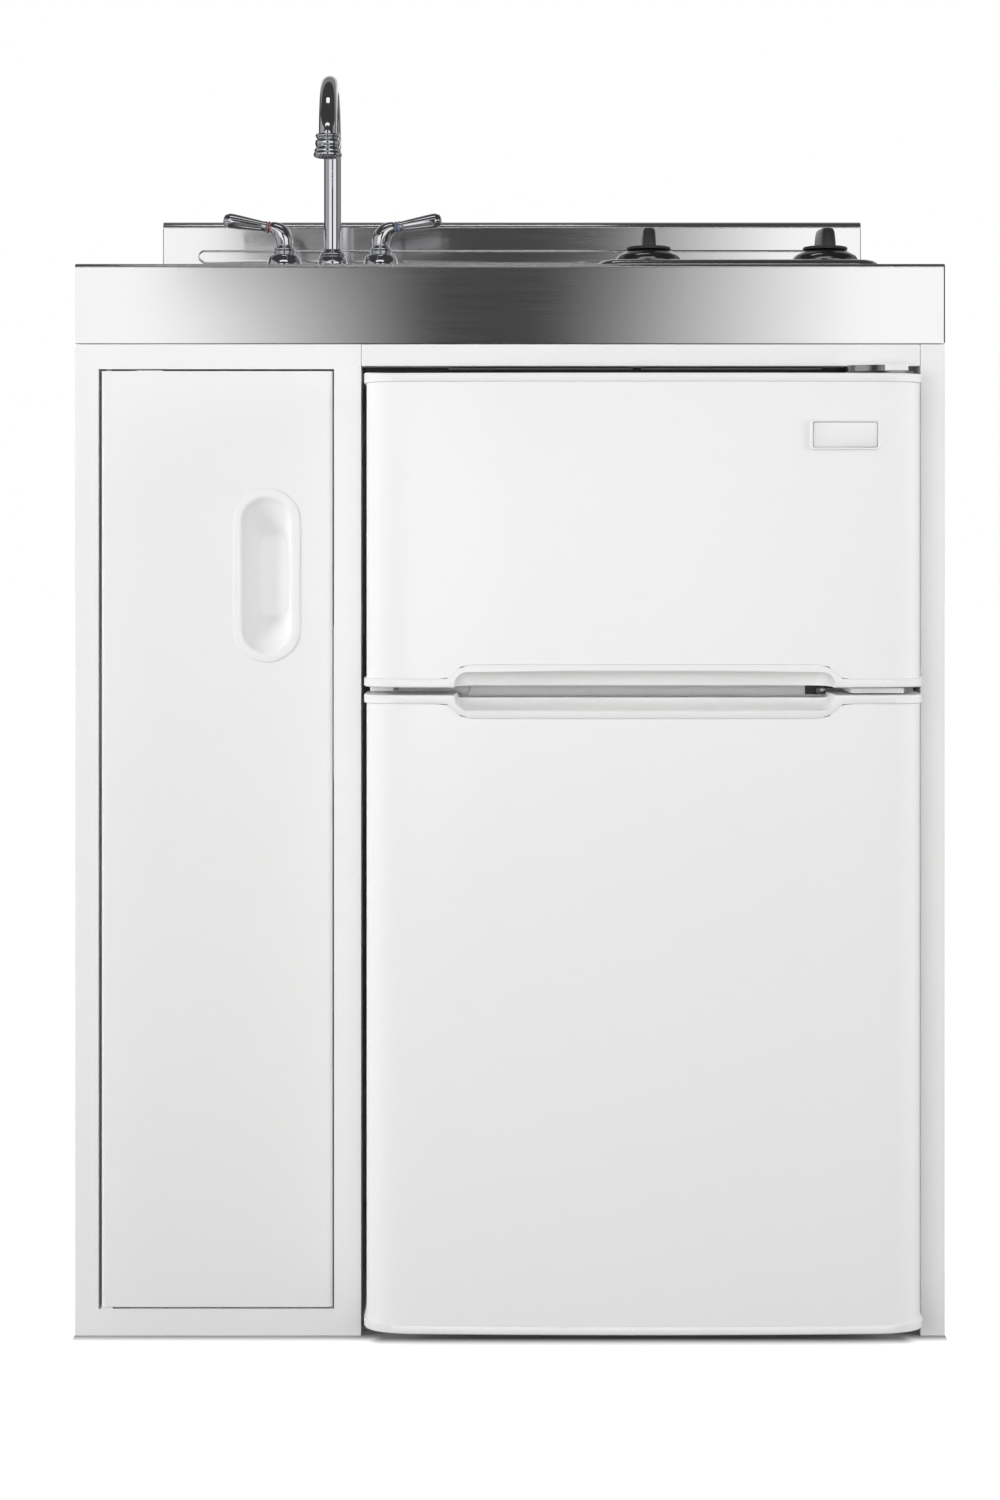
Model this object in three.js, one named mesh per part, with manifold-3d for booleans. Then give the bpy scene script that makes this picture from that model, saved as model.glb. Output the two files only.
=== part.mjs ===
// Kitchenette unit with sink and hob: a white steel cabinet with one pivot door, a stainless worktop
// with a pressed sink and a two-coil electric hob, a centreset faucet, and a two-door compact fridge.
// Millimetres, +Z up, the front faces -Y, the origin is on the floor under the middle of the whole unit.
import * as THREE from 'three';
import { mergeVertices } from 'three/addons/utils/BufferGeometryUtils.js';
import Module from 'manifold-3d';

const wasm = await Module();
wasm.setup();

// ---------------------------------------------------------------- driving dimensions
// whole unit
const UNIT_WIDTH = 762;
const CABINET_DEPTH = 610;
const WORKTOP_HEIGHT = 939;
const FRIDGE_DOOR_REACH = 82;
// clearances
const SEAM = 0.3;
const TOP_SEAM = 0.8;
// sheet metal
const SHEET = 1.5;
const RETURN = 20;
const FASCIA_HEIGHT = 70;
const FASCIA_LIP = 14;
const FASCIA_BEND = 4;
const WORKTOP_REAR_SKIRT = 30;
// backsplash
const SPLASH_HEIGHT = 104;
const SPLASH_THICKNESS = 14;
const SPLASH_BEND = 5;
const SPLASH_END_SETBACK = 0.5;
const BEAD_HALF_LENGTH = 342.5;
const BEAD_HEIGHT = 15;
const BEAD_LOW = 60.5;
const BEAD_RELIEF = 4;
// cabinet fronts
const LEFT_FRAME_WIDTH = 250.5;
const DOOR_OPENING_LEFT = 20.6;
const DOOR_OPENING_WIDTH = 206.3;
const DOOR_OPENING_LOW = 23.2;
const FRAME_TOP_WIDTH = 21.7;
const RIGHT_STILE_WIDTH = 21.4;
const TOP_RAIL_HEIGHT = 19;
const REAR_RAIL_HEIGHT = 40;
// cabinet door
const DOOR_SIDE_GAP = 2.2;
const DOOR_FREE_GAP = 1.3;
const DOOR_END_GAP = 1.8;
const DOOR_THICKNESS = 16;
const DOOR_EDGE_ROUND = 3.5;
const PIVOT_FROM_EDGE = 6.2;
const PIVOT_SETBACK = 5;
const PIVOT_PIN_RADIUS = 3;
const PIVOT_PIN_LENGTH = 14;
const PIVOT_BRACKET = 26;
const CATCH_HEIGHT = 46;
const CATCH_WIDTH = 22;
const CATCH_DEPTH = 12;
const CATCH_Z = 430;
// recessed door pull
const PULL_FROM_FREE_EDGE = 57.6;
const PULL_Z = 666;
const PULL_FLANGE_WIDTH = 59;
const PULL_FLANGE_HEIGHT = 153;
const PULL_MOUTH_WIDTH = 41;
const PULL_MOUTH_HEIGHT = 134;
const PULL_FLOOR_WIDTH = 24;
const PULL_FLOOR_HEIGHT = 70;
const PULL_FLOOR_SHIFT = 5;
const PULL_DEPTH = 13;
const PULL_WALL = 1.5;
const PULL_FLANGE = 1.8;
// plumbing opening in the cabinet back
const SERVICE_SIZE = 170;
const SERVICE_Z = 520;
// sink
const SINK_X = -189;
const SINK_FRONT = 92;
const SINK_WIDTH = 300;
const SINK_LENGTH = 340;
const SINK_DEPTH = 87;
const SINK_CORNER = 48;
const SINK_TAPER = 9;
const SINK_FLOOR_ROUND = 22;
const SINK_FLANGE = 12;
const DRAIN_SHIFT = -46;
const DRAIN_RADIUS = 42;
const DRAIN_FLANGE = 14;
const STRAINER_DEPTH = 46;
const OUTLET_RADIUS = 17.5;
const OUTLET_LENGTH = 22;
const TAILPIECE_LENGTH = 110;
const PIPE_WALL = 1.8;
// faucet
const FAUCET_SETBACK = 496;
const FAUCET_SPACING = 101.6;
const FAUCET_BASE_LENGTH = 152;
const FAUCET_BASE_WIDTH = 50;
const FAUCET_BASE_HEIGHT = 13;
const BELL_RADIUS = 18.5;
const BELL_TOP = 63.5;
const HUB_RADIUS = 15.5;
const HUB_TOP = 58.5;
const SPOUT_RADIUS = 9.2;
const SPOUT_REACH = 128;
const SPOUT_TOP = 237;
const SPOUT_SOCKET = 20;
const AERATOR_LOW = 144;
const AERATOR_RADIUS = 14.6;
const LEVER_LENGTH = 65;
const LEVER_AXIS_HEIGHT = 86;
const LEVER_RISE = 8;
const LEVER_ROOT_RADIUS = 5.4;
const LEVER_TIP_RADIUS = 7.2;
const INDEX_RING_AT = 17;
const INDEX_RING_WIDTH = 3.4;
const SHANK_RADIUS = 10;
const SHANK_LENGTH = 48;
// hob
const HOB_LEFT = 78;
const HOB_WIDTH = 254;
const HOB_FRONT = 47;
const HOB_LENGTH = 508;
const HOB_RISE = 9.5;
const HOB_CORNER = 22;
const HOB_EDGE = 4.5;
const HOB_RIM = 10;
const HOB_BOX_DEPTH = 86;
const LOUVRE_PITCH = 24;
const LOUVRE_WIDTH = 8;
const LOUVRE_LENGTH = 60;
const BURNER_SETBACKS = [250, 440];
const PAN_RADIUS = 82;
const PAN_RIM = 6;
const PAN_DEPTH = 20;
const PAN_HOLE = 22;
const COIL_TUBE = 3.9;
const COIL_INNER = 21;
const COIL_OUTER = 66;
const COIL_TURNS = 3.5;
const COIL_HEIGHT = 9;
const COIL_LEAD_DROP = 17;
const COIL_LEAD_SPACING = 20;
const TERMINAL_LENGTH = 19;
const KNOB_SETBACK = 100;
const KNOB_SPACING = 161;
const KNOB_MID_FROM_HOB_LEFT = 128.5;
const BEZEL_RADIUS = 28;
const BEZEL_TOP_RADIUS = 21.5;
const BEZEL_HEIGHT = 12.5;
const KNOB_RADIUS = 20.5;
const KNOB_SKIRT = 2.8;
const KNOB_HEIGHT = 19;
const KNOB_GRIP_WIDTH = 12.5;
const KNOB_TURNED = 12;
const SHAFT_RADIUS = 3;
const BUSHING_RADIUS = 5.6;
const SWITCH_WIDTH = 34;
const SWITCH_DEPTH = 30;
const LAMP_SPACING = 77;
const LAMP_RADIUS = 5.5;
const LAMP_HEIGHT = 7;
const LAMP_STEM = 3.8;
// fridge body
const FRIDGE_SIDE_GAP = 9;
const FRIDGE_LOW = 24.5;
const FRIDGE_TOP_GAP = 30.2;
const FRIDGE_DEPTH = 420;
const FRIDGE_WALL = 40;
const FREEZER_DROP = 246;
const MULLION_HEIGHT = 47;
const FRESH_FLOOR = 62;
const STEP_HEIGHT = 200;
const STEP_DEPTH = 140;
const LINER_ROUND = 14;
const LEDGE = 7;
const FOOT_RADIUS = 15;
const FOOT_INSET = 45;
// fridge doors
const DOOR_GASKET_SPACE = 14;
const DOOR_TOP_LAP = 0.4;
const DOOR_SPLIT_DROP = 20.6;
const DOOR_SPLIT_GAP = 6.4;
const DOOR_OVERHANG = 1.3;
const CAP_OVERHANG = 2.1;
const DOOR_CORNER_WIDTH = 42;
const DOOR_CORNER_DEPTH = 30;
const DOOR_BOW = 4;
const CAP_PROUD = 0.8;
const CAP_HEIGHT = 7.4;
const CAP_SWELL = 12.4;
const SWELL_INSET = 70;
const SWELL_RUN = 18;
const POCKET_HEIGHT = 12.9;
const POCKET_INSET = 8;
const POCKET_DEPTH = 44;
const POCKET_ROUND = 10;
const GASKET_INSET = 5.8;
const GASKET_WIDTH = 14;
const GASKET_SIDE_INSET = 10;
const GASKET_END_INSET = 12;
const DIKE_CLEARANCE = 7;
const DIKE_REACH = 26;
const DIKE_WALL = 12;
const RACK_REACH = 58;
const RACK_SIDE = 18;
const RACK_WALL = 2.5;
const RACK_HEIGHT = 55;
const RACK_LEVELS = [255, 400];
// fridge hinges
const HINGE_FROM_EDGE = 18.4;
const HINGE_SETBACK = 45;
const HINGE_PIN_RADIUS = 4;
const HINGE_PIN_LENGTH = 5;
const HINGE_PIN_REACH = 6.6;
const TOP_HINGE_TAIL = 60;
const HINGE_PLATE = 3;
const HINGE_ARM_WIDTH = 26;
const HINGE_COVER_HEIGHT = 5;
const HINGE_ROOT_WIDTH = 56;
const HINGE_SCREW_RADIUS = 3;
// fridge interior
const SHELF_Z = 372;
const SHELF_THICKNESS = 5;
const SHELF_SETBACK = 68;
const CRISPER_HEIGHT = 120;
const CRISPER_WALL = 2.5;
const CRISPER_LEAD = 6;
const CRISPER_LIP = 120;
const CRISPER_LIP_REACH = 8;
const DIAL_RADIUS = 17;
const DIAL_THICKNESS = 9;
const DIAL_DROP = 40;
const DIAL_SETBACK = 110;
const HOUSING_DEPTH = 18;
// cooling system
const COMPRESSOR_RADIUS = 55;
const COMPRESSOR_HEIGHT = 118;
const CONDENSER_RUNS = 5;
const CONDENSER_PITCH = 76;
const CONDENSER_TUBE = 2.6;
const CONDENSER_WIDTH = 360;
const CONDENSER_STRAP = 12;

// ---------------------------------------------------------------- derived planes
const HALF = UNIT_WIDTH / 2;
const FRONT = (FRIDGE_DOOR_REACH - CABINET_DEPTH) / 2;
const BACK = FRONT + CABINET_DEPTH;
const BODY_TOP = WORKTOP_HEIGHT - FASCIA_HEIGHT;
const CARCASS_TOP = BODY_TOP - TOP_SEAM;
const FRAME_RIGHT = -HALF + LEFT_FRAME_WIDTH;
const BAY_RIGHT = HALF - RIGHT_STILE_WIDTH;
const OPENING_LEFT = -HALF + DOOR_OPENING_LEFT;
const OPENING_RIGHT = OPENING_LEFT + DOOR_OPENING_WIDTH;
const OPENING_TOP = CARCASS_TOP - FRAME_TOP_WIDTH;
const PANEL_BACK = BACK - SHEET - SEAM;
const HOB_TOP = WORKTOP_HEIGHT + HOB_RISE;
const SINK_FLOOR = WORKTOP_HEIGHT - SINK_DEPTH;
const DIVIDER_TOP = SINK_FLOOR - SHEET - 2 * TOP_SEAM;

// ---------------------------------------------------------------- finishes
const finish = (color, roughness, metalness) =>
  new THREE.MeshStandardMaterial({ color, roughness, metalness });
const WHITE_STEEL = finish(0xe9eaea, 0.42, 0);
const GALVANISED = finish(0xb4b7b9, 0.5, 0.8);
const STAINLESS = finish(0xc4c5c6, 0.3, 1);
const CHROME = finish(0xe3e5e8, 0.06, 1);
const WHITE_PLASTIC = finish(0xeeeeee, 0.38, 0);
const WHITE_DOOR = finish(0xe6e7e8, 0.33, 0);
const CLEAR_PLASTIC = finish(0xdfe8ea, 0.15, 0);
const GASKET_GREY = finish(0xd5d6d6, 0.6, 0);
const BLACK_PLASTIC = finish(0x26282a, 0.35, 0);
const BLACK_STEEL = finish(0x1c1d1f, 0.55, 0.3);
const ELEMENT = finish(0x3a3a3d, 0.6, 0.7);
const LAMP = finish(0x5a2020, 0.2, 0);
const RED = finish(0xc8232b, 0.3, 0);
const BLUE = finish(0x2450b4, 0.3, 0);

// ---------------------------------------------------------------- solids from geometries
function signedVolume(points, faces) {
  let six = 0;
  for (let i = 0; i < faces.length; i += 3) {
    const corners = [faces[i], faces[i + 1], faces[i + 2]];
    const [a, b, c] = corners.map((corner) => new THREE.Vector3().fromArray(points, 3 * corner));
    six += a.dot(b.cross(c));
  }
  return six / 6;
}

function toSolid(geometry) {
  geometry.deleteAttribute('normal');
  geometry.deleteAttribute('uv');
  const merged = mergeVertices(geometry, 1e-4);
  const points = merged.attributes.position.array;
  const corners = merged.index.array;
  const faces = [];
  for (let i = 0; i < corners.length; i += 3) {
    const [a, b, c] = [corners[i], corners[i + 1], corners[i + 2]];
    if (a !== b && b !== c && c !== a) faces.push(a, b, c);
  }
  if (signedVolume(points, faces) < 0) faces.reverse();
  const mesh = new wasm.Mesh({
    numProp: 3,
    vertProperties: Float32Array.from(points),
    triVerts: Uint32Array.from(faces),
  });
  return new wasm.Manifold(mesh);
}

const join = (...solids) => solids.reduce((sum, solid) => sum.add(solid));
const cut = (base, ...tools) => tools.reduce((rest, tool) => rest.subtract(tool), base);

function block(x0, x1, y0, y1, z0, z1) {
  const geometry = new THREE.BoxGeometry(x1 - x0, y1 - y0, z1 - z0);
  geometry.translate((x0 + x1) / 2, (y0 + y1) / 2, (z0 + z1) / 2);
  return toSolid(geometry);
}

// an outline in X and Y, raised along Z
function raise(outline, z0, z1, curveSegments = 6) {
  const geometry = new THREE.ExtrudeGeometry(outline, { depth: z1 - z0, bevelEnabled: false, curveSegments });
  return toSolid(geometry.translate(0, 0, z0));
}

// an outline in X and Z, run along Y
function runY(outline, y0, y1, curveSegments = 6) {
  const geometry = new THREE.ExtrudeGeometry(outline, { depth: y1 - y0, bevelEnabled: false, curveSegments });
  return toSolid(geometry.rotateX(Math.PI / 2).translate(0, y1, 0));
}

// an outline in Y and Z, run along X
function runX(outline, x0, x1, curveSegments = 6) {
  const geometry = new THREE.ExtrudeGeometry(outline, { depth: x1 - x0, bevelEnabled: false, curveSegments });
  const turn = new THREE.Matrix4().set(0, 0, 1, x0, 1, 0, 0, 0, 0, 1, 0, 0, 0, 0, 0, 1);
  return toSolid(geometry.applyMatrix4(turn));
}

// a profile of [radius, height] pairs turned about Z; one that stands off the axis closes on itself
function lathe(profile, segments) {
  const outline = profile[0][0] > 0 ? [...profile, profile[0]] : profile;
  const points = outline.map(([radius, height]) => new THREE.Vector2(radius, height));
  return new THREE.LatheGeometry(points, segments).rotateX(Math.PI / 2);
}

function turned(profile, x, y, z, segments = 16) {
  return toSolid(lathe(profile, segments).translate(x, y, z));
}

const rod = (radius, x, y, z0, z1, segments = 12) =>
  turned([[0, 0], [radius, 0], [radius, z1 - z0], [0, z1 - z0]], x, y, z0, segments);

function roundedRectangle(x0, y0, x1, y1, radius) {
  const shape = new THREE.Shape();
  shape.absarc(x1 - radius, y0 + radius, radius, -Math.PI / 2, 0);
  shape.absarc(x1 - radius, y1 - radius, radius, 0, Math.PI / 2);
  shape.absarc(x0 + radius, y1 - radius, radius, Math.PI / 2, Math.PI);
  shape.absarc(x0 + radius, y0 + radius, radius, Math.PI, 1.5 * Math.PI);
  return shape;
}

function polygon(points) {
  return new THREE.Shape(points.map(([u, v]) => new THREE.Vector2(u, v)));
}

function tubeAlong(path, radius, steps, sides) {
  const section = Array.from({ length: sides }, (unused, i) => {
    const angle = (2 * Math.PI * i) / sides;
    return [radius * Math.cos(angle), radius * Math.sin(angle)];
  });
  const settings = { steps, extrudePath: path, bevelEnabled: false };
  return toSolid(new THREE.ExtrudeGeometry(polygon(section), settings));
}

// one ring of points round a rounded rectangle of the given size
const CORNER_STEPS = 4;
function roundedRing(centreU, centreV, width, height, radius) {
  const corners = [[1, 1], [-1, 1], [-1, -1], [1, -1]];
  return corners.flatMap(([su, sv], corner) => Array.from({ length: CORNER_STEPS }, (unused, step) => {
    const angle = (corner + (step + 0.5) / CORNER_STEPS) * (Math.PI / 2);
    const u = centreU + su * (width / 2 - radius) + radius * Math.cos(angle);
    const v = centreV + sv * (height / 2 - radius) + radius * Math.sin(angle);
    return [u, v];
  }));
}

// a skin through rings of equal count, the last joined to the first, as in a pressed bowl
function closedLoft(rings) {
  const count = rings[0].length;
  const faces = [];
  rings.forEach((ring, r) => {
    const next = (r + 1) % rings.length;
    ring.forEach((point, i) => {
      const j = (i + 1) % count;
      faces.push(r * count + i, r * count + j, next * count + j);
      faces.push(r * count + i, next * count + j, next * count + i);
    });
  });
  const geometry = new THREE.BufferGeometry();
  geometry.setAttribute('position', new THREE.Float32BufferAttribute(rings.flat(2), 3));
  geometry.setIndex(faces);
  return toSolid(geometry);
}

const unit = new THREE.Group();
function place(name, solid, material) {
  const { vertProperties, triVerts } = solid.getMesh();
  const geometry = new THREE.BufferGeometry();
  geometry.setAttribute('position', new THREE.Float32BufferAttribute(vertProperties, 3));
  geometry.setIndex(Array.from(triVerts));
  geometry.computeVertexNormals();
  const mesh = new THREE.Mesh(geometry, material);
  mesh.name = name;
  unit.add(mesh);
}

// ---------------------------------------------------------------- steel cabinet
// Left face frame: one folded sheet with the door opening, its edges turned inwards.
function frontFrame() {
  const plate = polygon([[-HALF, 0], [FRAME_RIGHT, 0], [FRAME_RIGHT, CARCASS_TOP], [-HALF, CARCASS_TOP]]);
  const openingAt = (grow) => polygon([
    [OPENING_LEFT - grow, DOOR_OPENING_LOW - grow],
    [OPENING_RIGHT + grow, DOOR_OPENING_LOW - grow],
    [OPENING_RIGHT + grow, OPENING_TOP + grow],
    [OPENING_LEFT - grow, OPENING_TOP + grow],
  ]);
  const collar = runY(openingAt(SHEET), FRONT, FRONT + RETURN);
  const opening = runY(openingAt(0), FRONT - 1, FRONT + RETURN + 1);
  const rightReturn = block(FRAME_RIGHT - SHEET, FRAME_RIGHT, FRONT, FRONT + RETURN, 0, CARCASS_TOP);
  const frame = join(runY(plate, FRONT, FRONT + SHEET), collar, rightReturn);
  const pinHole = rod(PIVOT_PIN_RADIUS + SEAM, PIVOT_X, PIVOT_Y, 0, CARCASS_TOP);
  return cut(frame, opening, pinHole);
}

// Left side panel, with its back edge and foot turned inwards.
function leftSidePanel() {
  const start = FRONT + SHEET + SEAM;
  return join(
    block(-HALF, -HALF + SHEET, start, BACK, 0, CARCASS_TOP),
    block(-HALF, -HALF + RETURN, BACK - SHEET, BACK, 0, CARCASS_TOP),
    block(-HALF, -HALF + RETURN, start, BACK, 0, SHEET),
  );
}

// The right panel is folded round the front as a stile and back into the fridge bay.
function rightSidePanel() {
  return join(
    block(HALF - SHEET, HALF, FRONT, BACK, 0, CARCASS_TOP),
    block(BAY_RIGHT, HALF, FRONT, FRONT + SHEET, 0, CARCASS_TOP),
    block(BAY_RIGHT, BAY_RIGHT + SHEET, FRONT, FRONT + RETURN, 0, CARCASS_TOP),
    block(HALF - RETURN, HALF, BACK - SHEET, BACK, 0, CARCASS_TOP),
    block(HALF - RETURN, HALF, FRONT, BACK, 0, SHEET),
  );
}

function dividerPanel() {
  const right = FRAME_RIGHT - SHEET - SEAM;
  const end = PANEL_BACK - SHEET - SEAM;
  return join(
    block(right - SHEET, right, FRONT + SHEET + SEAM, end, SHEET + SEAM, DIVIDER_TOP),
    block(right - RETURN, right, end - SHEET, end, SHEET + SEAM, DIVIDER_TOP),
  );
}

// Front rail over the fridge bay: a channel, open to the back.
function topRail() {
  const low = CARCASS_TOP - TOP_RAIL_HEIGHT;
  const section = polygon([
    [FRONT, low], [FRONT + RETURN, low], [FRONT + RETURN, low + SHEET], [FRONT + SHEET, low + SHEET],
    [FRONT + SHEET, CARCASS_TOP - SHEET], [FRONT + RETURN, CARCASS_TOP - SHEET],
    [FRONT + RETURN, CARCASS_TOP], [FRONT, CARCASS_TOP],
  ]);
  return runX(section, FRAME_RIGHT + SEAM, BAY_RIGHT - SEAM);
}

// Rear rail tying the two sides, with a shelf turned forwards under the worktop.
function rearRail() {
  const section = polygon([
    [PANEL_BACK, CARCASS_TOP], [PANEL_BACK - RETURN, CARCASS_TOP],
    [PANEL_BACK - RETURN, CARCASS_TOP - SHEET], [PANEL_BACK - SHEET, CARCASS_TOP - SHEET],
    [PANEL_BACK - SHEET, CARCASS_TOP - REAR_RAIL_HEIGHT], [PANEL_BACK, CARCASS_TOP - REAR_RAIL_HEIGHT],
  ]);
  return runX(section, -HALF + SHEET + SEAM, HALF - SHEET - SEAM);
}

const CUPBOARD_LEFT = -HALF + SHEET + SEAM;
const CUPBOARD_RIGHT = FRAME_RIGHT - 2 * SHEET - 2 * SEAM;

// Cupboard floor: a tray hung by its two upturned edges.
function cupboardFloor() {
  const top = DOOR_OPENING_LOW;
  const start = FRONT + RETURN + SEAM;
  const end = PANEL_BACK - 2 * SHEET - SEAM;
  return join(
    block(CUPBOARD_LEFT, CUPBOARD_RIGHT, start, end, top - SHEET, top),
    block(CUPBOARD_LEFT, CUPBOARD_LEFT + SHEET, start, end, top - SHEET, top + RETURN),
    block(CUPBOARD_RIGHT - SHEET, CUPBOARD_RIGHT, start, end, top - SHEET, top + RETURN),
    block(CUPBOARD_LEFT, CUPBOARD_RIGHT, start, start + SHEET, SHEET + SEAM, top),
  );
}

// Back sheet of the cupboard, with the opening for water and waste pipes.
function cupboardBack() {
  const right = FRAME_RIGHT;
  const low = SHEET + SEAM;
  const high = CARCASS_TOP - REAR_RAIL_HEIGHT - SEAM;
  const sheet = polygon([[CUPBOARD_LEFT, low], [right, low], [right, high], [CUPBOARD_LEFT, high]]);
  const middle = (CUPBOARD_LEFT + right) / 2;
  const reach = SERVICE_SIZE / 2;
  const service = roundedRectangle(
    middle - reach, SERVICE_Z - reach, middle + reach, SERVICE_Z + reach, RETURN);
  return cut(
    runY(sheet, PANEL_BACK - SHEET, PANEL_BACK),
    runY(service, PANEL_BACK - RETURN, PANEL_BACK + RETURN),
  );
}

// Thin sheet that ties the sides at the floor and carries the fridge.
function bayFloor() {
  return block(FRAME_RIGHT - RETURN, HALF - RETURN - SEAM, FRONT + RETURN + SEAM, BACK, 0, SHEET);
}

// ---------------------------------------------------------------- cabinet door
const PIVOT_X = OPENING_LEFT + DOOR_SIDE_GAP + PIVOT_FROM_EDGE;
const PIVOT_Y = FRONT + PIVOT_SETBACK;
const DOOR_LEFT = OPENING_LEFT + DOOR_SIDE_GAP;
const DOOR_RIGHT = OPENING_RIGHT - DOOR_FREE_GAP;
const DOOR_BOTTOM = DOOR_OPENING_LOW + DOOR_END_GAP;
const DOOR_HEAD = OPENING_TOP - DOOR_END_GAP;
const PULL_X = DOOR_RIGHT - PULL_FROM_FREE_EDGE;

// Door: a folded pan, open at the back, its front edges rounded, with the cut-out for the pull.
function cabinetDoor() {
  const plan = new THREE.Shape();
  plan.moveTo(DOOR_LEFT, FRONT + DOOR_THICKNESS);
  plan.lineTo(DOOR_LEFT, FRONT + DOOR_EDGE_ROUND);
  plan.absarc(DOOR_LEFT + DOOR_EDGE_ROUND, FRONT + DOOR_EDGE_ROUND, DOOR_EDGE_ROUND, Math.PI, 1.5 * Math.PI);
  plan.absarc(DOOR_RIGHT - DOOR_EDGE_ROUND, FRONT + DOOR_EDGE_ROUND, DOOR_EDGE_ROUND, -Math.PI / 2, 0);
  plan.lineTo(DOOR_RIGHT, FRONT + DOOR_THICKNESS);
  const pan = raise(plan, DOOR_BOTTOM, DOOR_HEAD, 3);
  const hollow = block(
    DOOR_LEFT + SHEET, DOOR_RIGHT - SHEET, FRONT + SHEET, FRONT + DOOR_THICKNESS + 1,
    DOOR_BOTTOM + SHEET, DOOR_HEAD - SHEET,
  );
  const mouthWidth = PULL_MOUTH_WIDTH + 2 * (PULL_WALL + SEAM);
  const mouthHeight = PULL_MOUTH_HEIGHT + 2 * (PULL_WALL + SEAM);
  const mouth = roundedRectangle(
    PULL_X - mouthWidth / 2, PULL_Z - mouthHeight / 2, PULL_X + mouthWidth / 2, PULL_Z + mouthHeight / 2,
    mouthWidth / 2,
  );
  const pinHole = rod(PIVOT_PIN_RADIUS + SEAM, PIVOT_X, PIVOT_Y, DOOR_BOTTOM - 1, DOOR_HEAD + 1);
  const stiffener = block(
    DOOR_LEFT + SHEET, DOOR_RIGHT - SHEET, FRONT + SHEET, FRONT + DOOR_THICKNESS - 2 * SHEET,
    CATCH_Z - SHEET / 2, CATCH_Z + SHEET / 2,
  );
  return cut(join(cut(pan, hollow), stiffener), runY(mouth, FRONT - 1, FRONT + SHEET + 1, 5), pinHole);
}

// Recessed pull: a moulded oval cup with a thin flange that lies on the door.
function doorPull() {
  const face = FRONT - SEAM;
  const ring = (width, height, y, shift = 0) => {
    const radius = Math.min(width, height) / 2 - 0.2;
    return roundedRing(PULL_X + shift, PULL_Z, width, height, radius).map(([u, v]) => [u, y, v]);
  };
  const wide = PULL_FLANGE_WIDTH - PULL_MOUTH_WIDTH;
  return closedLoft([
    ring(PULL_FLANGE_WIDTH, PULL_FLANGE_HEIGHT, face),
    ring(PULL_FLANGE_WIDTH - 1, PULL_FLANGE_HEIGHT - 1, face - 0.6 * PULL_FLANGE),
    ring(PULL_FLANGE_WIDTH - 5, PULL_FLANGE_HEIGHT - 5, face - PULL_FLANGE),
    ring(PULL_MOUTH_WIDTH + wide / 4, PULL_MOUTH_HEIGHT + wide / 4, face - PULL_FLANGE),
    ring(PULL_MOUTH_WIDTH, PULL_MOUTH_HEIGHT, face),
    ring(PULL_MOUTH_WIDTH - 4, PULL_MOUTH_HEIGHT - 14, face + PULL_DEPTH / 4, 1),
    ring(PULL_FLOOR_WIDTH + 4, PULL_FLOOR_HEIGHT + 12, face + PULL_DEPTH - 2, PULL_FLOOR_SHIFT - 1),
    ring(PULL_FLOOR_WIDTH, PULL_FLOOR_HEIGHT, face + PULL_DEPTH, PULL_FLOOR_SHIFT),
    ring(PULL_FLOOR_WIDTH + PULL_WALL, PULL_FLOOR_HEIGHT + PULL_WALL, face + PULL_DEPTH + PULL_WALL,
      PULL_FLOOR_SHIFT),
    ring(PULL_FLOOR_WIDTH + 8, PULL_FLOOR_HEIGHT + 18, face + PULL_DEPTH - 1, PULL_FLOOR_SHIFT - 1),
    ring(PULL_MOUTH_WIDTH - 1, PULL_MOUTH_HEIGHT - 10, face + PULL_DEPTH / 3, 1),
    ring(PULL_MOUTH_WIDTH + 2 * PULL_WALL, PULL_MOUTH_HEIGHT + 2 * PULL_WALL, face),
  ]);
}

// Pivot bracket with its pin, behind the frame; side is 1 over the door and -1 under it.
function doorPivot(side) {
  const seat = side > 0 ? OPENING_TOP + SHEET + SEAM : DOOR_OPENING_LOW - SHEET - SEAM;
  const far = seat + side * 2 * SHEET;
  const tip = side > 0 ? DOOR_HEAD - PIVOT_PIN_LENGTH : DOOR_BOTTOM + PIVOT_PIN_LENGTH;
  const plate = block(
    OPENING_LEFT + SEAM, OPENING_LEFT + PIVOT_BRACKET, FRONT + SHEET + SEAM, FRONT + RETURN - SEAM,
    Math.min(seat, far), Math.max(seat, far),
  );
  return join(plate, rod(PIVOT_PIN_RADIUS, PIVOT_X, PIVOT_Y, Math.min(tip, far), Math.max(tip, far)));
}

// Magnetic catch on the frame's turned edge, behind the door's free side.
function doorCatch() {
  const left = OPENING_RIGHT - SEAM - CATCH_WIDTH;
  const start = FRONT + DOOR_THICKNESS + SEAM;
  const body = block(left, OPENING_RIGHT - SEAM, start, start + CATCH_DEPTH, CATCH_Z - CATCH_HEIGHT / 2,
    CATCH_Z + CATCH_HEIGHT / 2);
  const slots = [-1, 1].map((side) => block(
    left + SHEET, OPENING_RIGHT - SEAM - SHEET, start - 1, start + SHEET,
    CATCH_Z + side * CATCH_HEIGHT / 6 - SHEET / 2, CATCH_Z + side * CATCH_HEIGHT / 6 + SHEET / 2,
  ));
  return cut(body, ...slots);
}

// ---------------------------------------------------------------- worktop, backsplash and sink
const HOB_X0 = HOB_LEFT;
const HOB_X1 = HOB_LEFT + HOB_WIDTH;
const HOB_Y0 = FRONT + HOB_FRONT;
const HOB_Y1 = HOB_Y0 + HOB_LENGTH;
const SINK_Y = FRONT + SINK_FRONT + SINK_LENGTH / 2;
const DRAIN_X = SINK_X + DRAIN_SHIFT;
const FAUCET_Y = FRONT + FAUCET_SETBACK;
const HANDLE_XS = [-1, 1].map((side) => SINK_X + side * FAUCET_SPACING / 2);

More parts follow.
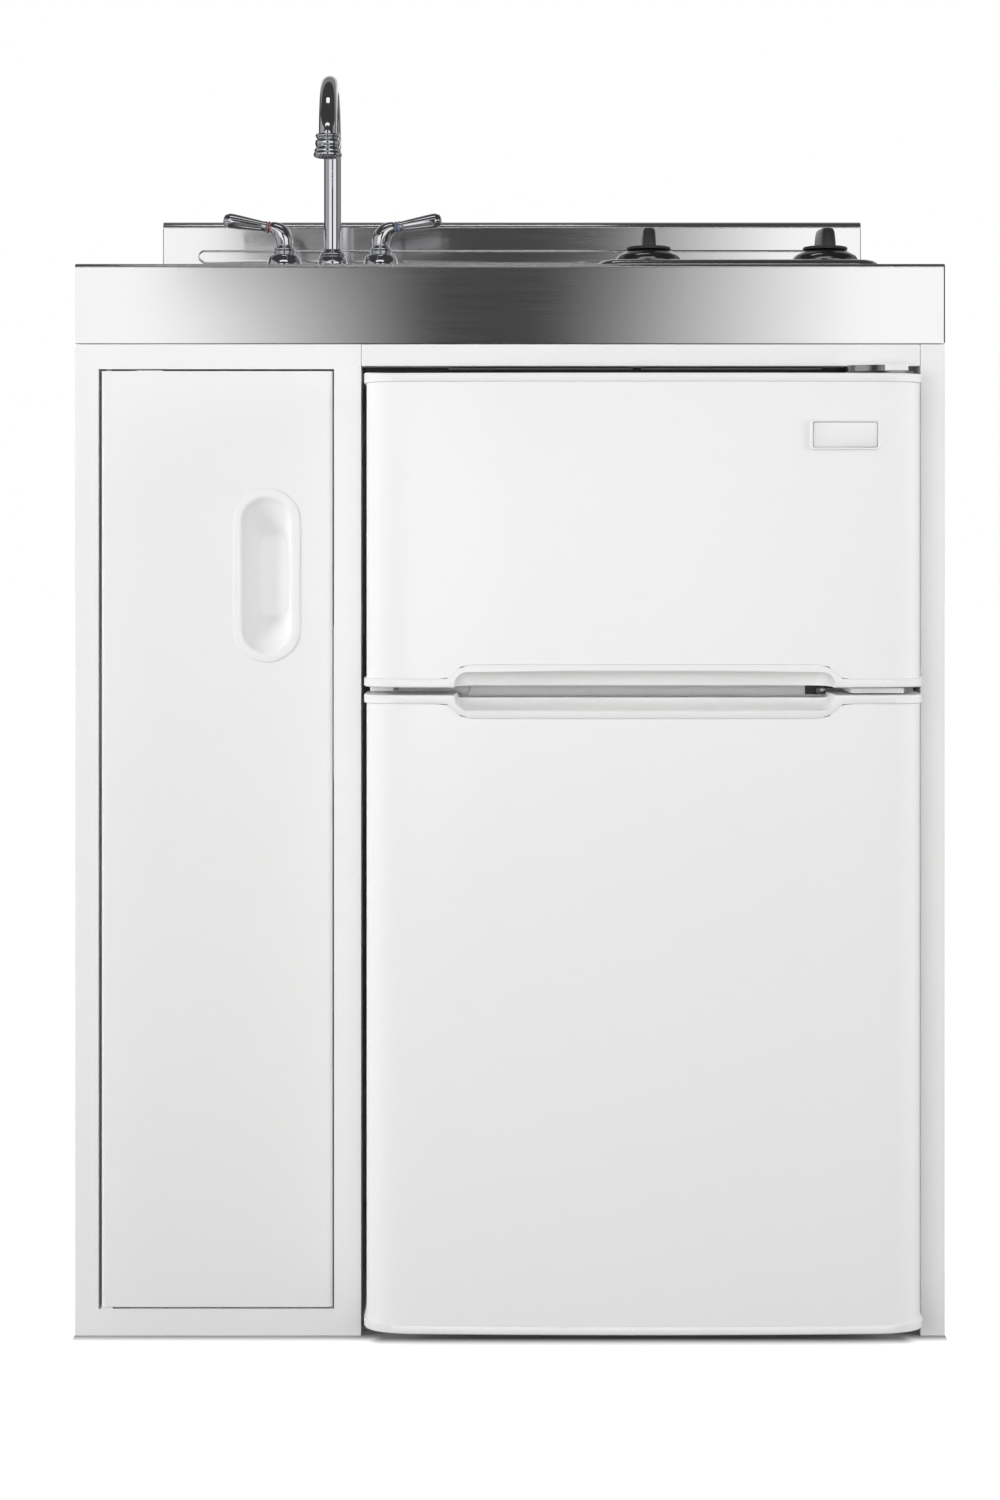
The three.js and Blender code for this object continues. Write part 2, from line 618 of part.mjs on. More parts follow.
// Worktop: one sheet bent down as a deep front fascia with a lip, closed by skirts at the sides and back.
function worktop() {
  const bent = (y0, y1, z0, z1, radius) => {
    const section = new THREE.Shape();
    section.moveTo(y0, z0);
    section.lineTo(y0, z1 - radius);
    section.absarc(y0 + radius, z1 - radius, radius, Math.PI, Math.PI / 2, true);
    section.lineTo(y1, z1);
    section.lineTo(y1, z0);
    return section;
  };
  const under = WORKTOP_HEIGHT - SHEET;
  const inside = HALF - SHEET;
  const shell = cut(
    runX(bent(FRONT, BACK, BODY_TOP, WORKTOP_HEIGHT, FASCIA_BEND), -HALF, HALF, 4),
    runX(bent(FRONT + SHEET, BACK - SHEET, BODY_TOP - 1, under, FASCIA_BEND - SHEET), -inside, inside, 4),
    block(-inside, inside, BACK - 2 * SHEET, BACK + 1, BODY_TOP - 1, WORKTOP_HEIGHT - WORKTOP_REAR_SKIRT),
  );
  const lip = block(-inside - SHEET / 2, inside + SHEET / 2, FRONT + SHEET / 2, FRONT + FASCIA_LIP,
    BODY_TOP, BODY_TOP + SHEET);
  const sinkHole = roundedRectangle(
    SINK_X - SINK_WIDTH / 2, SINK_Y - SINK_LENGTH / 2, SINK_X + SINK_WIDTH / 2, SINK_Y + SINK_LENGTH / 2,
    SINK_CORNER,
  );
  const [x0, x1, y0, y1] = HOB_BOX;
  const low = under - SHEET;
  const high = WORKTOP_HEIGHT + SHEET;
  const hobHole = block(x0 - 2 * SEAM, x1 + 2 * SEAM, y0 - 2 * SEAM, y1 + 2 * SEAM, low, high);
  const shankHoles = HANDLE_XS.map((x) => rod(SHANK_RADIUS + 2, x, FAUCET_Y, low, high, 10));
  return cut(join(shell, lip), raise(sinkHole, low, high, 6), hobHole, ...shankHoles);
}

// Backsplash: a hollow fold against the wall, stiffened by one long embossed bead with round ends.
function backsplash() {
  const z0 = WORKTOP_HEIGHT + SEAM;
  const z1 = WORKTOP_HEIGHT + SPLASH_HEIGHT;
  const face = BACK - SPLASH_THICKNESS;
  const inner = SPLASH_BEND - SHEET;
  const section = new THREE.Shape();
  section.moveTo(face, z0);
  section.lineTo(face, z1 - SPLASH_BEND);
  section.absarc(face + SPLASH_BEND, z1 - SPLASH_BEND, SPLASH_BEND, Math.PI, Math.PI / 2, true);
  section.lineTo(BACK, z1);
  section.lineTo(BACK, z1 - SPLASH_THICKNESS);
  section.lineTo(BACK - SHEET, z1 - SPLASH_THICKNESS);
  section.lineTo(BACK - SHEET, z1 - SHEET);
  section.lineTo(face + SPLASH_BEND, z1 - SHEET);
  section.absarc(face + SPLASH_BEND, z1 - SPLASH_BEND, inner, Math.PI / 2, Math.PI);
  section.lineTo(face + SHEET, z0);
  const reach = HALF - SPLASH_END_SETBACK;
  const ends = [-reach, reach - SHEET].map((x) =>
    block(x, x + SHEET, face + SHEET, BACK, z0, z1 - SPLASH_BEND));
  const beadLow = WORKTOP_HEIGHT + BEAD_LOW;
  const beadAt = (grow) => roundedRectangle(
    -BEAD_HALF_LENGTH - grow, beadLow - grow, BEAD_HALF_LENGTH + grow, beadLow + BEAD_HEIGHT + grow,
    BEAD_HEIGHT / 2 + grow - 0.1,
  );
  const bead = runY(beadAt(0), face - BEAD_RELIEF, face + SHEET, 4);
  const beadHollow = runY(beadAt(-SHEET), face - BEAD_RELIEF + SHEET, face + 2 * SHEET, 4);
  return cut(join(runX(section, -reach, reach, 4), ...ends, bead), beadHollow);
}

// Sink: a pressed bowl with round corners, tapered walls and a flat floor, flanged under the worktop.
function sinkBowl() {
  const top = WORKTOP_HEIGHT - SHEET - SEAM;
  const ring = (grow, z, radius) => roundedRing(
    SINK_X, SINK_Y, SINK_WIDTH + 2 * grow, SINK_LENGTH + 2 * grow, radius).map(([u, v]) => [u, v, z]);
  const drain = (z) => roundedRing(DRAIN_X, SINK_Y, 2 * DRAIN_RADIUS, 2 * DRAIN_RADIUS, DRAIN_RADIUS)
    .map(([u, v]) => [u, v, z]);
  const wall = (offset) => [
    ring(offset, top, SINK_CORNER + offset),
    ring(offset - SINK_TAPER, SINK_FLOOR + SINK_FLOOR_ROUND, SINK_CORNER - SINK_TAPER + offset),
    ring(offset - SINK_TAPER - 0.3 * SINK_FLOOR_ROUND, SINK_FLOOR + 0.3 * SINK_FLOOR_ROUND - offset,
      SINK_CORNER - SINK_TAPER - 3),
    ring(-SINK_TAPER - SINK_FLOOR_ROUND, SINK_FLOOR - offset,
      SINK_CORNER - SINK_TAPER - SINK_FLOOR_ROUND + 6),
  ];
  const outside = wall(SHEET).reverse();
  outside.pop();
  return closedLoft([
    ...wall(0),
    drain(SINK_FLOOR),
    drain(SINK_FLOOR - SHEET),
    ...outside,
    ring(SHEET, top - SHEET, SINK_CORNER + SHEET),
    ring(SINK_FLANGE, top - SHEET, SINK_CORNER + SINK_FLANGE),
    ring(SINK_FLANGE, top, SINK_CORNER + SINK_FLANGE),
  ]);
}

// Basket strainer body: a flanged cup clamped through the sink floor by its locknut.
const STRAINER_RADIUS = DRAIN_RADIUS - 6 * SEAM;
const STRAINER_BORE = STRAINER_RADIUS - SHEET;
const OUTLET_LOW = SINK_FLOOR - STRAINER_DEPTH - OUTLET_LENGTH;
function strainerBody() {
  const under = -SHEET - SEAM;
  return turned([
    [DRAIN_RADIUS + DRAIN_FLANGE, SEAM],
    [DRAIN_RADIUS + DRAIN_FLANGE - 1, 1.4],
    [STRAINER_BORE + 3, 2],
    [STRAINER_BORE, 0],
    [STRAINER_BORE, -STRAINER_DEPTH],
    [OUTLET_RADIUS, -STRAINER_DEPTH],
    [OUTLET_RADIUS, -STRAINER_DEPTH - OUTLET_LENGTH],
    [OUTLET_RADIUS + PIPE_WALL, -STRAINER_DEPTH - OUTLET_LENGTH],
    [OUTLET_RADIUS + PIPE_WALL, -STRAINER_DEPTH - 2 * SHEET],
    [STRAINER_RADIUS, -STRAINER_DEPTH - SHEET],
    [STRAINER_RADIUS, under - 8],
    [DRAIN_RADIUS + DRAIN_FLANGE - 4, under - 8],
    [DRAIN_RADIUS + DRAIN_FLANGE - 4, under],
    [STRAINER_RADIUS, under],
    [STRAINER_RADIUS, SEAM],
  ], DRAIN_X, SINK_Y, SINK_FLOOR, 16);
}

// Lift-out basket with its stopper below, its knob above and drain holes round the floor.
function strainerBasket() {
  const low = -STRAINER_DEPTH + SEAM;
  const floor = low + 9;
  const rim = STRAINER_BORE - 1.5;
  const basket = turned([
    [0, low], [OUTLET_RADIUS + 6, low], [OUTLET_RADIUS + 7, low + 3], [8, low + 5], [8, floor],
    [rim - 7, floor], [rim - 3, -6], [rim, -4], [rim, -2.8], [rim - 4.5, -4.6], [rim - 8, floor + 1.4],
    [4, floor + 1.4], [4, -16], [7.5, -12], [0, -7],
  ], DRAIN_X, SINK_Y, SINK_FLOOR, 14);
  const count = 6;
  const holes = Array.from({ length: count }, (unused, i) => {
    const angle = (2 * Math.PI * i) / count;
    const radius = rim - 15;
    return rod(2.2, DRAIN_X + radius * Math.cos(angle), SINK_Y + radius * Math.sin(angle),
      SINK_FLOOR + floor - 1, SINK_FLOOR + floor + 3, 6);
  });
  return cut(basket, ...holes);
}

// Tailpiece under the strainer, with its slip nut round the outlet.
function drainTailpiece() {
  const nutBore = OUTLET_RADIUS + PIPE_WALL + 4 * SEAM;
  return turned([
    [OUTLET_RADIUS, -SEAM], [OUTLET_RADIUS, -TAILPIECE_LENGTH],
    [OUTLET_RADIUS + PIPE_WALL, -TAILPIECE_LENGTH], [OUTLET_RADIUS + PIPE_WALL, -8],
    [nutBore + 4, -6], [nutBore + 4, 10], [nutBore, 10], [nutBore, -SEAM],
  ], DRAIN_X, SINK_Y, OUTLET_LOW, 16);
}

// ---------------------------------------------------------------- centreset faucet
// Base: a bevelled deck plate with a bell under each lever, a tall hub for the spout and two shanks.
function faucetBase() {
  const bevel = 4;
  const half = FAUCET_BASE_WIDTH / 2 - bevel;
  const reach = FAUCET_BASE_LENGTH / 2 - bevel;
  const outline = roundedRectangle(
    SINK_X - reach, FAUCET_Y - half, SINK_X + reach, FAUCET_Y + half, half - 0.1);
  const plate = new THREE.ExtrudeGeometry(outline, {
    depth: FAUCET_BASE_HEIGHT - bevel,
    bevelThickness: bevel,
    bevelSize: bevel,
    bevelSegments: 2,
    curveSegments: 4,
  });
  const below = block(SINK_X - FAUCET_BASE_LENGTH, SINK_X + FAUCET_BASE_LENGTH, FAUCET_Y - FAUCET_BASE_WIDTH,
    FAUCET_Y + FAUCET_BASE_WIDTH, WORKTOP_HEIGHT - 2 * bevel, WORKTOP_HEIGHT + SEAM);
  const deck = cut(toSolid(plate.translate(0, 0, WORKTOP_HEIGHT)), below);
  const sunk = FAUCET_BASE_HEIGHT - 1;
  const bell = [
    [0, sunk], [BELL_RADIUS + 4.5, sunk], [BELL_RADIUS, 27], [BELL_RADIUS - 1.5, 42], [BELL_RADIUS, 46],
    [BELL_RADIUS, 49], [BELL_RADIUS - 2, 55], [BELL_RADIUS - 7, 61.5], [BELL_RADIUS - 7.5, BELL_TOP],
    [0, BELL_TOP],
  ];
  const hub = [
    [0, sunk], [HUB_RADIUS + 3, sunk], [HUB_RADIUS - 2.5, 24], [HUB_RADIUS - 2.5, 44], [HUB_RADIUS, 48],
    [HUB_RADIUS, 54], [HUB_RADIUS - 2, HUB_TOP], [0, HUB_TOP],
  ];
  const shank = (x) => rod(SHANK_RADIUS, x, FAUCET_Y, WORKTOP_HEIGHT - SHANK_LENGTH, WORKTOP_HEIGHT + 2, 8);
  const nut = (x) => turned([
    [0, 0], [SHANK_RADIUS + 7, 0], [SHANK_RADIUS + 7, 9], [0, 9],
  ], x, FAUCET_Y, WORKTOP_HEIGHT - SHEET - SEAM - 9, 6);
  const socket = rod(SPOUT_RADIUS + SEAM, SINK_X, FAUCET_Y, WORKTOP_HEIGHT + HUB_TOP - SPOUT_SOCKET,
    WORKTOP_HEIGHT + HUB_TOP + 1, 14);
  const bores = HANDLE_XS.map((x) =>
    rod(4 + SEAM, x, FAUCET_Y, WORKTOP_HEIGHT + BELL_TOP - 14, WORKTOP_HEIGHT + BELL_TOP + 1, 8));
  return cut(
    join(
      deck,
      ...HANDLE_XS.map((x) => turned(bell, x, FAUCET_Y, WORKTOP_HEIGHT, 12)),
      turned(hub, SINK_X, FAUCET_Y, WORKTOP_HEIGHT, 12),
      ...HANDLE_XS.map(shank), ...HANDLE_XS.map(nut),
    ),
    socket, ...bores,
  );
}

// the spout's centre line: straight up, then half a circle forwards
class Gooseneck extends THREE.Curve {
  constructor(x, y, z0, z1, radius) {
    super();
    Object.assign(this, { x, y, z0, z1, radius });
  }

  getPoint(t, target = new THREE.Vector3()) {
    const rise = this.z1 - this.z0;
    const along = t * (rise + Math.PI * this.radius);
    if (along < rise) return target.set(this.x, this.y, this.z0 + along);
    const angle = (along - rise) / this.radius;
    const y = this.y - this.radius * (1 - Math.cos(angle));
    return target.set(this.x, y, this.z1 + this.radius * Math.sin(angle));
  }
}

const SPOUT_BEND = SPOUT_REACH / 2;
const SPOUT_END = WORKTOP_HEIGHT + SPOUT_TOP - SPOUT_RADIUS - SPOUT_BEND;
const SPOUT_FOOT = WORKTOP_HEIGHT + HUB_TOP - SPOUT_SOCKET + SEAM;

// Spout: one bent tube standing in the hub, with a collar that rests on it.
function spout() {
  const path = new Gooseneck(SINK_X, FAUCET_Y, SPOUT_FOOT, SPOUT_END, SPOUT_BEND);
  const collar = turned([
    [0, SEAM], [HUB_RADIUS - 2.5, SEAM], [HUB_RADIUS - 2.5, 3], [SPOUT_RADIUS + 1.5, 6.5], [0, 6.5],
  ], SINK_X, FAUCET_Y, WORKTOP_HEIGHT + HUB_TOP);
  return join(tubeAlong(path, SPOUT_RADIUS, 20, 10), collar);
}

// Aerator: a ringed sleeve round the spout's end, flared to a wide rim with a hollow mouth.
function aerator() {
  const low = AERATOR_LOW + WORKTOP_HEIGHT - SPOUT_END;
  const bore = SPOUT_RADIUS + 4 * SEAM;
  return turned([
    [0, -SEAM], [bore, -SEAM], [bore, 3.6],
    [AERATOR_RADIUS - 2.4, 4.2], [AERATOR_RADIUS - 2, 3], [AERATOR_RADIUS - 2.2, 0],
    [AERATOR_RADIUS - 3.6, -1.5], [AERATOR_RADIUS - 3.6, -6], [AERATOR_RADIUS - 1, -9], [AERATOR_RADIUS, -11],
    [AERATOR_RADIUS, -14], [AERATOR_RADIUS - 2, -17], [AERATOR_RADIUS - 3.4, low], [AERATOR_RADIUS - 5, low],
    [AERATOR_RADIUS - 5.6, low + 4], [0, low + 4],
  ], SINK_X, FAUCET_Y - SPOUT_REACH, SPOUT_END, 12);
}

// a lever's own frame: the arm runs out along +X from the stem's axis, then the whole is turned by side
function leverTurn(side) {
  const tilt = Math.atan2(LEVER_RISE, LEVER_LENGTH);
  const x = SINK_X + side * FAUCET_SPACING / 2;
  const facing = new THREE.Matrix4().makeRotationZ(side > 0 ? 0 : Math.PI);
  const lift = new THREE.Matrix4().makeTranslation(x, FAUCET_Y, WORKTOP_HEIGHT + LEVER_AXIS_HEIGHT);
  return lift.multiply(facing).multiply(new THREE.Matrix4().makeRotationY(Math.PI / 2 - tilt));
}

function alongLever(profile, side, segments) {
  return toSolid(lathe(profile, segments).applyMatrix4(leverTurn(side)));
}

// Lever: a turned stem with a ball elbow and a flared arm that ends round, grooved for its index ring.
function lever(side) {
  const x = SINK_X + side * FAUCET_SPACING / 2;
  const foot = BELL_TOP + SEAM;
  const stem = turned([
    [0, BELL_TOP - 12], [4, BELL_TOP - 12], [4, foot], [10.8, foot], [10.2, foot + 4.2], [8.6, foot + 5.4],
    [10.2, LEVER_AXIS_HEIGHT - 6], [10.2, LEVER_AXIS_HEIGHT + 2], [7, LEVER_AXIS_HEIGHT + 8],
    [0, LEVER_AXIS_HEIGHT + 10],
  ], x, FAUCET_Y, WORKTOP_HEIGHT, 12);
  const start = INDEX_RING_AT - INDEX_RING_WIDTH / 2;
  const end = INDEX_RING_AT + INDEX_RING_WIDTH / 2;
  const arm = alongLever([
    [0, 2], [7.6, 2], [6.6, start - 2], [6.8, start], [LEVER_ROOT_RADIUS - 0.8, start],
    [LEVER_ROOT_RADIUS - 0.8, end], [6.8, end], [LEVER_ROOT_RADIUS, end + 6],
    [LEVER_TIP_RADIUS - 0.7, 0.75 * LEVER_LENGTH], [LEVER_TIP_RADIUS, 0.9 * LEVER_LENGTH],
    [LEVER_TIP_RADIUS - 2.4, LEVER_LENGTH - 1], [0, LEVER_LENGTH],
  ], side, 12);
  return join(stem, arm);
}

function indexRing(side) {
  const bore = LEVER_ROOT_RADIUS - 0.8 + SEAM;
  const start = INDEX_RING_AT - INDEX_RING_WIDTH / 2 + SEAM;
  const end = INDEX_RING_AT + INDEX_RING_WIDTH / 2 - SEAM;
  const outer = LEVER_ROOT_RADIUS + 1.5;
  return alongLever([
    [bore, start], [outer - 0.4, start], [outer, (start + end) / 2], [outer - 0.4, end], [bore, end],
  ], side, 12);
}

// ---------------------------------------------------------------- hob
const HOB_BOX = [HOB_X0 + HOB_RIM, HOB_X1 - HOB_RIM, HOB_Y0 + HOB_RIM, HOB_Y1 - HOB_RIM];
const HOB_X = (HOB_X0 + HOB_X1) / 2;
const KNOB_Y = FRONT + KNOB_SETBACK;
const KNOB_XS = [-1, 1].map((side) => HOB_X0 + KNOB_MID_FROM_HOB_LEFT + side * KNOB_SPACING / 2);
const LAMP_XS = [-1, 1].map((side) => HOB_X0 + KNOB_MID_FROM_HOB_LEFT + side * LAMP_SPACING / 2);
const PLATE_UNDER = HOB_TOP - SHEET;

// a slab with round corners and a rounded top edge, from z0 to z1
function roundedSlab(x0, x1, y0, y1, z0, z1, corner, edge) {
  const outline = roundedRectangle(x0 + edge, y0 + edge, x1 - edge, y1 - edge, corner - edge);
  const geometry = new THREE.ExtrudeGeometry(outline, {
    depth: z1 - z0,
    bevelThickness: edge,
    bevelSize: edge,
    bevelSegments: 2,
    curveSegments: 3,
  });
  const blank = toSolid(geometry.translate(0, 0, z0 - edge));
  return cut(blank, block(x0 - 1, x1 + 1, y0 - 1, y1 + 1, z0 - 2 * edge - 1, z0));
}

// Hob plate: a shallow pressed lid with two burner holes and the holes for switches and lamps.
function hobPlate() {
  const low = WORKTOP_HEIGHT + SEAM;
  const outer = roundedSlab(HOB_X0, HOB_X1, HOB_Y0, HOB_Y1, low, HOB_TOP, HOB_CORNER, HOB_EDGE);
  const inner = roundedSlab(HOB_X0 + SHEET, HOB_X1 - SHEET, HOB_Y0 + SHEET, HOB_Y1 - SHEET, low - SHEET,
    PLATE_UNDER, HOB_CORNER - SHEET, HOB_EDGE - SHEET);
  const hole = (x, y, radius, segments) => rod(radius, x, y, PLATE_UNDER - 1, HOB_TOP + 1, segments);
  return cut(
    outer, inner,
    ...BURNER_SETBACKS.map((setback) => hole(HOB_X, FRONT + setback, PAN_RADIUS + 1, 20)),
    ...KNOB_XS.map((x) => hole(x, KNOB_Y, BUSHING_RADIUS + SEAM, 10)),
    ...LAMP_XS.map((x) => hole(x, KNOB_Y, LAMP_STEM + SEAM, 8)),
  );
}

// Hob box: the sheet steel tub under the plate, flanged on the worktop, with louvres and terminal blocks.
function hobBox() {
  const [x0, x1, y0, y1] = HOB_BOX;
  const floor = WORKTOP_HEIGHT - HOB_BOX_DEPTH;
  const top = WORKTOP_HEIGHT + SEAM + SHEET;
  const rim = HOB_RIM - 2 * SHEET - SEAM;
  const tub = join(
    block(x0, x1, y0, y1, floor, top),
    raise(roundedRectangle(x0 - rim, y0 - rim, x1 + rim, y1 + rim, HOB_CORNER - HOB_EDGE),
      WORKTOP_HEIGHT + SEAM, top, 3),
  );
  const hollow = block(x0 + SHEET, x1 - SHEET, y0 + SHEET, y1 - SHEET, floor + SHEET, top + 1);
  const middle = (y0 + y1) / 2;
  const louvres = [-2, -1, 0, 1, 2].map((i) => {
    const x = HOB_X + i * LOUVRE_PITCH;
    return block(x - LOUVRE_WIDTH / 2, x + LOUVRE_WIDTH / 2, middle - LOUVRE_LENGTH / 2,
      middle + LOUVRE_LENGTH / 2, floor - 1, floor + SHEET + 1);
  });
  const terminals = BURNER_SETBACKS.map((setback) => block(
    x1 - SHEET - TERMINAL_LENGTH, x1 - SHEET / 2, FRONT + setback - COIL_LEAD_SPACING,
    FRONT + setback + COIL_LEAD_SPACING, HOB_TOP - COIL_LEAD_DROP - COIL_TUBE, PLATE_UNDER - 1,
  ));
  return join(cut(tub, hollow, ...louvres), ...terminals);
}

// Drip pan: a bright bowl hung by its rim, open in the middle, notched for the element's leads.
function dripPan(setback) {
  const pan = turned([
    [PAN_HOLE, -PAN_DEPTH], [PAN_RADIUS - 16, -PAN_DEPTH + 2], [PAN_RADIUS - 5, -7],
    [PAN_RADIUS - 2, SEAM + 1],
    [PAN_RADIUS + 1, SEAM + 1.2], [PAN_RADIUS + PAN_RIM, SEAM], [PAN_RADIUS + PAN_RIM - 0.5, SEAM + 1],
    [PAN_RADIUS + 1, SEAM + 2.4], [PAN_RADIUS - 3, SEAM + 2.2], [PAN_RADIUS - 6.4, -6.6],
    [PAN_RADIUS - 17, -PAN_DEPTH + 3.3], [PAN_HOLE, -PAN_DEPTH + 1.4],
  ], HOB_X, FRONT + setback, HOB_TOP, 18);
  const reach = COIL_LEAD_SPACING / 2 + COIL_TUBE + 2;
  const notch = block(HOB_X + PAN_RADIUS - 24, HOB_X + PAN_RADIUS + PAN_RIM, FRONT + setback - reach,
    FRONT + setback + reach, HOB_TOP - PAN_DEPTH - 1, HOB_TOP - 2 * SHEET);
  return cut(pan, notch);
}

// the element's centre line: in under the coil, up to the middle, out along the spiral and down again
function coilPath(setback) {
  const y = FRONT + setback;
  const high = HOB_TOP + COIL_HEIGHT;
  const low = HOB_TOP - COIL_LEAD_DROP + 6;
  const half = COIL_LEAD_SPACING / 2;
  const end = HOB_BOX[1] - SHEET - TERMINAL_LENGTH - SEAM;
  const lead = (side, xs) => xs.map(([x, z]) => new THREE.Vector3(x, y + side * half, z));
  const points = lead(-1, [
    [end, low], [end - half, low], [HOB_X + 2 * COIL_INNER, low], [HOB_X + COIL_INNER - 5, low],
    [HOB_X - 2, low + COIL_TUBE],
  ]);
  const perTurn = 12;
  const count = COIL_TURNS * perTurn;
  for (let i = 0; i <= count; i += 1) {
    const angle = Math.PI + (2 * Math.PI * i) / perTurn;
    const radius = COIL_INNER + ((COIL_OUTER - COIL_INNER) * i) / count;
    const x = HOB_X + radius * Math.cos(angle);
    points.push(new THREE.Vector3(x, y + radius * Math.sin(angle), i === 0 ? high - 2 : high));
  }
  points.push(...lead(1, [
    [HOB_X + COIL_OUTER + 3, low + 2 * COIL_TUBE], [HOB_X + COIL_OUTER + 11, low], [end - half, low], [end, low],
  ]));
  return new THREE.CatmullRomCurve3(points, false, 'centripetal');
}

// the least gap between stretches of the tube that lie more than a quarter turn apart
function leastGap(path, radius) {
  const points = path.getSpacedPoints(400);
  const apart = Math.ceil((400 * Math.PI * COIL_INNER * 1.2) / path.getLength());
  let least = Infinity;
  points.forEach((point, i) => points.slice(i + apart).forEach((other) => {
    least = Math.min(least, point.distanceTo(other));
  }));
  return least - 2 * radius;
}

// Coil element: one unbroken sheathed tube, clipped to a three-armed support that lies on the pan's rim.
function coilElement(setback) {
  const path = coilPath(setback);
  console.log(`element ${setback}: least gap to itself ${leastGap(path, COIL_TUBE).toFixed(2)} mm`);
  const low = SEAM + 2.8;
  const high = COIL_HEIGHT - COIL_TUBE + 0.8;
  const arms = [Math.PI / 3, Math.PI, -Math.PI / 3].map((angle) => {
    const bar = new THREE.BoxGeometry(PAN_RADIUS - 4, 2.4, high - low).translate(PAN_RADIUS / 2 + 2, 0, 0);
    const turn = bar.rotateZ(angle).translate(HOB_X, FRONT + setback, HOB_TOP + (low + high) / 2);
    return toSolid(turn);
  });
  const medallion = turned([[0, low], [12, low], [12, high], [10, high + 2], [0, high + 2.6]],
    HOB_X, FRONT + setback, HOB_TOP, 8);
  return join(tubeAlong(path, COIL_TUBE, 76, 6), medallion, ...arms);
}

// Knob bezel: a shallow cone round the switch bushing.
function knobBezel(x) {
  const bore = BUSHING_RADIUS + 1.5;
  return turned([
    [bore, SEAM], [BEZEL_RADIUS, SEAM], [BEZEL_RADIUS, 1.6], [BEZEL_TOP_RADIUS + 1, BEZEL_HEIGHT - 1],
    [BEZEL_TOP_RADIUS, BEZEL_HEIGHT], [bore, BEZEL_HEIGHT],
  ], x, KNOB_Y, HOB_TOP, 20);
}

// Knob: a thin skirt, a waisted drum, a tapered finger bar across it and the shaft below.
function knob(x, angle) {
  const low = BEZEL_HEIGHT + SEAM;
  const top = low + KNOB_HEIGHT;
  const drum = turned([
    [0, low], [KNOB_RADIUS, low], [KNOB_RADIUS, low + KNOB_SKIRT - 1], [KNOB_RADIUS - 1.5, low + KNOB_SKIRT],
    [KNOB_RADIUS - 4.5, low + KNOB_SKIRT + 1.2], [KNOB_RADIUS - 7, low + 6], [0, low + 7.5],
  ], 0, 0, 0, 18);
  const side = new THREE.Shape();
  const reach = KNOB_RADIUS - 3;
  side.moveTo(-reach, low + 1);
  side.lineTo(reach, low + 1);
  side.lineTo(reach - 3, top - 5);
  side.quadraticCurveTo(reach - 4.5, top, reach - 9, top);
  side.lineTo(9 - reach, top);
  side.quadraticCurveTo(4.5 - reach, top, 3 - reach, top - 5);
  const bar = runX(side, -KNOB_GRIP_WIDTH, KNOB_GRIP_WIDTH, 4);
  const half = KNOB_GRIP_WIDTH / 2;
  const taper = polygon([
    [-half, low], [half, low], [half - 1.6, top - 2], [half - 3, top + 0.1], [3 - half, top + 0.1],
    [1.6 - half, top - 2],
  ]);
  const grip = bar.intersect(runY(taper, -KNOB_RADIUS, KNOB_RADIUS));
  const shaft = rod(SHAFT_RADIUS, 0, 0, -12, low + 1, 12);
  return join(drum, grip, shaft).rotate([0, 0, angle]).translate([x, KNOB_Y, HOB_TOP]);
}

// Heat switch: a moulded body with its threaded bushing, hung under the plate.
function heatSwitch(x) {
  const half = SWITCH_WIDTH / 2;
  const top = PLATE_UNDER - SEAM;
  const body = block(x - half, x + half, KNOB_Y - half, KNOB_Y + half, top - SWITCH_DEPTH, top);
  const bushing = rod(BUSHING_RADIUS, x, KNOB_Y, top - 1, HOB_TOP + 4);
  const bore = rod(SHAFT_RADIUS + SEAM, x, KNOB_Y, HOB_TOP - 14, HOB_TOP + 5, 12);
  const tabs = [-1, 1].map((side) => block(x + side * 9 - 3, x + side * 9 + 3, KNOB_Y - 0.4, KNOB_Y + 0.4,
    top - SWITCH_DEPTH - 8, top - SWITCH_DEPTH + 1));
  return cut(join(body, bushing, ...tabs), bore);
}

// Indicator lamp: a domed lens on the plate with its stem and body below.
function indicatorLamp(x) {
  return turned([
    [0, -22], [LAMP_STEM, -22], [LAMP_STEM, SEAM], [LAMP_RADIUS, SEAM], [LAMP_RADIUS, 2],
    [LAMP_RADIUS - 0.6, 4.2], [LAMP_RADIUS - 2.2, 6.3], [0, LAMP_HEIGHT],
  ], x, KNOB_Y, HOB_TOP, 12);
}

// ---------------------------------------------------------------- compact fridge
const FRIDGE_X0 = FRAME_RIGHT + FRIDGE_SIDE_GAP;
const FRIDGE_X1 = BAY_RIGHT - FRIDGE_SIDE_GAP;
const FRIDGE_X = (FRIDGE_X0 + FRIDGE_X1) / 2;
const FRIDGE_BACK = FRONT + FRIDGE_DEPTH;
const LINER_X0 = FRIDGE_X0 + FRIDGE_WALL;
const LINER_X1 = FRIDGE_X1 - FRIDGE_WALL;
const LINER_BACK = FRIDGE_BACK - FRIDGE_WALL;
const FRIDGE_TOP = CARCASS_TOP - FRIDGE_TOP_GAP;
const FREEZER_TOP = FRIDGE_TOP - FRIDGE_WALL;
const MULLION_TOP = FRIDGE_TOP - FREEZER_DROP;
const MULLION_LOW = MULLION_TOP - MULLION_HEIGHT;
const DOOR_LOW = FRIDGE_LOW;
const DOOR_SPLIT_TOP = MULLION_TOP - DOOR_SPLIT_DROP;
const DOOR_SPLIT_LOW = DOOR_SPLIT_TOP - DOOR_SPLIT_GAP;
const DOOR_TOP = FRIDGE_TOP + DOOR_TOP_LAP;
const DIAL_Z = MULLION_LOW - DIAL_DROP;
const STEP_FRONT = FRIDGE_BACK - STEP_DEPTH;
const CRISPER_BACK = STEP_FRONT - FRIDGE_WALL;
const STEP_SHELF = STEP_HEIGHT + FRIDGE_WALL;
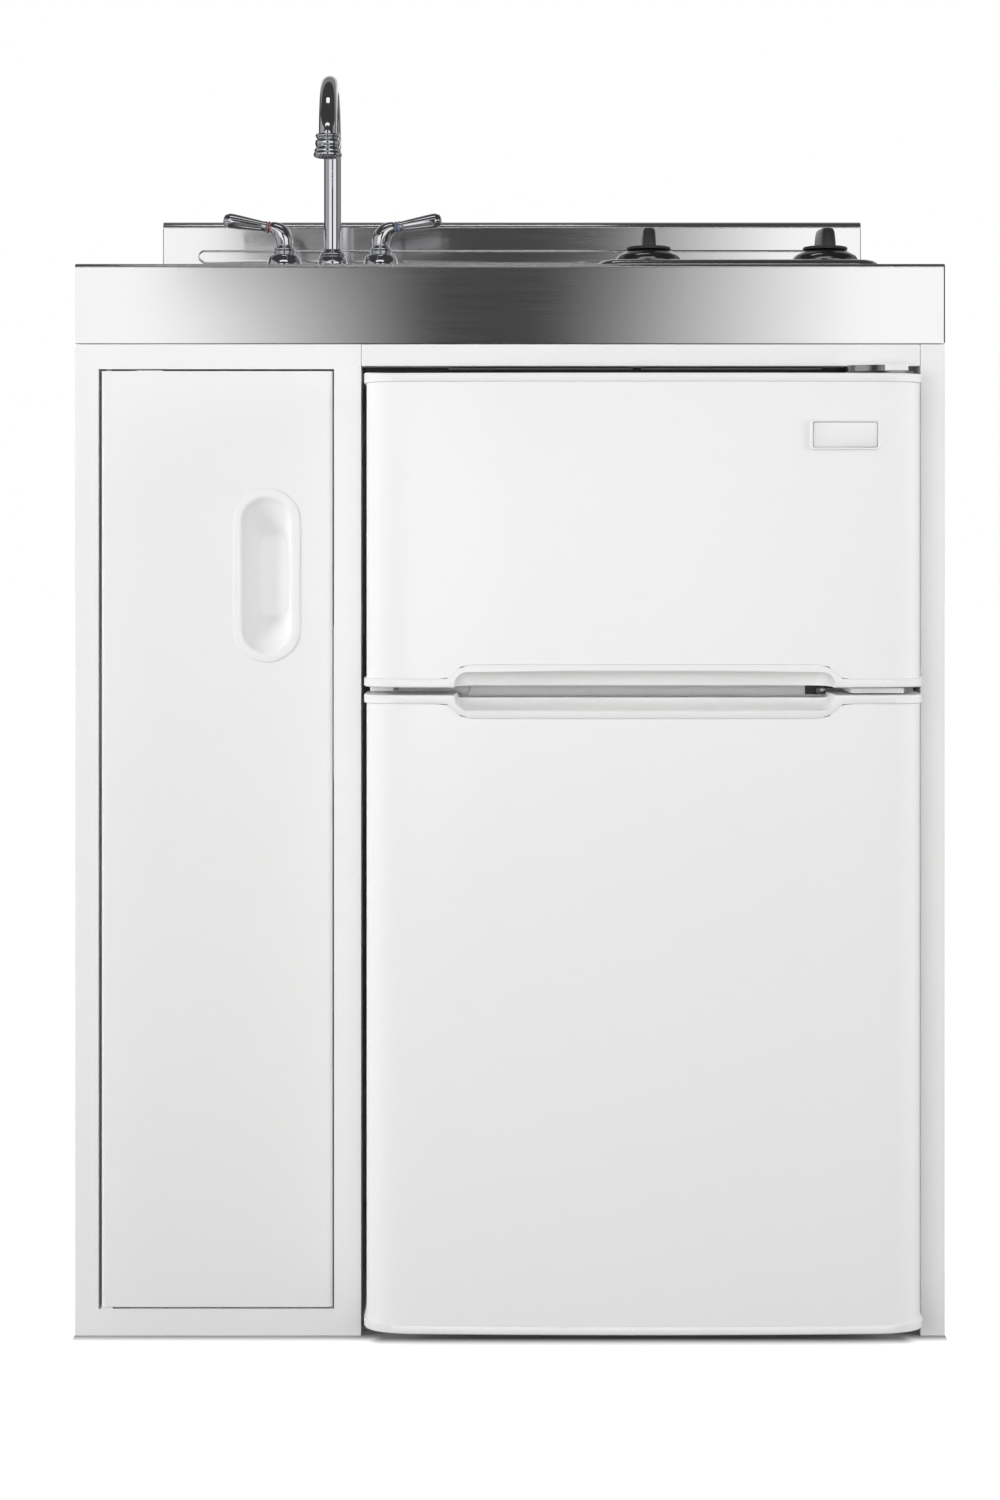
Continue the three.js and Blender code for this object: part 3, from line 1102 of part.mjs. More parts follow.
const CRISPER_TOP = FRESH_FLOOR + CRISPER_HEIGHT;
const COVER_Z = CRISPER_TOP + 2;
const LOAD_FRONT = FRONT + SHELF_SETBACK;

// Cabinet of the fridge: a foamed box with a freezer above, a fresh-food space below with shelf ledges
// and a dial housing, a stepped base for the compressor, and four feet.
function fridgeBody() {
  const outer = roundedRectangle(FRIDGE_X0, FRIDGE_LOW, FRIDGE_X1, FRIDGE_TOP, 4);
  const hollow = (z0, z1, y1) =>
    runY(roundedRectangle(LINER_X0, z0, LINER_X1, z1, LINER_ROUND), FRONT - 1, y1, 3);
  const stepSpace = block(FRIDGE_X0 - 1, FRIDGE_X1 + 1, STEP_FRONT, FRIDGE_BACK + 1,
    FRIDGE_LOW + 2 * SHEET, STEP_HEIGHT);
  const shell = cut(
    runY(outer, FRONT, FRIDGE_BACK, 3),
    hollow(MULLION_TOP, FREEZER_TOP, LINER_BACK),
    hollow(FRESH_FLOOR, MULLION_LOW, CRISPER_BACK),
    hollow(STEP_SHELF, MULLION_LOW, LINER_BACK),
    stepSpace,
  );
  const ledges = [LINER_X0 - 1, LINER_X1 - LEDGE].flatMap((x) => [
    block(x, x + LEDGE + 1, LOAD_FRONT, LINER_BACK + 1, SHELF_Z - LEDGE, SHELF_Z - SEAM),
    block(x, x + LEDGE + 1, LOAD_FRONT, CRISPER_BACK + 1, COVER_Z - LEDGE, COVER_Z - SEAM),
  ]);
  const dialY = FRONT + DIAL_SETBACK;
  const half = DIAL_RADIUS + 8;
  const housing = runX(
    roundedRectangle(dialY - half - 12, DIAL_Z - half, dialY + half + 12, DIAL_Z + half, 8),
    LINER_X1 - HOUSING_DEPTH, LINER_X1 + 1, 4,
  );
  const feet = [FRIDGE_X0 + FOOT_INSET, FRIDGE_X1 - FOOT_INSET].flatMap((x) =>
    [FRONT + FOOT_INSET, FRIDGE_BACK - FOOT_INSET].map((y) => turned([
      [0, 0], [FOOT_RADIUS, 0], [FOOT_RADIUS - 3, 9], [6, 9], [6, FRIDGE_LOW - SHEET - SEAM + 1],
      [0, FRIDGE_LOW - SHEET - SEAM + 1],
    ], x, y, SHEET + SEAM, 8)));
  return cut(join(shell, ...ledges, housing, ...feet), dialBore());
}

// a solid turned about Z is laid over to point along -X, its foot at the dial housing's face
function towardsLeft(solid) {
  return solid.rotate([0, -90, 0]).translate([LINER_X1 - HOUSING_DEPTH, FRONT + DIAL_SETBACK, DIAL_Z]);
}

const dialBore = () => towardsLeft(rod(SHAFT_RADIUS + SEAM, 0, 0, -10, 1, 12));

// Thermostat dial: a scalloped knob on its shaft, with a finger rib.
function thermostatDial() {
  const disc = turned([
    [0, SEAM], [DIAL_RADIUS, SEAM], [DIAL_RADIUS, 3], [DIAL_RADIUS - 2.5, 4.2],
    [DIAL_RADIUS - 3, DIAL_THICKNESS], [0, DIAL_THICKNESS],
  ], 0, 0, 0, 12);
  const rib = block(-2, 2, -DIAL_RADIUS + 4, DIAL_RADIUS - 4, 4, DIAL_THICKNESS + 4);
  const shaft = rod(SHAFT_RADIUS, 0, 0, -9, 1, 12);
  return towardsLeft(join(disc, rib, shaft));
}

// the doors' outline seen from above: square at the back, round front corners, a slightly bowed front
const SKIN_X0 = FRIDGE_X0 - DOOR_OVERHANG;
const SKIN_X1 = FRIDGE_X1 + DOOR_OVERHANG;
const DOOR_FACE = FRONT - FRIDGE_DOOR_REACH;
const DOOR_REAR = FRONT - DOOR_GASKET_SPACE;
function doorOutline(side, front) {
  const x0 = SKIN_X0 - side;
  const x1 = SKIN_X1 + side;
  const face = DOOR_FACE + CAP_PROUD - front;
  const shoulder = face + DOOR_BOW;
  const corner = shoulder + DOOR_CORNER_DEPTH;
  const outline = new THREE.Shape();
  const easing = shoulder + DOOR_CORNER_DEPTH / 3;
  const third = DOOR_CORNER_WIDTH / 3;
  outline.moveTo(x1, DOOR_REAR);
  outline.lineTo(x0, DOOR_REAR);
  outline.lineTo(x0, corner);
  outline.bezierCurveTo(x0, easing, x0 + third, shoulder + 1.5, x0 + DOOR_CORNER_WIDTH, shoulder - 0.6);
  outline.quadraticCurveTo((x0 + x1) / 2, 2 * face - shoulder + 0.6, x1 - DOOR_CORNER_WIDTH, shoulder - 0.6);
  outline.bezierCurveTo(x1 - third, shoulder + 1.5, x1, easing, x1, corner);
  return outline;
}

const skinPrism = (z0, z1) => raise(doorOutline(0, 0), z0, z1, 6);
const capPrism = (z0, z1) => raise(doorOutline(CAP_OVERHANG, CAP_PROUD), z0, z1, 6);
const HINGE_X = SKIN_X1 - HINGE_FROM_EDGE;
const HINGE_Y = FRONT - HINGE_SETBACK;

// the band of a cap that swells in the middle, seen from the front; the edge is the gap between the doors
function swellBand(edge, direction, grow) {
  const x0 = SKIN_X0 - CAP_OVERHANG;
  const x1 = SKIN_X1 + CAP_OVERHANG;
  const low = edge + direction * (CAP_HEIGHT + grow);
  const high = edge + direction * (CAP_HEIGHT + CAP_SWELL + grow);
  const left = x0 + SWELL_INSET;
  const right = x1 - SWELL_INSET;
  const band = new THREE.Shape();
  band.moveTo(x0 - 1, edge - direction);
  band.lineTo(x0 - 1, low);
  band.lineTo(left, low);
  band.bezierCurveTo(left + SWELL_RUN / 2, low, left + SWELL_RUN / 2, high, left + SWELL_RUN, high);
  band.lineTo(right - SWELL_RUN, high);
  band.bezierCurveTo(right - SWELL_RUN / 2, high, right - SWELL_RUN / 2, low, right, low);
  band.lineTo(x1 + 1, low);
  band.lineTo(x1 + 1, edge - direction);
  return runY(band, DOOR_FACE - 1, DOOR_REAR + 1, 5);
}

// the finger pocket scooped out of a cap: a rounded mouth, its roof curving down to the gap at the back
function fingerPocket(edge, direction) {
  const high = edge + direction * POCKET_HEIGHT;
  const front = DOOR_FACE - 1;
  const back = DOOR_FACE + POCKET_DEPTH;
  const scoop = new THREE.Shape();
  scoop.moveTo(front, edge - direction * POCKET_ROUND);
  scoop.lineTo(front, high);
  scoop.lineTo(DOOR_FACE + POCKET_DEPTH / 3, high);
  scoop.quadraticCurveTo(back, high, back, edge - direction * POCKET_ROUND);
  const x0 = SKIN_X0 - CAP_OVERHANG + SWELL_INSET + POCKET_INSET;
  const x1 = SKIN_X1 + CAP_OVERHANG - SWELL_INSET - POCKET_INSET;
  const far = edge - direction * POCKET_HEIGHT;
  const mouth = roundedRectangle(x0, Math.min(high, far), x1, Math.max(high, far), POCKET_ROUND);
  return runX(scoop, x0 - 1, x1 + 1, 6).intersect(runY(mouth, front, back + 1, 5));
}

// a cap that ends a door without a pocket
const plainCap = (edge, direction) =>
  capPrism(Math.min(edge, edge + direction * CAP_HEIGHT), Math.max(edge, edge + direction * CAP_HEIGHT));

// a cap with the swell and the finger pocket
function pocketCap(edge, direction) {
  const far = edge + direction * (CAP_HEIGHT + CAP_SWELL);
  const blank = capPrism(Math.min(edge, far), Math.max(edge, far));
  return cut(blank.intersect(swellBand(edge, direction, 0)), fingerPocket(edge, direction));
}

const pinHole = (edge, direction) => {
  const ends = [edge - direction, edge + direction * HINGE_PIN_REACH];
  return rod(HINGE_PIN_RADIUS + SEAM, HINGE_X, HINGE_Y, Math.min(...ends), Math.max(...ends));
};

// the moulded dike on a door's inner side, which reaches into the compartment
function dike(z0, z1) {
  const frame = (inset) => roundedRectangle(
    LINER_X0 + inset, z0 + inset, LINER_X1 - inset, z1 - inset, LINER_ROUND);
  return cut(
    runY(frame(DIKE_CLEARANCE), DOOR_REAR - 1, FRONT + DIKE_REACH, 4),
    runY(frame(DIKE_CLEARANCE + DIKE_WALL), DOOR_REAR, FRONT + DIKE_REACH + 1, 4),
  );
}

// a bottle rack across the dike
function doorRack(z) {
  const x0 = LINER_X0 + RACK_SIDE;
  const x1 = LINER_X1 - RACK_SIDE;
  const front = FRONT + RACK_REACH;
  const wall = RACK_WALL;
  return cut(
    block(x0, x1, DOOR_REAR - 1, front, z, z + RACK_HEIGHT),
    block(x0 + wall, x1 - wall, DOOR_REAR, front - wall, z + wall, z + RACK_HEIGHT + 1),
    block(x0 + 4 * wall, x1 - 4 * wall, front - 2 * wall, front + 1, z + RACK_HEIGHT / 3,
      z + RACK_HEIGHT - 4 * wall),
  );
}

// Freezer door: a foamed skin between its two caps, with its dike.
function freezerDoor() {
  const skin = cut(
    skinPrism(DOOR_SPLIT_TOP + 1, DOOR_TOP - CAP_HEIGHT - SEAM),
    swellBand(DOOR_SPLIT_TOP, 1, SEAM),
  );
  return join(skin, dike(MULLION_TOP, FREEZER_TOP));
}

// Lower door: the same, taller, with two bottle racks.
function fridgeDoor() {
  const skin = cut(
    skinPrism(DOOR_LOW + CAP_HEIGHT + SEAM, DOOR_SPLIT_LOW - 1),
    swellBand(DOOR_SPLIT_LOW, -1, SEAM),
  );
  return join(skin, dike(FRESH_FLOOR, MULLION_LOW), ...RACK_LEVELS.map(doorRack));
}

// Magnetic gasket: a soft frame round the dike.
function gasket(z0, z1) {
  const x0 = SKIN_X0 + GASKET_SIDE_INSET;
  const x1 = HINGE_X - SEAM;
  const width = GASKET_WIDTH;
  return cut(
    runY(roundedRectangle(x0, z0, x1, z1, 6), DOOR_REAR + SEAM, FRONT - 2 * SEAM, 3),
    runY(roundedRectangle(x0 + width, z0 + width, x1 - width, z1 - width, 3), DOOR_REAR, FRONT, 3),
  );
}

// a hinge plate seen from above: a root under the body's edge and a round-ended arm to the pin
function hingePlate(rootWidth, tail, z) {
  const arm = HINGE_ARM_WIDTH / 2;
  const root = HINGE_X + arm - rootWidth;
  const outline = new THREE.Shape();
  outline.moveTo(HINGE_X + arm, FRONT + tail);
  outline.lineTo(root, FRONT + tail);
  outline.lineTo(root, FRONT - SEAM);
  outline.lineTo(HINGE_X - arm, FRONT - HINGE_SETBACK / 2);
  outline.lineTo(HINGE_X - arm, HINGE_Y);
  outline.absarc(HINGE_X, HINGE_Y, arm, Math.PI, 2 * Math.PI);
  return raise(outline, z, z + HINGE_PLATE, 7);
}

const hingePin = (z, direction) => {
  const far = z + direction * (HINGE_PIN_LENGTH + HINGE_PLATE / 2);
  return rod(HINGE_PIN_RADIUS, HINGE_X, HINGE_Y, Math.min(z, far), Math.max(z, far));
};

const TOP_PLATE_Z = DOOR_TOP + SEAM;
const MIDDLE_PLATE_Z = (DOOR_SPLIT_LOW + DOOR_SPLIT_TOP - HINGE_PLATE) / 2;
const BOTTOM_PLATE_Z = DOOR_LOW - SEAM - HINGE_PLATE;

const topHinge = () => join(
  hingePlate(HINGE_ROOT_WIDTH, TOP_HINGE_TAIL, TOP_PLATE_Z),
  hingePin(TOP_PLATE_Z + HINGE_PLATE / 2, -1),
);

const bottomHinge = () => join(
  hingePlate(HINGE_ROOT_WIDTH, FOOT_INSET - FOOT_RADIUS - 2, BOTTOM_PLATE_Z),
  hingePin(BOTTOM_PLATE_Z + HINGE_PLATE / 2, 1),
);

// Middle hinge: a plate in the gap between the doors, its flange screwed to the mullion.
function middleHinge() {
  const z = MIDDLE_PLATE_Z + HINGE_PLATE / 2;
  const reach = (DOOR_SPLIT_TOP - DOOR_SPLIT_LOW) / 2 + GASKET_INSET - SEAM;
  const left = HINGE_X + HINGE_ARM_WIDTH / 2 - HINGE_ROOT_WIDTH;
  const flange = block(left, HINGE_X + HINGE_ARM_WIDTH / 2, FRONT - SEAM - HINGE_PLATE, FRONT - SEAM,
    z - reach, z + reach);
  const screwHole = rod(HINGE_SCREW_RADIUS, HINGE_X - HINGE_ARM_WIDTH, FRONT - HINGE_SETBACK / 4,
    z - HINGE_PLATE, z + HINGE_PLATE, 12);
  const plate = cut(hingePlate(HINGE_ROOT_WIDTH, -SEAM, MIDDLE_PLATE_Z), screwHole);
  return join(plate, flange, hingePin(z, 1), hingePin(z, -1));
}

// White cover clipped over the top hinge.
function hingeCover() {
  const arm = HINGE_ARM_WIDTH / 2;
  const z = TOP_PLATE_Z + HINGE_PLATE + SEAM;
  const outline = new THREE.Shape();
  outline.moveTo(HINGE_X + arm - 5, FRONT + TOP_HINGE_TAIL);
  outline.lineTo(HINGE_X + arm - HINGE_ROOT_WIDTH, FRONT + TOP_HINGE_TAIL);
  outline.lineTo(HINGE_X + arm - HINGE_ROOT_WIDTH, FRONT);
  outline.quadraticCurveTo(HINGE_X - arm, FRONT, HINGE_X - arm + 4, HINGE_Y);
  outline.absarc(HINGE_X - 1, HINGE_Y, arm - 4, Math.PI, 2 * Math.PI);
  return raise(outline, z, z + HINGE_COVER_HEIGHT, 8);
}

// Shelf or crisper cover: a clear sheet with a rolled front edge.
function shelf(z, back) {
  const x0 = LINER_X0 + 2 * SEAM;
  const x1 = LINER_X1 - 2 * SEAM;
  const edge = SHELF_THICKNESS;
  const section = new THREE.Shape();
  section.moveTo(back - 2 * SEAM, z);
  section.lineTo(LOAD_FRONT + 2 * edge, z);
  section.lineTo(LOAD_FRONT + edge, z - edge / 2);
  section.absarc(LOAD_FRONT - edge / 2 - 1, z + edge / 4, edge * 0.75, -Math.PI / 2, -1.5 * Math.PI, true);
  section.lineTo(back - 2 * SEAM, z + edge);
  const trimmed = runX(section, x0, x1, 6);
  const ledgeRelief = [x0 - 1, x1 - LEDGE - SEAM].map((x) =>
    block(x, x + LEDGE + 1 + SEAM, LOAD_FRONT - SEAM, back, z - edge, z));
  return cut(trimmed, ...ledgeRelief);
}

// Crisper drawer: a clear tub with a finger lip on its front.
function crisperDrawer() {
  const x0 = LINER_X0 + LEDGE + 2 * SEAM;
  const x1 = LINER_X1 - LEDGE - 2 * SEAM;
  const y0 = LOAD_FRONT - CRISPER_LEAD;
  const y1 = CRISPER_BACK - 2 * SEAM - 2;
  const z0 = FRESH_FLOOR + SEAM;
  const z1 = CRISPER_TOP - LEDGE;
  const wall = CRISPER_WALL;
  const outer = raise(roundedRectangle(x0, y0, x1, y1, LINER_ROUND), z0, z1, 4);
  const side = runY(roundedRectangle(x0, z0, x1, z1 + LINER_ROUND, LINER_ROUND), y0, y1, 3);
  const lipTop = z1 - 6 * wall;
  const lip = block(FRIDGE_X - CRISPER_LIP / 2, FRIDGE_X + CRISPER_LIP / 2, y0 - CRISPER_LIP_REACH, y0 + wall,
    lipTop - wall, lipTop);
  const inner = roundedRectangle(x0 + 2 * wall, y0 + wall, x1 - 2 * wall, y1 - wall, LINER_ROUND - wall);
  return cut(join(outer.intersect(side), lip), raise(inner, z0 + 2 * wall, z1 + 1, 3));
}

// Compressor: a welded dome on a foot plate, in the stepped base.
function compressor() {
  const r = COMPRESSOR_RADIUS;
  const h = COMPRESSOR_HEIGHT;
  const x = FRIDGE_X + FRIDGE_WALL;
  const y = (STEP_FRONT + FRIDGE_BACK) / 2;
  const z = FRIDGE_LOW + 2 * SHEET + SEAM;
  const dome = turned([
    [0, 6], [0.62 * r, 6], [0.9 * r, 16], [r, 34], [r, 0.5 * h], [r + 3, 0.5 * h + 1], [r + 3, 0.5 * h + 4],
    [r, 0.5 * h + 5], [0.96 * r, 0.72 * h], [0.8 * r, 0.88 * h], [0.45 * r, 0.97 * h], [0, h],
  ], x, y, z, 14);
  const foot = raise(roundedRectangle(x - r - 12, y - r + 6, x + r + 12, y + r - 6, 12), z, z + 7, 4);
  const relay = block(x - 1.33 * r, x - 0.8 * r, y - 0.3 * r, y + 0.3 * r, z + 0.37 * h, z + 0.75 * h);
  return join(dome, foot, relay);
}

// Condenser: one serpentine tube held off the fridge's back by two straps.
function condenser() {
  const bend = CONDENSER_PITCH / 2;
  const y = FRIDGE_BACK + SEAM + 2 * SHEET + CONDENSER_TUBE - 0.6;
  const half = CONDENSER_WIDTH / 2 - bend;
  const low = STEP_HEIGHT + CONDENSER_PITCH;
  const run = (z) => {
    const ends = [-1, 1].map((side) => new THREE.Vector3(FRIDGE_X + side * (half + 1), y, z));
    return tubeAlong(new THREE.LineCurve3(...ends), CONDENSER_TUBE, 1, 5);
  };
  const turn = (i) => {
    const side = i % 2 ? -1 : 1;
    const centre = low + (i + 0.5) * CONDENSER_PITCH;
    const points = Array.from({ length: 9 }, (unused, k) => {
      const angle = -Math.PI / 2 + (Math.PI * k) / 8;
      const x = FRIDGE_X + side * (half + bend * Math.cos(angle));
      return new THREE.Vector3(x, y, centre + bend * Math.sin(angle));
    });
    return tubeAlong(new THREE.CatmullRomCurve3(points), CONDENSER_TUBE, 4, 5);
  };
  const runs = Array.from({ length: CONDENSER_RUNS }, (unused, i) => run(low + i * CONDENSER_PITCH));
  const turns = Array.from({ length: CONDENSER_RUNS - 1 }, (unused, i) => turn(i));
  const high = low + (CONDENSER_RUNS - 1) * CONDENSER_PITCH;
  const straps = [-1, 1].map((side) => {
    const x = FRIDGE_X + side * (half - 2 * CONDENSER_STRAP);
    return block(x - CONDENSER_STRAP / 2, x + CONDENSER_STRAP / 2, FRIDGE_BACK + SEAM, y - CONDENSER_TUBE / 2,
      low - CONDENSER_STRAP, high + CONDENSER_STRAP);
  });
  return join(...straps, ...runs, ...turns);
}

// ---------------------------------------------------------------- assembly
place('left_front_frame', frontFrame(), WHITE_STEEL);
place('left_side_panel', leftSidePanel(), WHITE_STEEL);
place('right_side_panel', rightSidePanel(), WHITE_STEEL);
place('divider_panel', dividerPanel(), WHITE_STEEL);
place('top_rail', topRail(), WHITE_STEEL);
place('rear_rail', rearRail(), GALVANISED);
place('cupboard_floor', cupboardFloor(), WHITE_STEEL);
place('cupboard_back', cupboardBack(), GALVANISED);
place('bay_floor', bayFloor(), GALVANISED);
place('cabinet_door', cabinetDoor(), WHITE_STEEL);
place('door_pull', doorPull(), WHITE_PLASTIC);
place('upper_door_pivot', doorPivot(1), GALVANISED);
place('lower_door_pivot', doorPivot(-1), GALVANISED);
place('door_catch', doorCatch(), WHITE_PLASTIC);
place('worktop', worktop(), STAINLESS);
place('backsplash', backsplash(), STAINLESS);
place('sink_bowl', sinkBowl(), STAINLESS);
place('strainer_body', strainerBody(), STAINLESS);
place('strainer_basket', strainerBasket(), STAINLESS);
place('drain_tailpiece', drainTailpiece(), CHROME);
place('faucet_base', faucetBase(), CHROME);
place('spout', spout(), CHROME);
place('aerator', aerator(), CHROME);
place('hot_lever', lever(-1), CHROME);
place('cold_lever', lever(1), CHROME);
place('hot_index_ring', indexRing(-1), RED);
place('cold_index_ring', indexRing(1), BLUE);
place('hob_plate', hobPlate(), STAINLESS);
place('hob_box', hobBox(), GALVANISED);
['front', 'rear'].forEach((end, i) => {
  place(`${end}_drip_pan`, dripPan(BURNER_SETBACKS[i]), CHROME);
  place(`${end}_coil_element`, coilElement(BURNER_SETBACKS[i]), ELEMENT);
});
['left', 'right'].forEach((side, i) => {
  place(`${side}_knob_bezel`, knobBezel(KNOB_XS[i]), CHROME);
  place(`${side}_knob`, knob(KNOB_XS[i], i * KNOB_TURNED), BLACK_PLASTIC);
  place(`${side}_heat_switch`, heatSwitch(KNOB_XS[i]), BLACK_PLASTIC);
  place(`${side}_indicator_lamp`, indicatorLamp(LAMP_XS[i]), LAMP);
});
place('fridge_body', fridgeBody(), WHITE_STEEL);
place('freezer_door', freezerDoor(), WHITE_DOOR);
place('freezer_top_cap', cut(plainCap(DOOR_TOP, -1), pinHole(DOOR_TOP, -1)), WHITE_PLASTIC);
place('freezer_bottom_cap', cut(pocketCap(DOOR_SPLIT_TOP, 1), pinHole(DOOR_SPLIT_TOP, 1)), WHITE_PLASTIC);
place('freezer_gasket', gasket(DOOR_SPLIT_TOP + GASKET_INSET, DOOR_TOP - GASKET_END_INSET), GASKET_GREY);
place('fridge_door', fridgeDoor(), WHITE_DOOR);
place('fridge_top_cap', cut(pocketCap(DOOR_SPLIT_LOW, -1), pinHole(DOOR_SPLIT_LOW, -1)), WHITE_PLASTIC);
place('fridge_bottom_cap', cut(plainCap(DOOR_LOW, 1), pinHole(DOOR_LOW, 1)), WHITE_PLASTIC);
place('fridge_gasket', gasket(DOOR_LOW + GASKET_END_INSET, DOOR_SPLIT_LOW - GASKET_INSET), GASKET_GREY);
place('top_hinge', topHinge(), GALVANISED);
place('middle_hinge', middleHinge(), GALVANISED);
place('bottom_hinge', bottomHinge(), GALVANISED);
place('hinge_cover', hingeCover(), WHITE_PLASTIC);
place('shelf', shelf(SHELF_Z, LINER_BACK), CLEAR_PLASTIC);
place('crisper_cover', shelf(COVER_Z, CRISPER_BACK), CLEAR_PLASTIC);
place('crisper_drawer', crisperDrawer(), CLEAR_PLASTIC);
place('thermostat_dial', thermostatDial(), WHITE_PLASTIC);
place('compressor', compressor(), BLACK_STEEL);
place('condenser', condenser(), BLACK_STEEL);

export default unit;
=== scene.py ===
# Kitchenette unit with sink and hob. Metres, +Z up, the front faces -Y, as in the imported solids.
import math

import bmesh
import bpy
from mathutils import Matrix, Vector


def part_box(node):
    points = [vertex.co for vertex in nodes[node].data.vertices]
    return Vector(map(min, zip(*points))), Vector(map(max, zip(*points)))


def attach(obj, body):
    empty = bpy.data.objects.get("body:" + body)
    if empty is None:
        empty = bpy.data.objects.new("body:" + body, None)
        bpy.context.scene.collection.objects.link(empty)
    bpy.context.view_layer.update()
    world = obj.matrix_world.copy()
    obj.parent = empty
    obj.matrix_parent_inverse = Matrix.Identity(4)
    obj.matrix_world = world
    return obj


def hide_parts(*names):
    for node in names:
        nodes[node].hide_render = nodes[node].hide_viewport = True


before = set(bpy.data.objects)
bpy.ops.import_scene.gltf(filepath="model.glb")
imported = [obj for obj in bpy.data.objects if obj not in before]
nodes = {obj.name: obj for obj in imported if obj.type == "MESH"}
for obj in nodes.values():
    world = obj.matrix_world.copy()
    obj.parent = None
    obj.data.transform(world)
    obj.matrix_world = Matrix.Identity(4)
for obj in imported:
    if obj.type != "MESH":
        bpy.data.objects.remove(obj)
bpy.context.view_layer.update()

# ---------------------------------------------------------------------------------------------------------
# Camera: at eye height with the cabinet door's pull, square to the front, a long lens on a tall frame.
# The verticals are parallel, so the view is shifted down and not tilted.
IMAGE_SHORT_SIDE = 1000
IMAGE_LONG_SIDE = 1500
FOCAL_PIXELS = 2756
VANISHING_X = 520
HORIZON_Y = 545
eye = Vector((0.0088, -2.678, 0.6924))

camera_data = bpy.data.cameras.new("camera")
camera_data.sensor_width = 36
camera_data.lens = FOCAL_PIXELS / IMAGE_LONG_SIDE * camera_data.sensor_width
camera_data.shift_x = (IMAGE_SHORT_SIDE / 2 - VANISHING_X) / IMAGE_LONG_SIDE
camera_data.shift_y = (HORIZON_Y - IMAGE_LONG_SIDE / 2) / IMAGE_LONG_SIDE
camera_data.clip_end = 60
camera = bpy.data.objects.new("camera", camera_data)
camera.location = eye
camera.rotation_euler = (math.radians(90), 0, 0)
bpy.context.collection.objects.link(camera)
bpy.context.scene.camera = camera
bpy.context.scene.view_settings.view_transform = "Standard"


# ---------------------------------------------------------------------------------------------------------
# Cabinet: face frame, side panels, divider, front rail and cupboard floor, of 1.5 mm sheet steel, folded,
# spot-welded and powder-coated white. The coat pulls thin on the folds and has a fine orange peel.
def shader_nodes(material):
    material.use_nodes = True
    tree = material.node_tree
    tree.nodes.clear()
    output = tree.nodes.new("ShaderNodeOutputMaterial")
    shader = tree.nodes.new("ShaderNodeBsdfPrincipled")
    tree.links.new(shader.outputs["BSDF"], output.inputs["Surface"])
    return tree, shader


def noise(tree, scale, detail=2.0, stretch=(1, 1, 1)):
    place = tree.nodes.new("ShaderNodeTexCoord")
    mapping = tree.nodes.new("ShaderNodeMapping")
    mapping.inputs["Scale"].default_value = stretch
    texture = tree.nodes.new("ShaderNodeTexNoise")
    texture.inputs["Scale"].default_value = scale
    texture.inputs["Detail"].default_value = detail
    tree.links.new(place.outputs["Object"], mapping.inputs["Vector"])
    tree.links.new(mapping.outputs["Vector"], texture.inputs["Vector"])
    return texture.outputs["Fac"]


def ramp(tree, value, start, end, low, high):
    """Takes a value from one range into another; each end is a number or a socket."""
    spread = tree.nodes.new("ShaderNodeMapRange")
    for socket, number in zip(("From Min", "From Max", "To Min", "To Max"), (start, end, low, high)):
        if isinstance(number, (int, float)):
            spread.inputs[socket].default_value = number
        else:
            tree.links.new(number, spread.inputs[socket])
    tree.links.new(value, spread.inputs["Value"])
    return spread.outputs["Result"]


def between(tree, factor, low, high):
    return ramp(tree, factor, 0.0, 1.0, low, high)


def blend_colours(tree, factor, first, second):
    mix = tree.nodes.new("ShaderNodeMix")
    mix.data_type = "RGBA"
    mix.inputs[6].default_value = (*first, 1)
    mix.inputs[7].default_value = (*second, 1)
    tree.links.new(factor, mix.inputs[0])
    return mix.outputs[2]


def relief(tree, shader, height, strength, distance):
    bump = tree.nodes.new("ShaderNodeBump")
    bump.inputs["Strength"].default_value = strength
    bump.inputs["Distance"].default_value = distance
    tree.links.new(height, bump.inputs["Height"])
    tree.links.new(bump.outputs["Normal"], shader.inputs["Normal"])


def moulded(name, first, second, rough, grain, depth, coat=0.0, clouds=3.0):
    """Paint or plastic: two close colours in slow clouds, and a fine grain in roughness and relief."""
    material = bpy.data.materials.new(name)
    tree, shader = shader_nodes(material)
    slow = noise(tree, clouds, 3)
    fine = noise(tree, grain, 2)
    tree.links.new(blend_colours(tree, slow, first, second), shader.inputs["Base Color"])
    tree.links.new(between(tree, fine, *rough), shader.inputs["Roughness"])
    relief(tree, shader, fine, 0.35, depth)
    shader.inputs["IOR"].default_value = 1.5
    shader.inputs["Coat Weight"].default_value = coat
    shader.inputs["Coat Roughness"].default_value = 0.12
    return material


powder_coat = moulded("powder_coat", (0.83, 0.83, 0.825), (0.86, 0.86, 0.855), (0.36, 0.50), 900, 0.00022)


def finish_node(name, material, fold=0.0, segments=2):
    """A CAD node keeps its mesh; it gets the material and, where it is folded or moulded, eased edges."""
    piece = nodes[name]
    piece.data.materials.clear()
    piece.data.materials.append(material)
    weld = piece.modifiers.new("weld", "WELD")
    weld.merge_threshold = 0.00001
    if fold:
        bevel = piece.modifiers.new("fold", "BEVEL")
        bevel.width = fold
        bevel.segments = segments
        bevel.limit_method = "ANGLE"
        bevel.angle_limit = math.radians(40)
        bevel.harden_normals = False
    smooth = piece.modifiers.new("smooth", "NODES")
    smooth.node_group = smooth_faces
    flats = piece.modifiers.new("flats", "WEIGHTED_NORMAL")
    flats.keep_sharp = True
    return piece


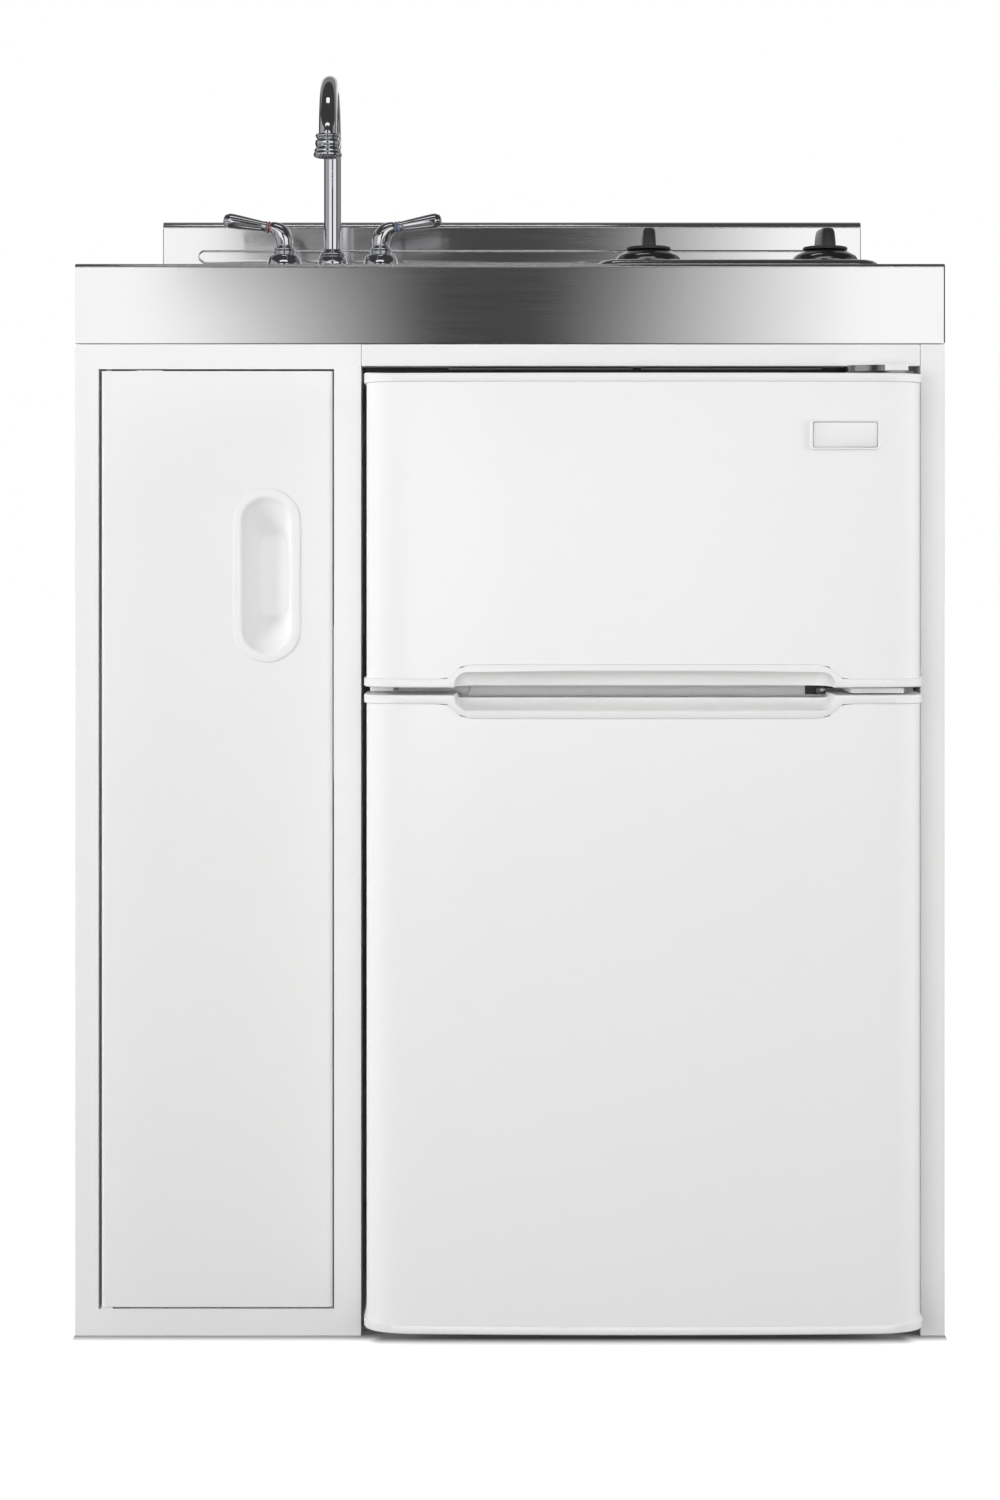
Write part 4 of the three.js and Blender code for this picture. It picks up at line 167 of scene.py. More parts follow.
smooth_faces = bpy.data.node_groups.new("smooth_faces", "GeometryNodeTree")
smooth_faces.interface.new_socket("Geometry", in_out="INPUT", socket_type="NodeSocketGeometry")
smooth_faces.interface.new_socket("Geometry", in_out="OUTPUT", socket_type="NodeSocketGeometry")
entry = smooth_faces.nodes.new("NodeGroupInput")
leave = smooth_faces.nodes.new("NodeGroupOutput")
all_smooth = smooth_faces.nodes.new("GeometryNodeSetShadeSmooth")
edge_angle = smooth_faces.nodes.new("GeometryNodeInputMeshEdgeAngle")
is_fold = smooth_faces.nodes.new("FunctionNodeCompare")
is_fold.operation = "LESS_THAN"
is_fold.inputs["B"].default_value = math.radians(32)
keep_folds = smooth_faces.nodes.new("GeometryNodeSetShadeSmooth")
keep_folds.domain = "EDGE"
smooth_faces.links.new(entry.outputs[0], all_smooth.inputs["Geometry"])
smooth_faces.links.new(all_smooth.outputs["Geometry"], keep_folds.inputs["Geometry"])
smooth_faces.links.new(edge_angle.outputs["Unsigned Angle"], is_fold.inputs["A"])
smooth_faces.links.new(is_fold.outputs["Result"], keep_folds.inputs["Shade Smooth"])
smooth_faces.links.new(keep_folds.outputs["Geometry"], leave.inputs[0])

for name in ("left_front_frame", "left_side_panel", "right_side_panel", "divider_panel", "top_rail",
             "cupboard_floor"):
    finish_node(name, powder_coat, fold=0.0005)

# ---------------------------------------------------------------------------------------------------------
# Rear rail, cupboard back, bay floor and pivot brackets: plain galvanised sheet, left unpainted because
# they are out of sight. Zinc shows as a soft spangle of slightly lighter and darker flakes.
galvanised = bpy.data.materials.new("galvanised")
tree, shader = shader_nodes(galvanised)
spangle = tree.nodes.new("ShaderNodeTexVoronoi")
spangle.inputs["Scale"].default_value = 55
spangle_place = tree.nodes.new("ShaderNodeTexCoord")
tree.links.new(spangle_place.outputs["Object"], spangle.inputs["Vector"])
flake = tree.nodes.new("ShaderNodeSeparateColor")
tree.links.new(spangle.outputs["Color"], flake.inputs["Color"])
tree.links.new(blend_colours(tree, flake.outputs["Red"], (0.52, 0.54, 0.55), (0.66, 0.68, 0.69)),
               shader.inputs["Base Color"])
tree.links.new(between(tree, flake.outputs["Green"], 0.34, 0.52), shader.inputs["Roughness"])
relief(tree, shader, noise(tree, 400, 3), 0.2, 0.0001)
shader.inputs["Metallic"].default_value = 1.0

for name in ("rear_rail", "cupboard_back", "bay_floor", "upper_door_pivot", "lower_door_pivot", "hob_box"):
    finish_node(name, galvanised)

# ---------------------------------------------------------------------------------------------------------
# Cupboard door: a folded steel pan coated like the frame, hung on two pins, held by a white magnetic catch.
finish_node("cabinet_door", powder_coat, fold=0.0008, segments=3)
white_moulding = moulded("white_moulding", (0.83, 0.83, 0.825), (0.85, 0.85, 0.845), (0.24, 0.34), 1400,
                         0.00005)
finish_node("door_catch", white_moulding, fold=0.0006)


# ---------------------------------------------------------------------------------------------------------
# Door pull: a white moulded cup sprung into the door, its thin oval flange lying on the paint. The ends
# slope gently, the side next to the door's edge is steep, and the floor is small and flat.
def mesh_piece(name, points, faces, material, body, slot, sharp=35):
    mesh = bpy.data.meshes.new(name)
    mesh.from_pydata([tuple(p) for p in points], [], faces)
    mesh.validate()
    turn_outwards(mesh)
    mesh.shade_smooth()
    mesh.set_sharp_from_angle(angle=math.radians(sharp))
    mesh.materials.append(material)
    piece = bpy.data.objects.new(name, mesh)
    bpy.context.collection.objects.link(piece)
    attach(piece, body)
    return piece


def turn_outwards(mesh):
    work = bmesh.new()
    work.from_mesh(mesh)
    bmesh.ops.recalc_face_normals(work, faces=work.faces)
    work.to_mesh(mesh)
    work.free()


def oval_ring(centre_u, centre_v, width, height, radius, steps):
    """Points round a rectangle with round corners, in its own plane, anticlockwise."""
    ring = []
    for corner, (su, sv) in enumerate(((1, 1), (-1, 1), (-1, -1), (1, -1))):
        for step in range(steps):
            angle = (corner + (step + 0.5) / steps) * math.pi / 2
            ring.append((centre_u + su * (width / 2 - radius) + radius * math.cos(angle),
                         centre_v + sv * (height / 2 - radius) + radius * math.sin(angle)))
    return ring


def skin_rings(rings, closed_loop=True, cap_ends=False):
    """Faces through rings of equal count; closed_loop joins the last ring to the first."""
    count = len(rings[0])
    points = [p for ring in rings for p in ring]
    faces = []
    last = len(rings) if closed_loop else len(rings) - 1
    for r in range(last):
        below, above = r * count, ((r + 1) % len(rings)) * count
        faces += [(below + i, below + (i + 1) % count, above + (i + 1) % count, above + i)
                  for i in range(count)]
    if cap_ends:
        faces.append(tuple(reversed(range(count))))
        faces.append(tuple(range((len(rings) - 1) * count, len(rings) * count)))
    return points, faces


def solid_piece(name, rings, material, body, slot, sharp=35):
    """A piece skinned over rings and closed at both ends."""
    return mesh_piece(name, *skin_rings(rings, False, True), material, body, slot, sharp)


def front_rings(centre_x, centre_z, width, height, radius, steps, rows, ease=0.0):
    """Round-cornered rings seen from the front, one for each (inset, y); ease narrows the corners too."""
    return [[(u, y, v) for u, v in oval_ring(centre_x, centre_z, width - 2 * inset, height - 2 * inset,
                                             radius - ease * inset, steps)]
            for inset, y in rows]


def flat_rings(centre_x, centre_y, width, depth, radius, steps, rows, ease=0.0):
    """The same rings lying flat, one for each (inset, z)."""
    return [[(u, v, z) for u, z, v in ring]
            for ring in front_rings(centre_x, centre_y, width, depth, radius, steps, rows, ease)]


def drawn_out(outline, axis, levels):
    """One outline at each level along x or z, for a folded or sawn length."""
    if axis == "x":
        return [[(level, a, b) for a, b in outline] for level in levels]
    return [[(a, b, level) for a, b in outline] for level in levels]


def smooth_profile(stops, steps):
    """Rows of numbers eased from stop to stop, through each of them, as a drawn sheet flows over its die."""
    rows = []
    for i in range(len(stops) - 1):
        before, a, b, after = (stops[max(i - 1, 0)], stops[i], stops[i + 1],
                               stops[min(i + 2, len(stops) - 1)])
        for step in range(steps):
            t = step / steps
            rows.append(tuple(
                0.5 * (2 * q + (r - p) * t + (2 * p - 5 * q + 4 * r - s) * t * t
                       + (3 * q - p - 3 * r + s) * t ** 3)
                for p, q, r, s in zip(before, a, b, after)))
    rows.append(tuple(stops[-1]))
    return rows


pull_low, pull_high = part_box("door_pull")
pull_x = (pull_low.x + pull_high.x) / 2
pull_z = (pull_low.z + pull_high.z) / 2
PULL_FACE = -0.2643
PULL_STEPS = 12
# width, height, y behind the door's face, shift towards the door's free edge
pull_front = smooth_profile([
    (0.0590, 0.1530, 0.0002, 0.0000), (0.0587, 0.1527, -0.0002, 0.0000), (0.0560, 0.1500, -0.0005, 0.0000),
    (0.0500, 0.1440, -0.0007, 0.0000), (0.0450, 0.1385, -0.0006, 0.0000), (0.0418, 0.1342, 0.0003, 0.0000),
    (0.0388, 0.1270, 0.0028, 0.0006), (0.0350, 0.1090, 0.0062, 0.0020), (0.0305, 0.0890, 0.0102, 0.0036),
    (0.0268, 0.0760, 0.0124, 0.0046), (0.0235, 0.0690, 0.0130, 0.0050), (0.0150, 0.0590, 0.0131, 0.0050),
], 3)
pull_rings = []
for width, height, depth, shift in pull_front:
    radius = min(width, height) / 2 - 0.0002
    pull_rings.append([(u, PULL_FACE + depth, v)
                       for u, v in oval_ring(pull_x + shift, pull_z, width, height, radius, PULL_STEPS)])
points, faces = skin_rings(pull_rings, closed_loop=False)
faces.append(tuple(range(len(points) - 4 * PULL_STEPS, len(points))))
pull = mesh_piece("oval_pull", points, faces, white_moulding, "cabinet_door", "white_plastic", sharp=60)
wall = pull.modifiers.new("wall", "SOLIDIFY")
wall.thickness = 0.0012
wall.offset = -1
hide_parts("door_pull")

# ---------------------------------------------------------------------------------------------------------
# Cupboard door's pivot bush: a small white nylon block at the foot of the opening, under the door's lower
# left corner; the door turns on it.
door_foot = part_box("cabinet_door")[0].z
solid_piece("door_pivot_bush", front_rings(-0.3530, door_foot - 0.0011, 0.0100, 0.0018, 0.0005, 3, (
    (0, -0.2639), (0, -0.2500))), white_moulding, "cabinet", "white_plastic")

# ---------------------------------------------------------------------------------------------------------
# Worktop and backsplash: one sheet of stainless bent down as a deep fascia, and a folded upstand with a
# pressed bead. Both are brushed along their length, so light smears up and down into soft bands.
def math_node(tree, operation, *values):
    """One sum on numbers and sockets."""
    node = tree.nodes.new("ShaderNodeMath")
    node.operation = operation
    for socket, value in zip(node.inputs, values):
        if isinstance(value, (int, float)):
            socket.default_value = value
        else:
            tree.links.new(value, socket)
    return node.outputs[0]


def brushed(name, colours, rough, along, anisotropy, depth=0.00002):
    """Stainless brushed along one axis: fine long scratches in colour, roughness and relief."""
    material = bpy.data.materials.new(name)
    tree, shader = shader_nodes(material)
    stretch = tuple(5 if axis == along else 260 for axis in "xyz")
    scratch = noise(tree, 4, 3, stretch)
    broad = noise(tree, 1.0, 2, tuple(0.6 if axis == along else 14 for axis in "xyz"))
    mixed = math_node(tree, "MULTIPLY_ADD", scratch, 0.75, math_node(tree, "MULTIPLY", broad, 0.25))
    tree.links.new(blend_colours(tree, mixed, *colours), shader.inputs["Base Color"])
    tree.links.new(between(tree, mixed, *rough), shader.inputs["Roughness"])
    relief(tree, shader, scratch, 0.25, depth)
    shader.inputs["Metallic"].default_value = 1.0
    shader.inputs["Anisotropic"].default_value = anisotropy
    shader.inputs["Anisotropic Rotation"].default_value = 0.25
    lie = tree.nodes.new("ShaderNodeCombineXYZ")
    lie.inputs["XYZ".index(along.upper())].default_value = 1.0
    tree.links.new(lie.outputs[0], shader.inputs["Tangent"])
    return material


brushed_top = brushed("brushed_top", ((0.92, 0.92, 0.925), (1.0, 1.0, 1.0)), (0.09, 0.20), "x", 0.85)
finish_node("worktop", brushed_top, fold=0.0006)
# seam_shade is painted shade: a near-black for thin strips set where edges and gaps should read dark. The
# strip on the fascia's right end stands for the shade on its folded edge.
seam_shade = moulded("seam_shade", (0.020, 0.019, 0.022), (0.030, 0.028, 0.032), (0.5, 0.7), 900, 0.00005)
fascia_shade_plan = [(0.3801, -0.2637), (0.3810, -0.2637), (0.3810, -0.2645), (0.3801, -0.2645)]
solid_piece("fascia_end_shade_line", drawn_out(fascia_shade_plan, "z", (0.8695, 0.9375)), seam_shade, "cabinet",
            "stainless")

SHEET = 0.0015
SPLASH_LOW = 0.9392
SPLASH_HIGH = 1.0456
SPLASH_FACE = 0.332
SPLASH_BACK = 0.346
SPLASH_REACH = 0.381
SPLASH_BEND = 0.008
BEAD = (0.685, 0.015, 1.007)


def flat_faces(piece):
    """Keeps the flats of a piece flat in its mirror image, with the turn only in its narrow faces."""
    flats = piece.modifiers.new("flats", "WEIGHTED_NORMAL")
    flats.keep_sharp = True


def splash_arc(radius):
    return [(SPLASH_FACE + SPLASH_BEND - radius * math.cos(a),
             SPLASH_HIGH - SPLASH_BEND + radius * math.sin(a))
            for a in (math.pi / 2 * k / 8 for k in range(9))]


section = [(SPLASH_FACE, SPLASH_LOW)] + splash_arc(SPLASH_BEND) + [
    (SPLASH_BACK, SPLASH_HIGH), (SPLASH_BACK, SPLASH_HIGH - 0.014),
    (SPLASH_BACK - SHEET, SPLASH_HIGH - 0.014),
    (SPLASH_BACK - SHEET, SPLASH_HIGH - SHEET)]
section += list(reversed(splash_arc(SPLASH_BEND - SHEET))) + [(SPLASH_FACE + SHEET, SPLASH_LOW)]
splash = solid_piece("splash_sheet", drawn_out(section, "x", (-SPLASH_REACH, SPLASH_REACH)), brushed_top,
                     "cabinet", "stainless", sharp=40)
flat_faces(splash)
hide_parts("backsplash")
bead_rings = front_rings(0, BEAD[2], BEAD[0], BEAD[1], BEAD[1] / 2 - 0.0001, 12, [
    (inset, SPLASH_FACE - proud) for inset, proud in (
        (0.0, -0.0004), (0.0, 0.0001), (0.0004, 0.0005), (0.0012, 0.0009), (0.0024, 0.0011),
        (0.0036, 0.0012))],
    ease=1.0)
flat_faces(solid_piece("splash_bead", bead_rings, brushed_top, "cabinet", "stainless", sharp=60))
end_section = [(SPLASH_FACE + SHEET, SPLASH_LOW), (SPLASH_FACE + SHEET, SPLASH_HIGH - SPLASH_BEND),
               (SPLASH_BACK, SPLASH_HIGH - SPLASH_BEND), (SPLASH_BACK, SPLASH_LOW)]
# Thin near-black strips along both ends of the upstand are painted shade for their edges.
splash_shade_plan = [(0.3804, 0.3322), (0.3810, 0.3322), (0.3810, 0.3317), (0.3804, 0.3317)]
for side, name in ((-1, "left"), (1, "right")):
    ends = (side * (SPLASH_REACH - 0.0002), side * (SPLASH_REACH - SHEET))
    solid_piece(f"splash_end_{name}", drawn_out(end_section, "x", ends), brushed_top, "cabinet", "stainless")
    edge = drawn_out([(side * x, y) for x, y in splash_shade_plan], "z", (SPLASH_LOW, SPLASH_HIGH - SPLASH_BEND))
    solid_piece(f"splash_edge_shade_{name}", edge, seam_shade, "cabinet", "stainless")

# ---------------------------------------------------------------------------------------------------------
# Sink: a bowl drawn from thinner stainless with round corners and a falling wall, satin inside, hung by its
# flange under the worktop's hole. The strainer cup is clamped in its floor, a basket lies in the cup.
pressed = brushed("pressed_steel", ((0.70, 0.70, 0.705), (0.80, 0.80, 0.805)), (0.26, 0.38), "y", 0.35)

SINK_CENTRE = (-0.189, -0.002)
SINK_RIM = (0.300, 0.340)
SINK_TOP = 0.9372
SINK_FLOOR = 0.852
SINK_CORNER = 0.048
DRAIN_CENTRE = (-0.235, -0.002)
DRAIN_RADIUS = 0.042
SINK_STEPS = 12


def sink_ring(inset, height, corner):
    return [(u, v, height) for u, v in oval_ring(
        *SINK_CENTRE, SINK_RIM[0] - 2 * inset, SINK_RIM[1] - 2 * inset, corner, SINK_STEPS)]


def sink_wall(outside):
    rows = []
    for inset, height, corner in (
            (0.0000, SINK_TOP, 0.0480), (0.0016, SINK_TOP - 0.002, 0.0470), (0.0050, 0.905, 0.0440),
            (0.0088, 0.876, 0.0395), (0.0105, 0.866, 0.0375), (0.0140, 0.8585, 0.0355),
            (0.0195, 0.8540, 0.0325), (0.0280, 0.8522, 0.0260), (0.0400, SINK_FLOOR, 0.0200)):
        rows.append(sink_ring(inset - outside, height - (outside if inset > 0.012 else 0), corner + outside))
    return rows


def drain_ring(height):
    return [(u, v, height) for u, v in oval_ring(
        *DRAIN_CENTRE, 2 * DRAIN_RADIUS, 2 * DRAIN_RADIUS, DRAIN_RADIUS, SINK_STEPS)]


outer_wall = list(reversed(sink_wall(SHEET)))
rings = sink_wall(0) + [drain_ring(SINK_FLOOR), drain_ring(SINK_FLOOR - SHEET)] + outer_wall[:-1]
rings += [sink_ring(-SHEET, SINK_TOP - SHEET, SINK_CORNER), sink_ring(-0.012, SINK_TOP - SHEET, 0.060),
          sink_ring(-0.012, SINK_TOP, 0.060)]
points, faces = skin_rings(rings)
sink = mesh_piece("sink", points, faces, pressed, "cabinet", "pressed_stainless", sharp=50)
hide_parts("sink_bowl")


def turned_piece(name, profile, centre, material, body, slot, segments=64, sharp=35, turn=None):
    """A profile of (radius, height) turned about the vertical through centre, closed on the axis."""
    points, faces, rows = [], [], []
    for radius, height in profile:
        if radius < 1e-6:
            rows.append([len(points)])
            points.append(Vector((0, 0, height)))
            continue
        rows.append(list(range(len(points), len(points) + segments)))
        for i in range(segments):
            angle = 2 * math.pi * i / segments
            points.append(Vector((radius * math.cos(angle), radius * math.sin(angle), height)))
    loop = rows + [rows[0]] if profile[0][0] > 1e-6 else rows
    for a, b in zip(loop, loop[1:]):
        for i in range(segments):
            j = (i + 1) % segments
            corners = [a[i % len(a)], a[j % len(a)], b[j % len(b)], b[i % len(b)]]
            face = tuple(dict.fromkeys(corners))
            if len(face) > 2:
                faces.append(face)
    place = Matrix.Translation(centre)
    if turn is not None:
        place = place @ turn.to_4x4()
    return mesh_piece(name, [place @ p for p in points], faces, material, body, slot, sharp)


def rounded(profile, corner, steps=4):
    """The same profile with each inner corner turned as a small arc, as a cutter or a mould leaves it."""
    out = [profile[0]]
    for before, here, after in zip(profile, profile[1:], profile[2:]):
        b, h, a = Vector(before), Vector(here), Vector(after)
        reach = min(corner, 0.45 * (b - h).length, 0.45 * (a - h).length)
        start, end = h + (b - h).normalized() * reach, h + (a - h).normalized() * reach
        for step in range(steps + 1):
            t = step / steps
            out.append(tuple(start * (1 - t) ** 2 + h * 2 * t * (1 - t) + end * t * t))
    out.append(profile[-1])
    return out


STRAINER_BORE = 0.0387
cup = turned_piece("strainer_cup", rounded([
    (0.0560, 0.0003), (0.0556, 0.0013), (0.0425, 0.0024), (0.0395, 0.0012), (STRAINER_BORE, -0.0020),
    (STRAINER_BORE, -0.0440), (0.0340, -0.0460), (0.0175, -0.0460), (0.0175, -0.0680), (0.0193, -0.0680),
    (0.0193, -0.0490), (0.0402, -0.0475), (0.0402, -0.0098), (0.0520, -0.0098), (0.0520, -0.0018),
    (0.0402, -0.0018), (0.0402, 0.0003),
], 0.0006, 3), (*DRAIN_CENTRE, SINK_FLOOR), pressed, "cabinet", "pressed_stainless")
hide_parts("strainer_body")

polished = brushed("polished_steel", ((0.78, 0.78, 0.785), (0.86, 0.86, 0.865)), (0.12, 0.2), "z", 0.0)
basket_floor = -0.0367
basket = turned_piece("basket", rounded([
    (0.0, -0.0457), (0.0235, -0.0457), (0.0245, -0.0427), (0.0080, -0.0407), (0.0080, basket_floor),
    (0.0302, basket_floor), (0.0342, -0.0060), (0.0372, -0.0040), (0.0372, -0.0028), (0.0327, -0.0046),
    (0.0292, basket_floor + 0.0014), (0.0040, basket_floor + 0.0014), (0.0040, -0.0160), (0.0072, -0.0130),
    (0.0068, -0.0085), (0.0040, -0.0070), (0.0, -0.0068),
], 0.0008, 3), (*DRAIN_CENTRE, SINK_FLOOR), polished, "strainer_basket", "pressed_stainless")
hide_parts("strainer_basket")


def carve(piece, cutters):
    """Cuts with solid cutters and keeps the result as the piece's own mesh."""
    for cutter in cutters:
        tool = piece.modifiers.new("cut", "BOOLEAN")
        tool.operation = "DIFFERENCE"
        tool.solver = "EXACT"
        tool.object = cutter
    bpy.context.view_layer.update()
    made = bpy.data.meshes.new_from_object(piece.evaluated_get(bpy.context.evaluated_depsgraph_get()))
    piece.modifiers.clear()
    piece.data = made
    for cutter in cutters:
        bpy.data.objects.remove(cutter)


def loose_solid(rings):
    """A solid that is only used to cut with."""
    points, faces = skin_rings(rings, False, True)
    mesh = bpy.data.meshes.new("cutter")
    mesh.from_pydata([tuple(p) for p in points], [], faces)
    turn_outwards(mesh)
    cutter = bpy.data.objects.new("cutter", mesh)
    bpy.context.collection.objects.link(cutter)
    return cutter


def rod_cutter(x, y, low, high, radius, sides=16):
    circle = [(x + radius * math.cos(2 * math.pi * i / sides), y + radius * math.sin(2 * math.pi * i / sides))
              for i in range(sides)]
    return loose_solid(drawn_out(circle, "z", (low, high)))


drain_holes = []
for count, ring_radius in ((6, 0.0150), (12, 0.0245)):
    for i in range(count):
        angle = 2 * math.pi * (i + 0.5 * (count > 6)) / count
        drain_holes.append(rod_cutter(DRAIN_CENTRE[0] + ring_radius * math.cos(angle),
                                      DRAIN_CENTRE[1] + ring_radius * math.sin(angle),
                                      SINK_FLOOR + basket_floor - 0.002, SINK_FLOOR + basket_floor + 0.004,
                                      0.0021))
carve(basket, drain_holes)

def clouded(name, cloud, colours, rough, bump, sockets):
    """One noise gives colour and roughness, a second one relief; the named sockets take plain values."""
    material = bpy.data.materials.new(name)
    tree, shader = shader_nodes(material)
    slow = noise(tree, *cloud)
    tree.links.new(blend_colours(tree, slow, *colours), shader.inputs["Base Color"])
    tree.links.new(between(tree, slow, *rough), shader.inputs["Roughness"])
    if bump:
        grain, detail, strength, depth = bump
        relief(tree, shader, noise(tree, grain, detail), strength, depth)
    for socket, value in sockets.items():
        shader.inputs[socket].default_value = value
    return material


chrome = clouded("chrome", (60, 3), ((0.73, 0.74, 0.765), (0.79, 0.80, 0.825)), (0.03, 0.075),
                 (35, 2, 0.05, 0.0001), {"Metallic": 1.0})

tailpiece = turned_piece("tailpiece", rounded([
    (0.0175, -0.0003), (0.0175, -0.1100), (0.0193, -0.1100), (0.0193, -0.0080), (0.0245, -0.0060),
    (0.0245, 0.0100), (0.0205, 0.0100), (0.0205, -0.0003),
], 0.0006, 3), (*DRAIN_CENTRE, 0.784), chrome, "cabinet", "chrome")
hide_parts("drain_tailpiece")

# ---------------------------------------------------------------------------------------------------------
# Faucet base: a bevelled deck plate with a bell under each lever and a hub for the spout, cast in brass in
# one piece and chrome plated. Two threaded shanks go down through the worktop with a flange nut each.
FAUCET_X = -0.189
FAUCET_Y = 0.232
HANDLE_REACH = 0.0508
DECK = 0.939
PLATE_LENGTH = 0.152
PLATE_WIDTH = 0.050

deck_rings = flat_rings(FAUCET_X, FAUCET_Y, PLATE_LENGTH, PLATE_WIDTH, PLATE_WIDTH / 2 - 0.0001, 16, [
    (inset, DECK + height) for inset, height in (
        (0.0004, 0.0003), (0.0000, 0.0008), (0.0000, 0.0068), (0.0004, 0.0085), (0.0014, 0.0100),
        (0.0027, 0.0112), (0.0044, 0.0121), (0.0066, 0.0127), (0.0100, 0.0130), (0.0140, 0.0130))], ease=1.0)
deck_plate = solid_piece("faucet_plate", deck_rings, chrome, "cabinet", "chrome", sharp=50)
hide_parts("faucet_base")

bell_profile = smooth_profile([
    (0.0236, 0.0125), (0.0228, 0.0150), (0.0196, 0.0230), (0.0175, 0.0330),
    (0.0172, 0.0410)], 5) + smooth_profile([
    (0.0178, 0.0420), (0.0185, 0.0432), (0.0187, 0.0455), (0.0187, 0.0480), (0.0182, 0.0512),
    (0.0173, 0.0546), (0.0156, 0.0582), (0.0124, 0.0600)], 4) + smooth_profile([
    (0.0113, 0.0603), (0.0113, 0.0610), (0.0118, 0.0618), (0.0118, 0.0628), (0.0110, 0.0635),
    (0.0, 0.0635)], 3)
hub_profile = smooth_profile([
    (0.0190, 0.0125), (0.0182, 0.0150), (0.0150, 0.0215), (0.0130, 0.0300),
    (0.0128, 0.0420)], 5) + smooth_profile([
    (0.0134, 0.0440), (0.0152, 0.0462), (0.0158, 0.0490), (0.0158, 0.0515), (0.0150, 0.0545),
    (0.0138, 0.0570), (0.0134, 0.0585), (0.0, 0.0585)], 4)
turned_piece("faucet_hub", [(0.0, 0.0120)] + hub_profile, (FAUCET_X, FAUCET_Y, DECK), chrome, "cabinet",
             "chrome", sharp=50)
for side, name in ((-1, "hot"), (1, "cold")):
    centre = (FAUCET_X + side * HANDLE_REACH, FAUCET_Y, DECK)
    turned_piece(f"{name}_bell", [(0.0, 0.0120)] + bell_profile, centre, chrome, "cabinet", "chrome",
                 sharp=50)
    thread = [(0.0, -0.0479)]
    for i in range(22):
        low = -0.0479 + i * 0.0018
        thread += [(0.0094, low), (0.0100, low + 0.0006), (0.0100, low + 0.0009), (0.0094, low + 0.0015)]
    thread += [(0.0096, -0.0010), (0.0096, 0.0005), (0.0, 0.0005)]
    turned_piece(f"{name}_shank", thread, centre, chrome, "cabinet", "chrome", segments=32)
    turned_piece(f"{name}_flange_nut", rounded([
        (0.0, -0.0110), (0.0130, -0.0110), (0.0130, -0.0045), (0.0168, -0.0035), (0.0168, -0.0018),
        (0.0, -0.0018),
    ], 0.0008, 3), centre, galvanised, "cabinet", "galvanised", segments=24)

# ---------------------------------------------------------------------------------------------------------
# Spout: one drawn tube bent into a gooseneck, standing in the hub with a small collar, and an aerator
# sleeve on its end, ringed and flared to a wide rim round a dark mesh. Both swivel together.
SPOUT_RADIUS = 0.0092
SPOUT_REACH = 0.128
SPOUT_BEND = SPOUT_REACH / 2
SPOUT_BEND_START = DECK + 0.237 - SPOUT_RADIUS - SPOUT_BEND
SPOUT_TURN = math.radians(1.7)


def tube_through(route, radius, sides, taper=None):
    """Rings round a route, each turned on from the last one so that the tube never twists."""
    rings = []
    side = None
    for i, here in enumerate(route):
        along = (route[min(i + 1, len(route) - 1)] - route[max(i - 1, 0)]).normalized()
        if side is None:
            side = along.orthogonal().normalized()
        side = (side - along * side.dot(along)).normalized()
        across = along.cross(side)
        r = radius if taper is None else taper(i / (len(route) - 1))
        rings.append([here + r * (math.cos(a) * side + math.sin(a) * across)
                      for a in (2 * math.pi * k / sides for k in range(sides))])
    return rings


route = [Vector((FAUCET_X, FAUCET_Y, z)) for z in (DECK + 0.045, DECK + 0.08, DECK + 0.12, SPOUT_BEND_START)]
for step in range(1, 41):
    angle = math.pi * step / 40
    out = SPOUT_BEND * (1 - math.cos(angle))
    route.append(Vector((FAUCET_X + out * math.sin(SPOUT_TURN), FAUCET_Y - out * math.cos(SPOUT_TURN),
                         SPOUT_BEND_START + SPOUT_BEND * math.sin(angle))))
gooseneck = solid_piece("gooseneck", tube_through(route, SPOUT_RADIUS, 40), chrome,
                       "spout", "chrome", sharp=60)
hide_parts("spout")
turned_piece("spout_collar", smooth_profile([
    (0.0, 0.0003), (0.0122, 0.0003), (0.0130, 0.0008), (0.0132, 0.0018), (0.0126, 0.0032), (0.0110, 0.0048),
    (0.0104, 0.0058), (0.0098, 0.0065), (0.0, 0.0066)], 3), (FAUCET_X, FAUCET_Y, DECK + 0.0585), chrome,
    "spout", "chrome", sharp=50)
AERATOR_X = FAUCET_X + SPOUT_REACH * math.sin(SPOUT_TURN)
AERATOR_Y = FAUCET_Y - SPOUT_REACH * math.cos(SPOUT_TURN)
sleeve = turned_piece("aerator_sleeve", rounded([
    (0.0, -0.0003), (0.0104, -0.0003), (0.0104, 0.0036), (0.0112, 0.0044), (0.0122, 0.0038),
    (0.0127, 0.0026), (0.0124, 0.0012), (0.0112, 0.0003), (0.0111, -0.0012), (0.0124, -0.0022),
    (0.0129, -0.0042), (0.0128, -0.0064), (0.0120, -0.0086), (0.0122, -0.0098), (0.0134, -0.0112),
    (0.0136, -0.0126), (0.0136, -0.0140), (0.0143, -0.0150), (0.0146, -0.0162), (0.0145, -0.0180),
    (0.0132, -0.0192), (0.0108, -0.0196), (0.0100, -0.0190), (0.0098, -0.0168), (0.0, -0.0166),
], 0.0007, 3), (AERATOR_X, AERATOR_Y, SPOUT_BEND_START), chrome, "spout", "chrome", sharp=55)
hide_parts("aerator")
# Black moulding for the aerator's mesh, the knobs, the switches and the relay box; the thin plate by the
# middle hinge takes it as painted shade.
black_moulding_and_shade = moulded("black_moulding_and_shade", (0.022, 0.023, 0.025), (0.032, 0.033, 0.036), (0.26, 0.38), 1500,
                         0.00005)
turned_piece("aerator_mesh", [(0.0, -0.0188), (0.0092, -0.0188), (0.0092, -0.0168), (0.0, -0.0168)],
             (AERATOR_X, AERATOR_Y, SPOUT_BEND_START), black_moulding_and_shade, "spout", "black_plastic", segments=32)

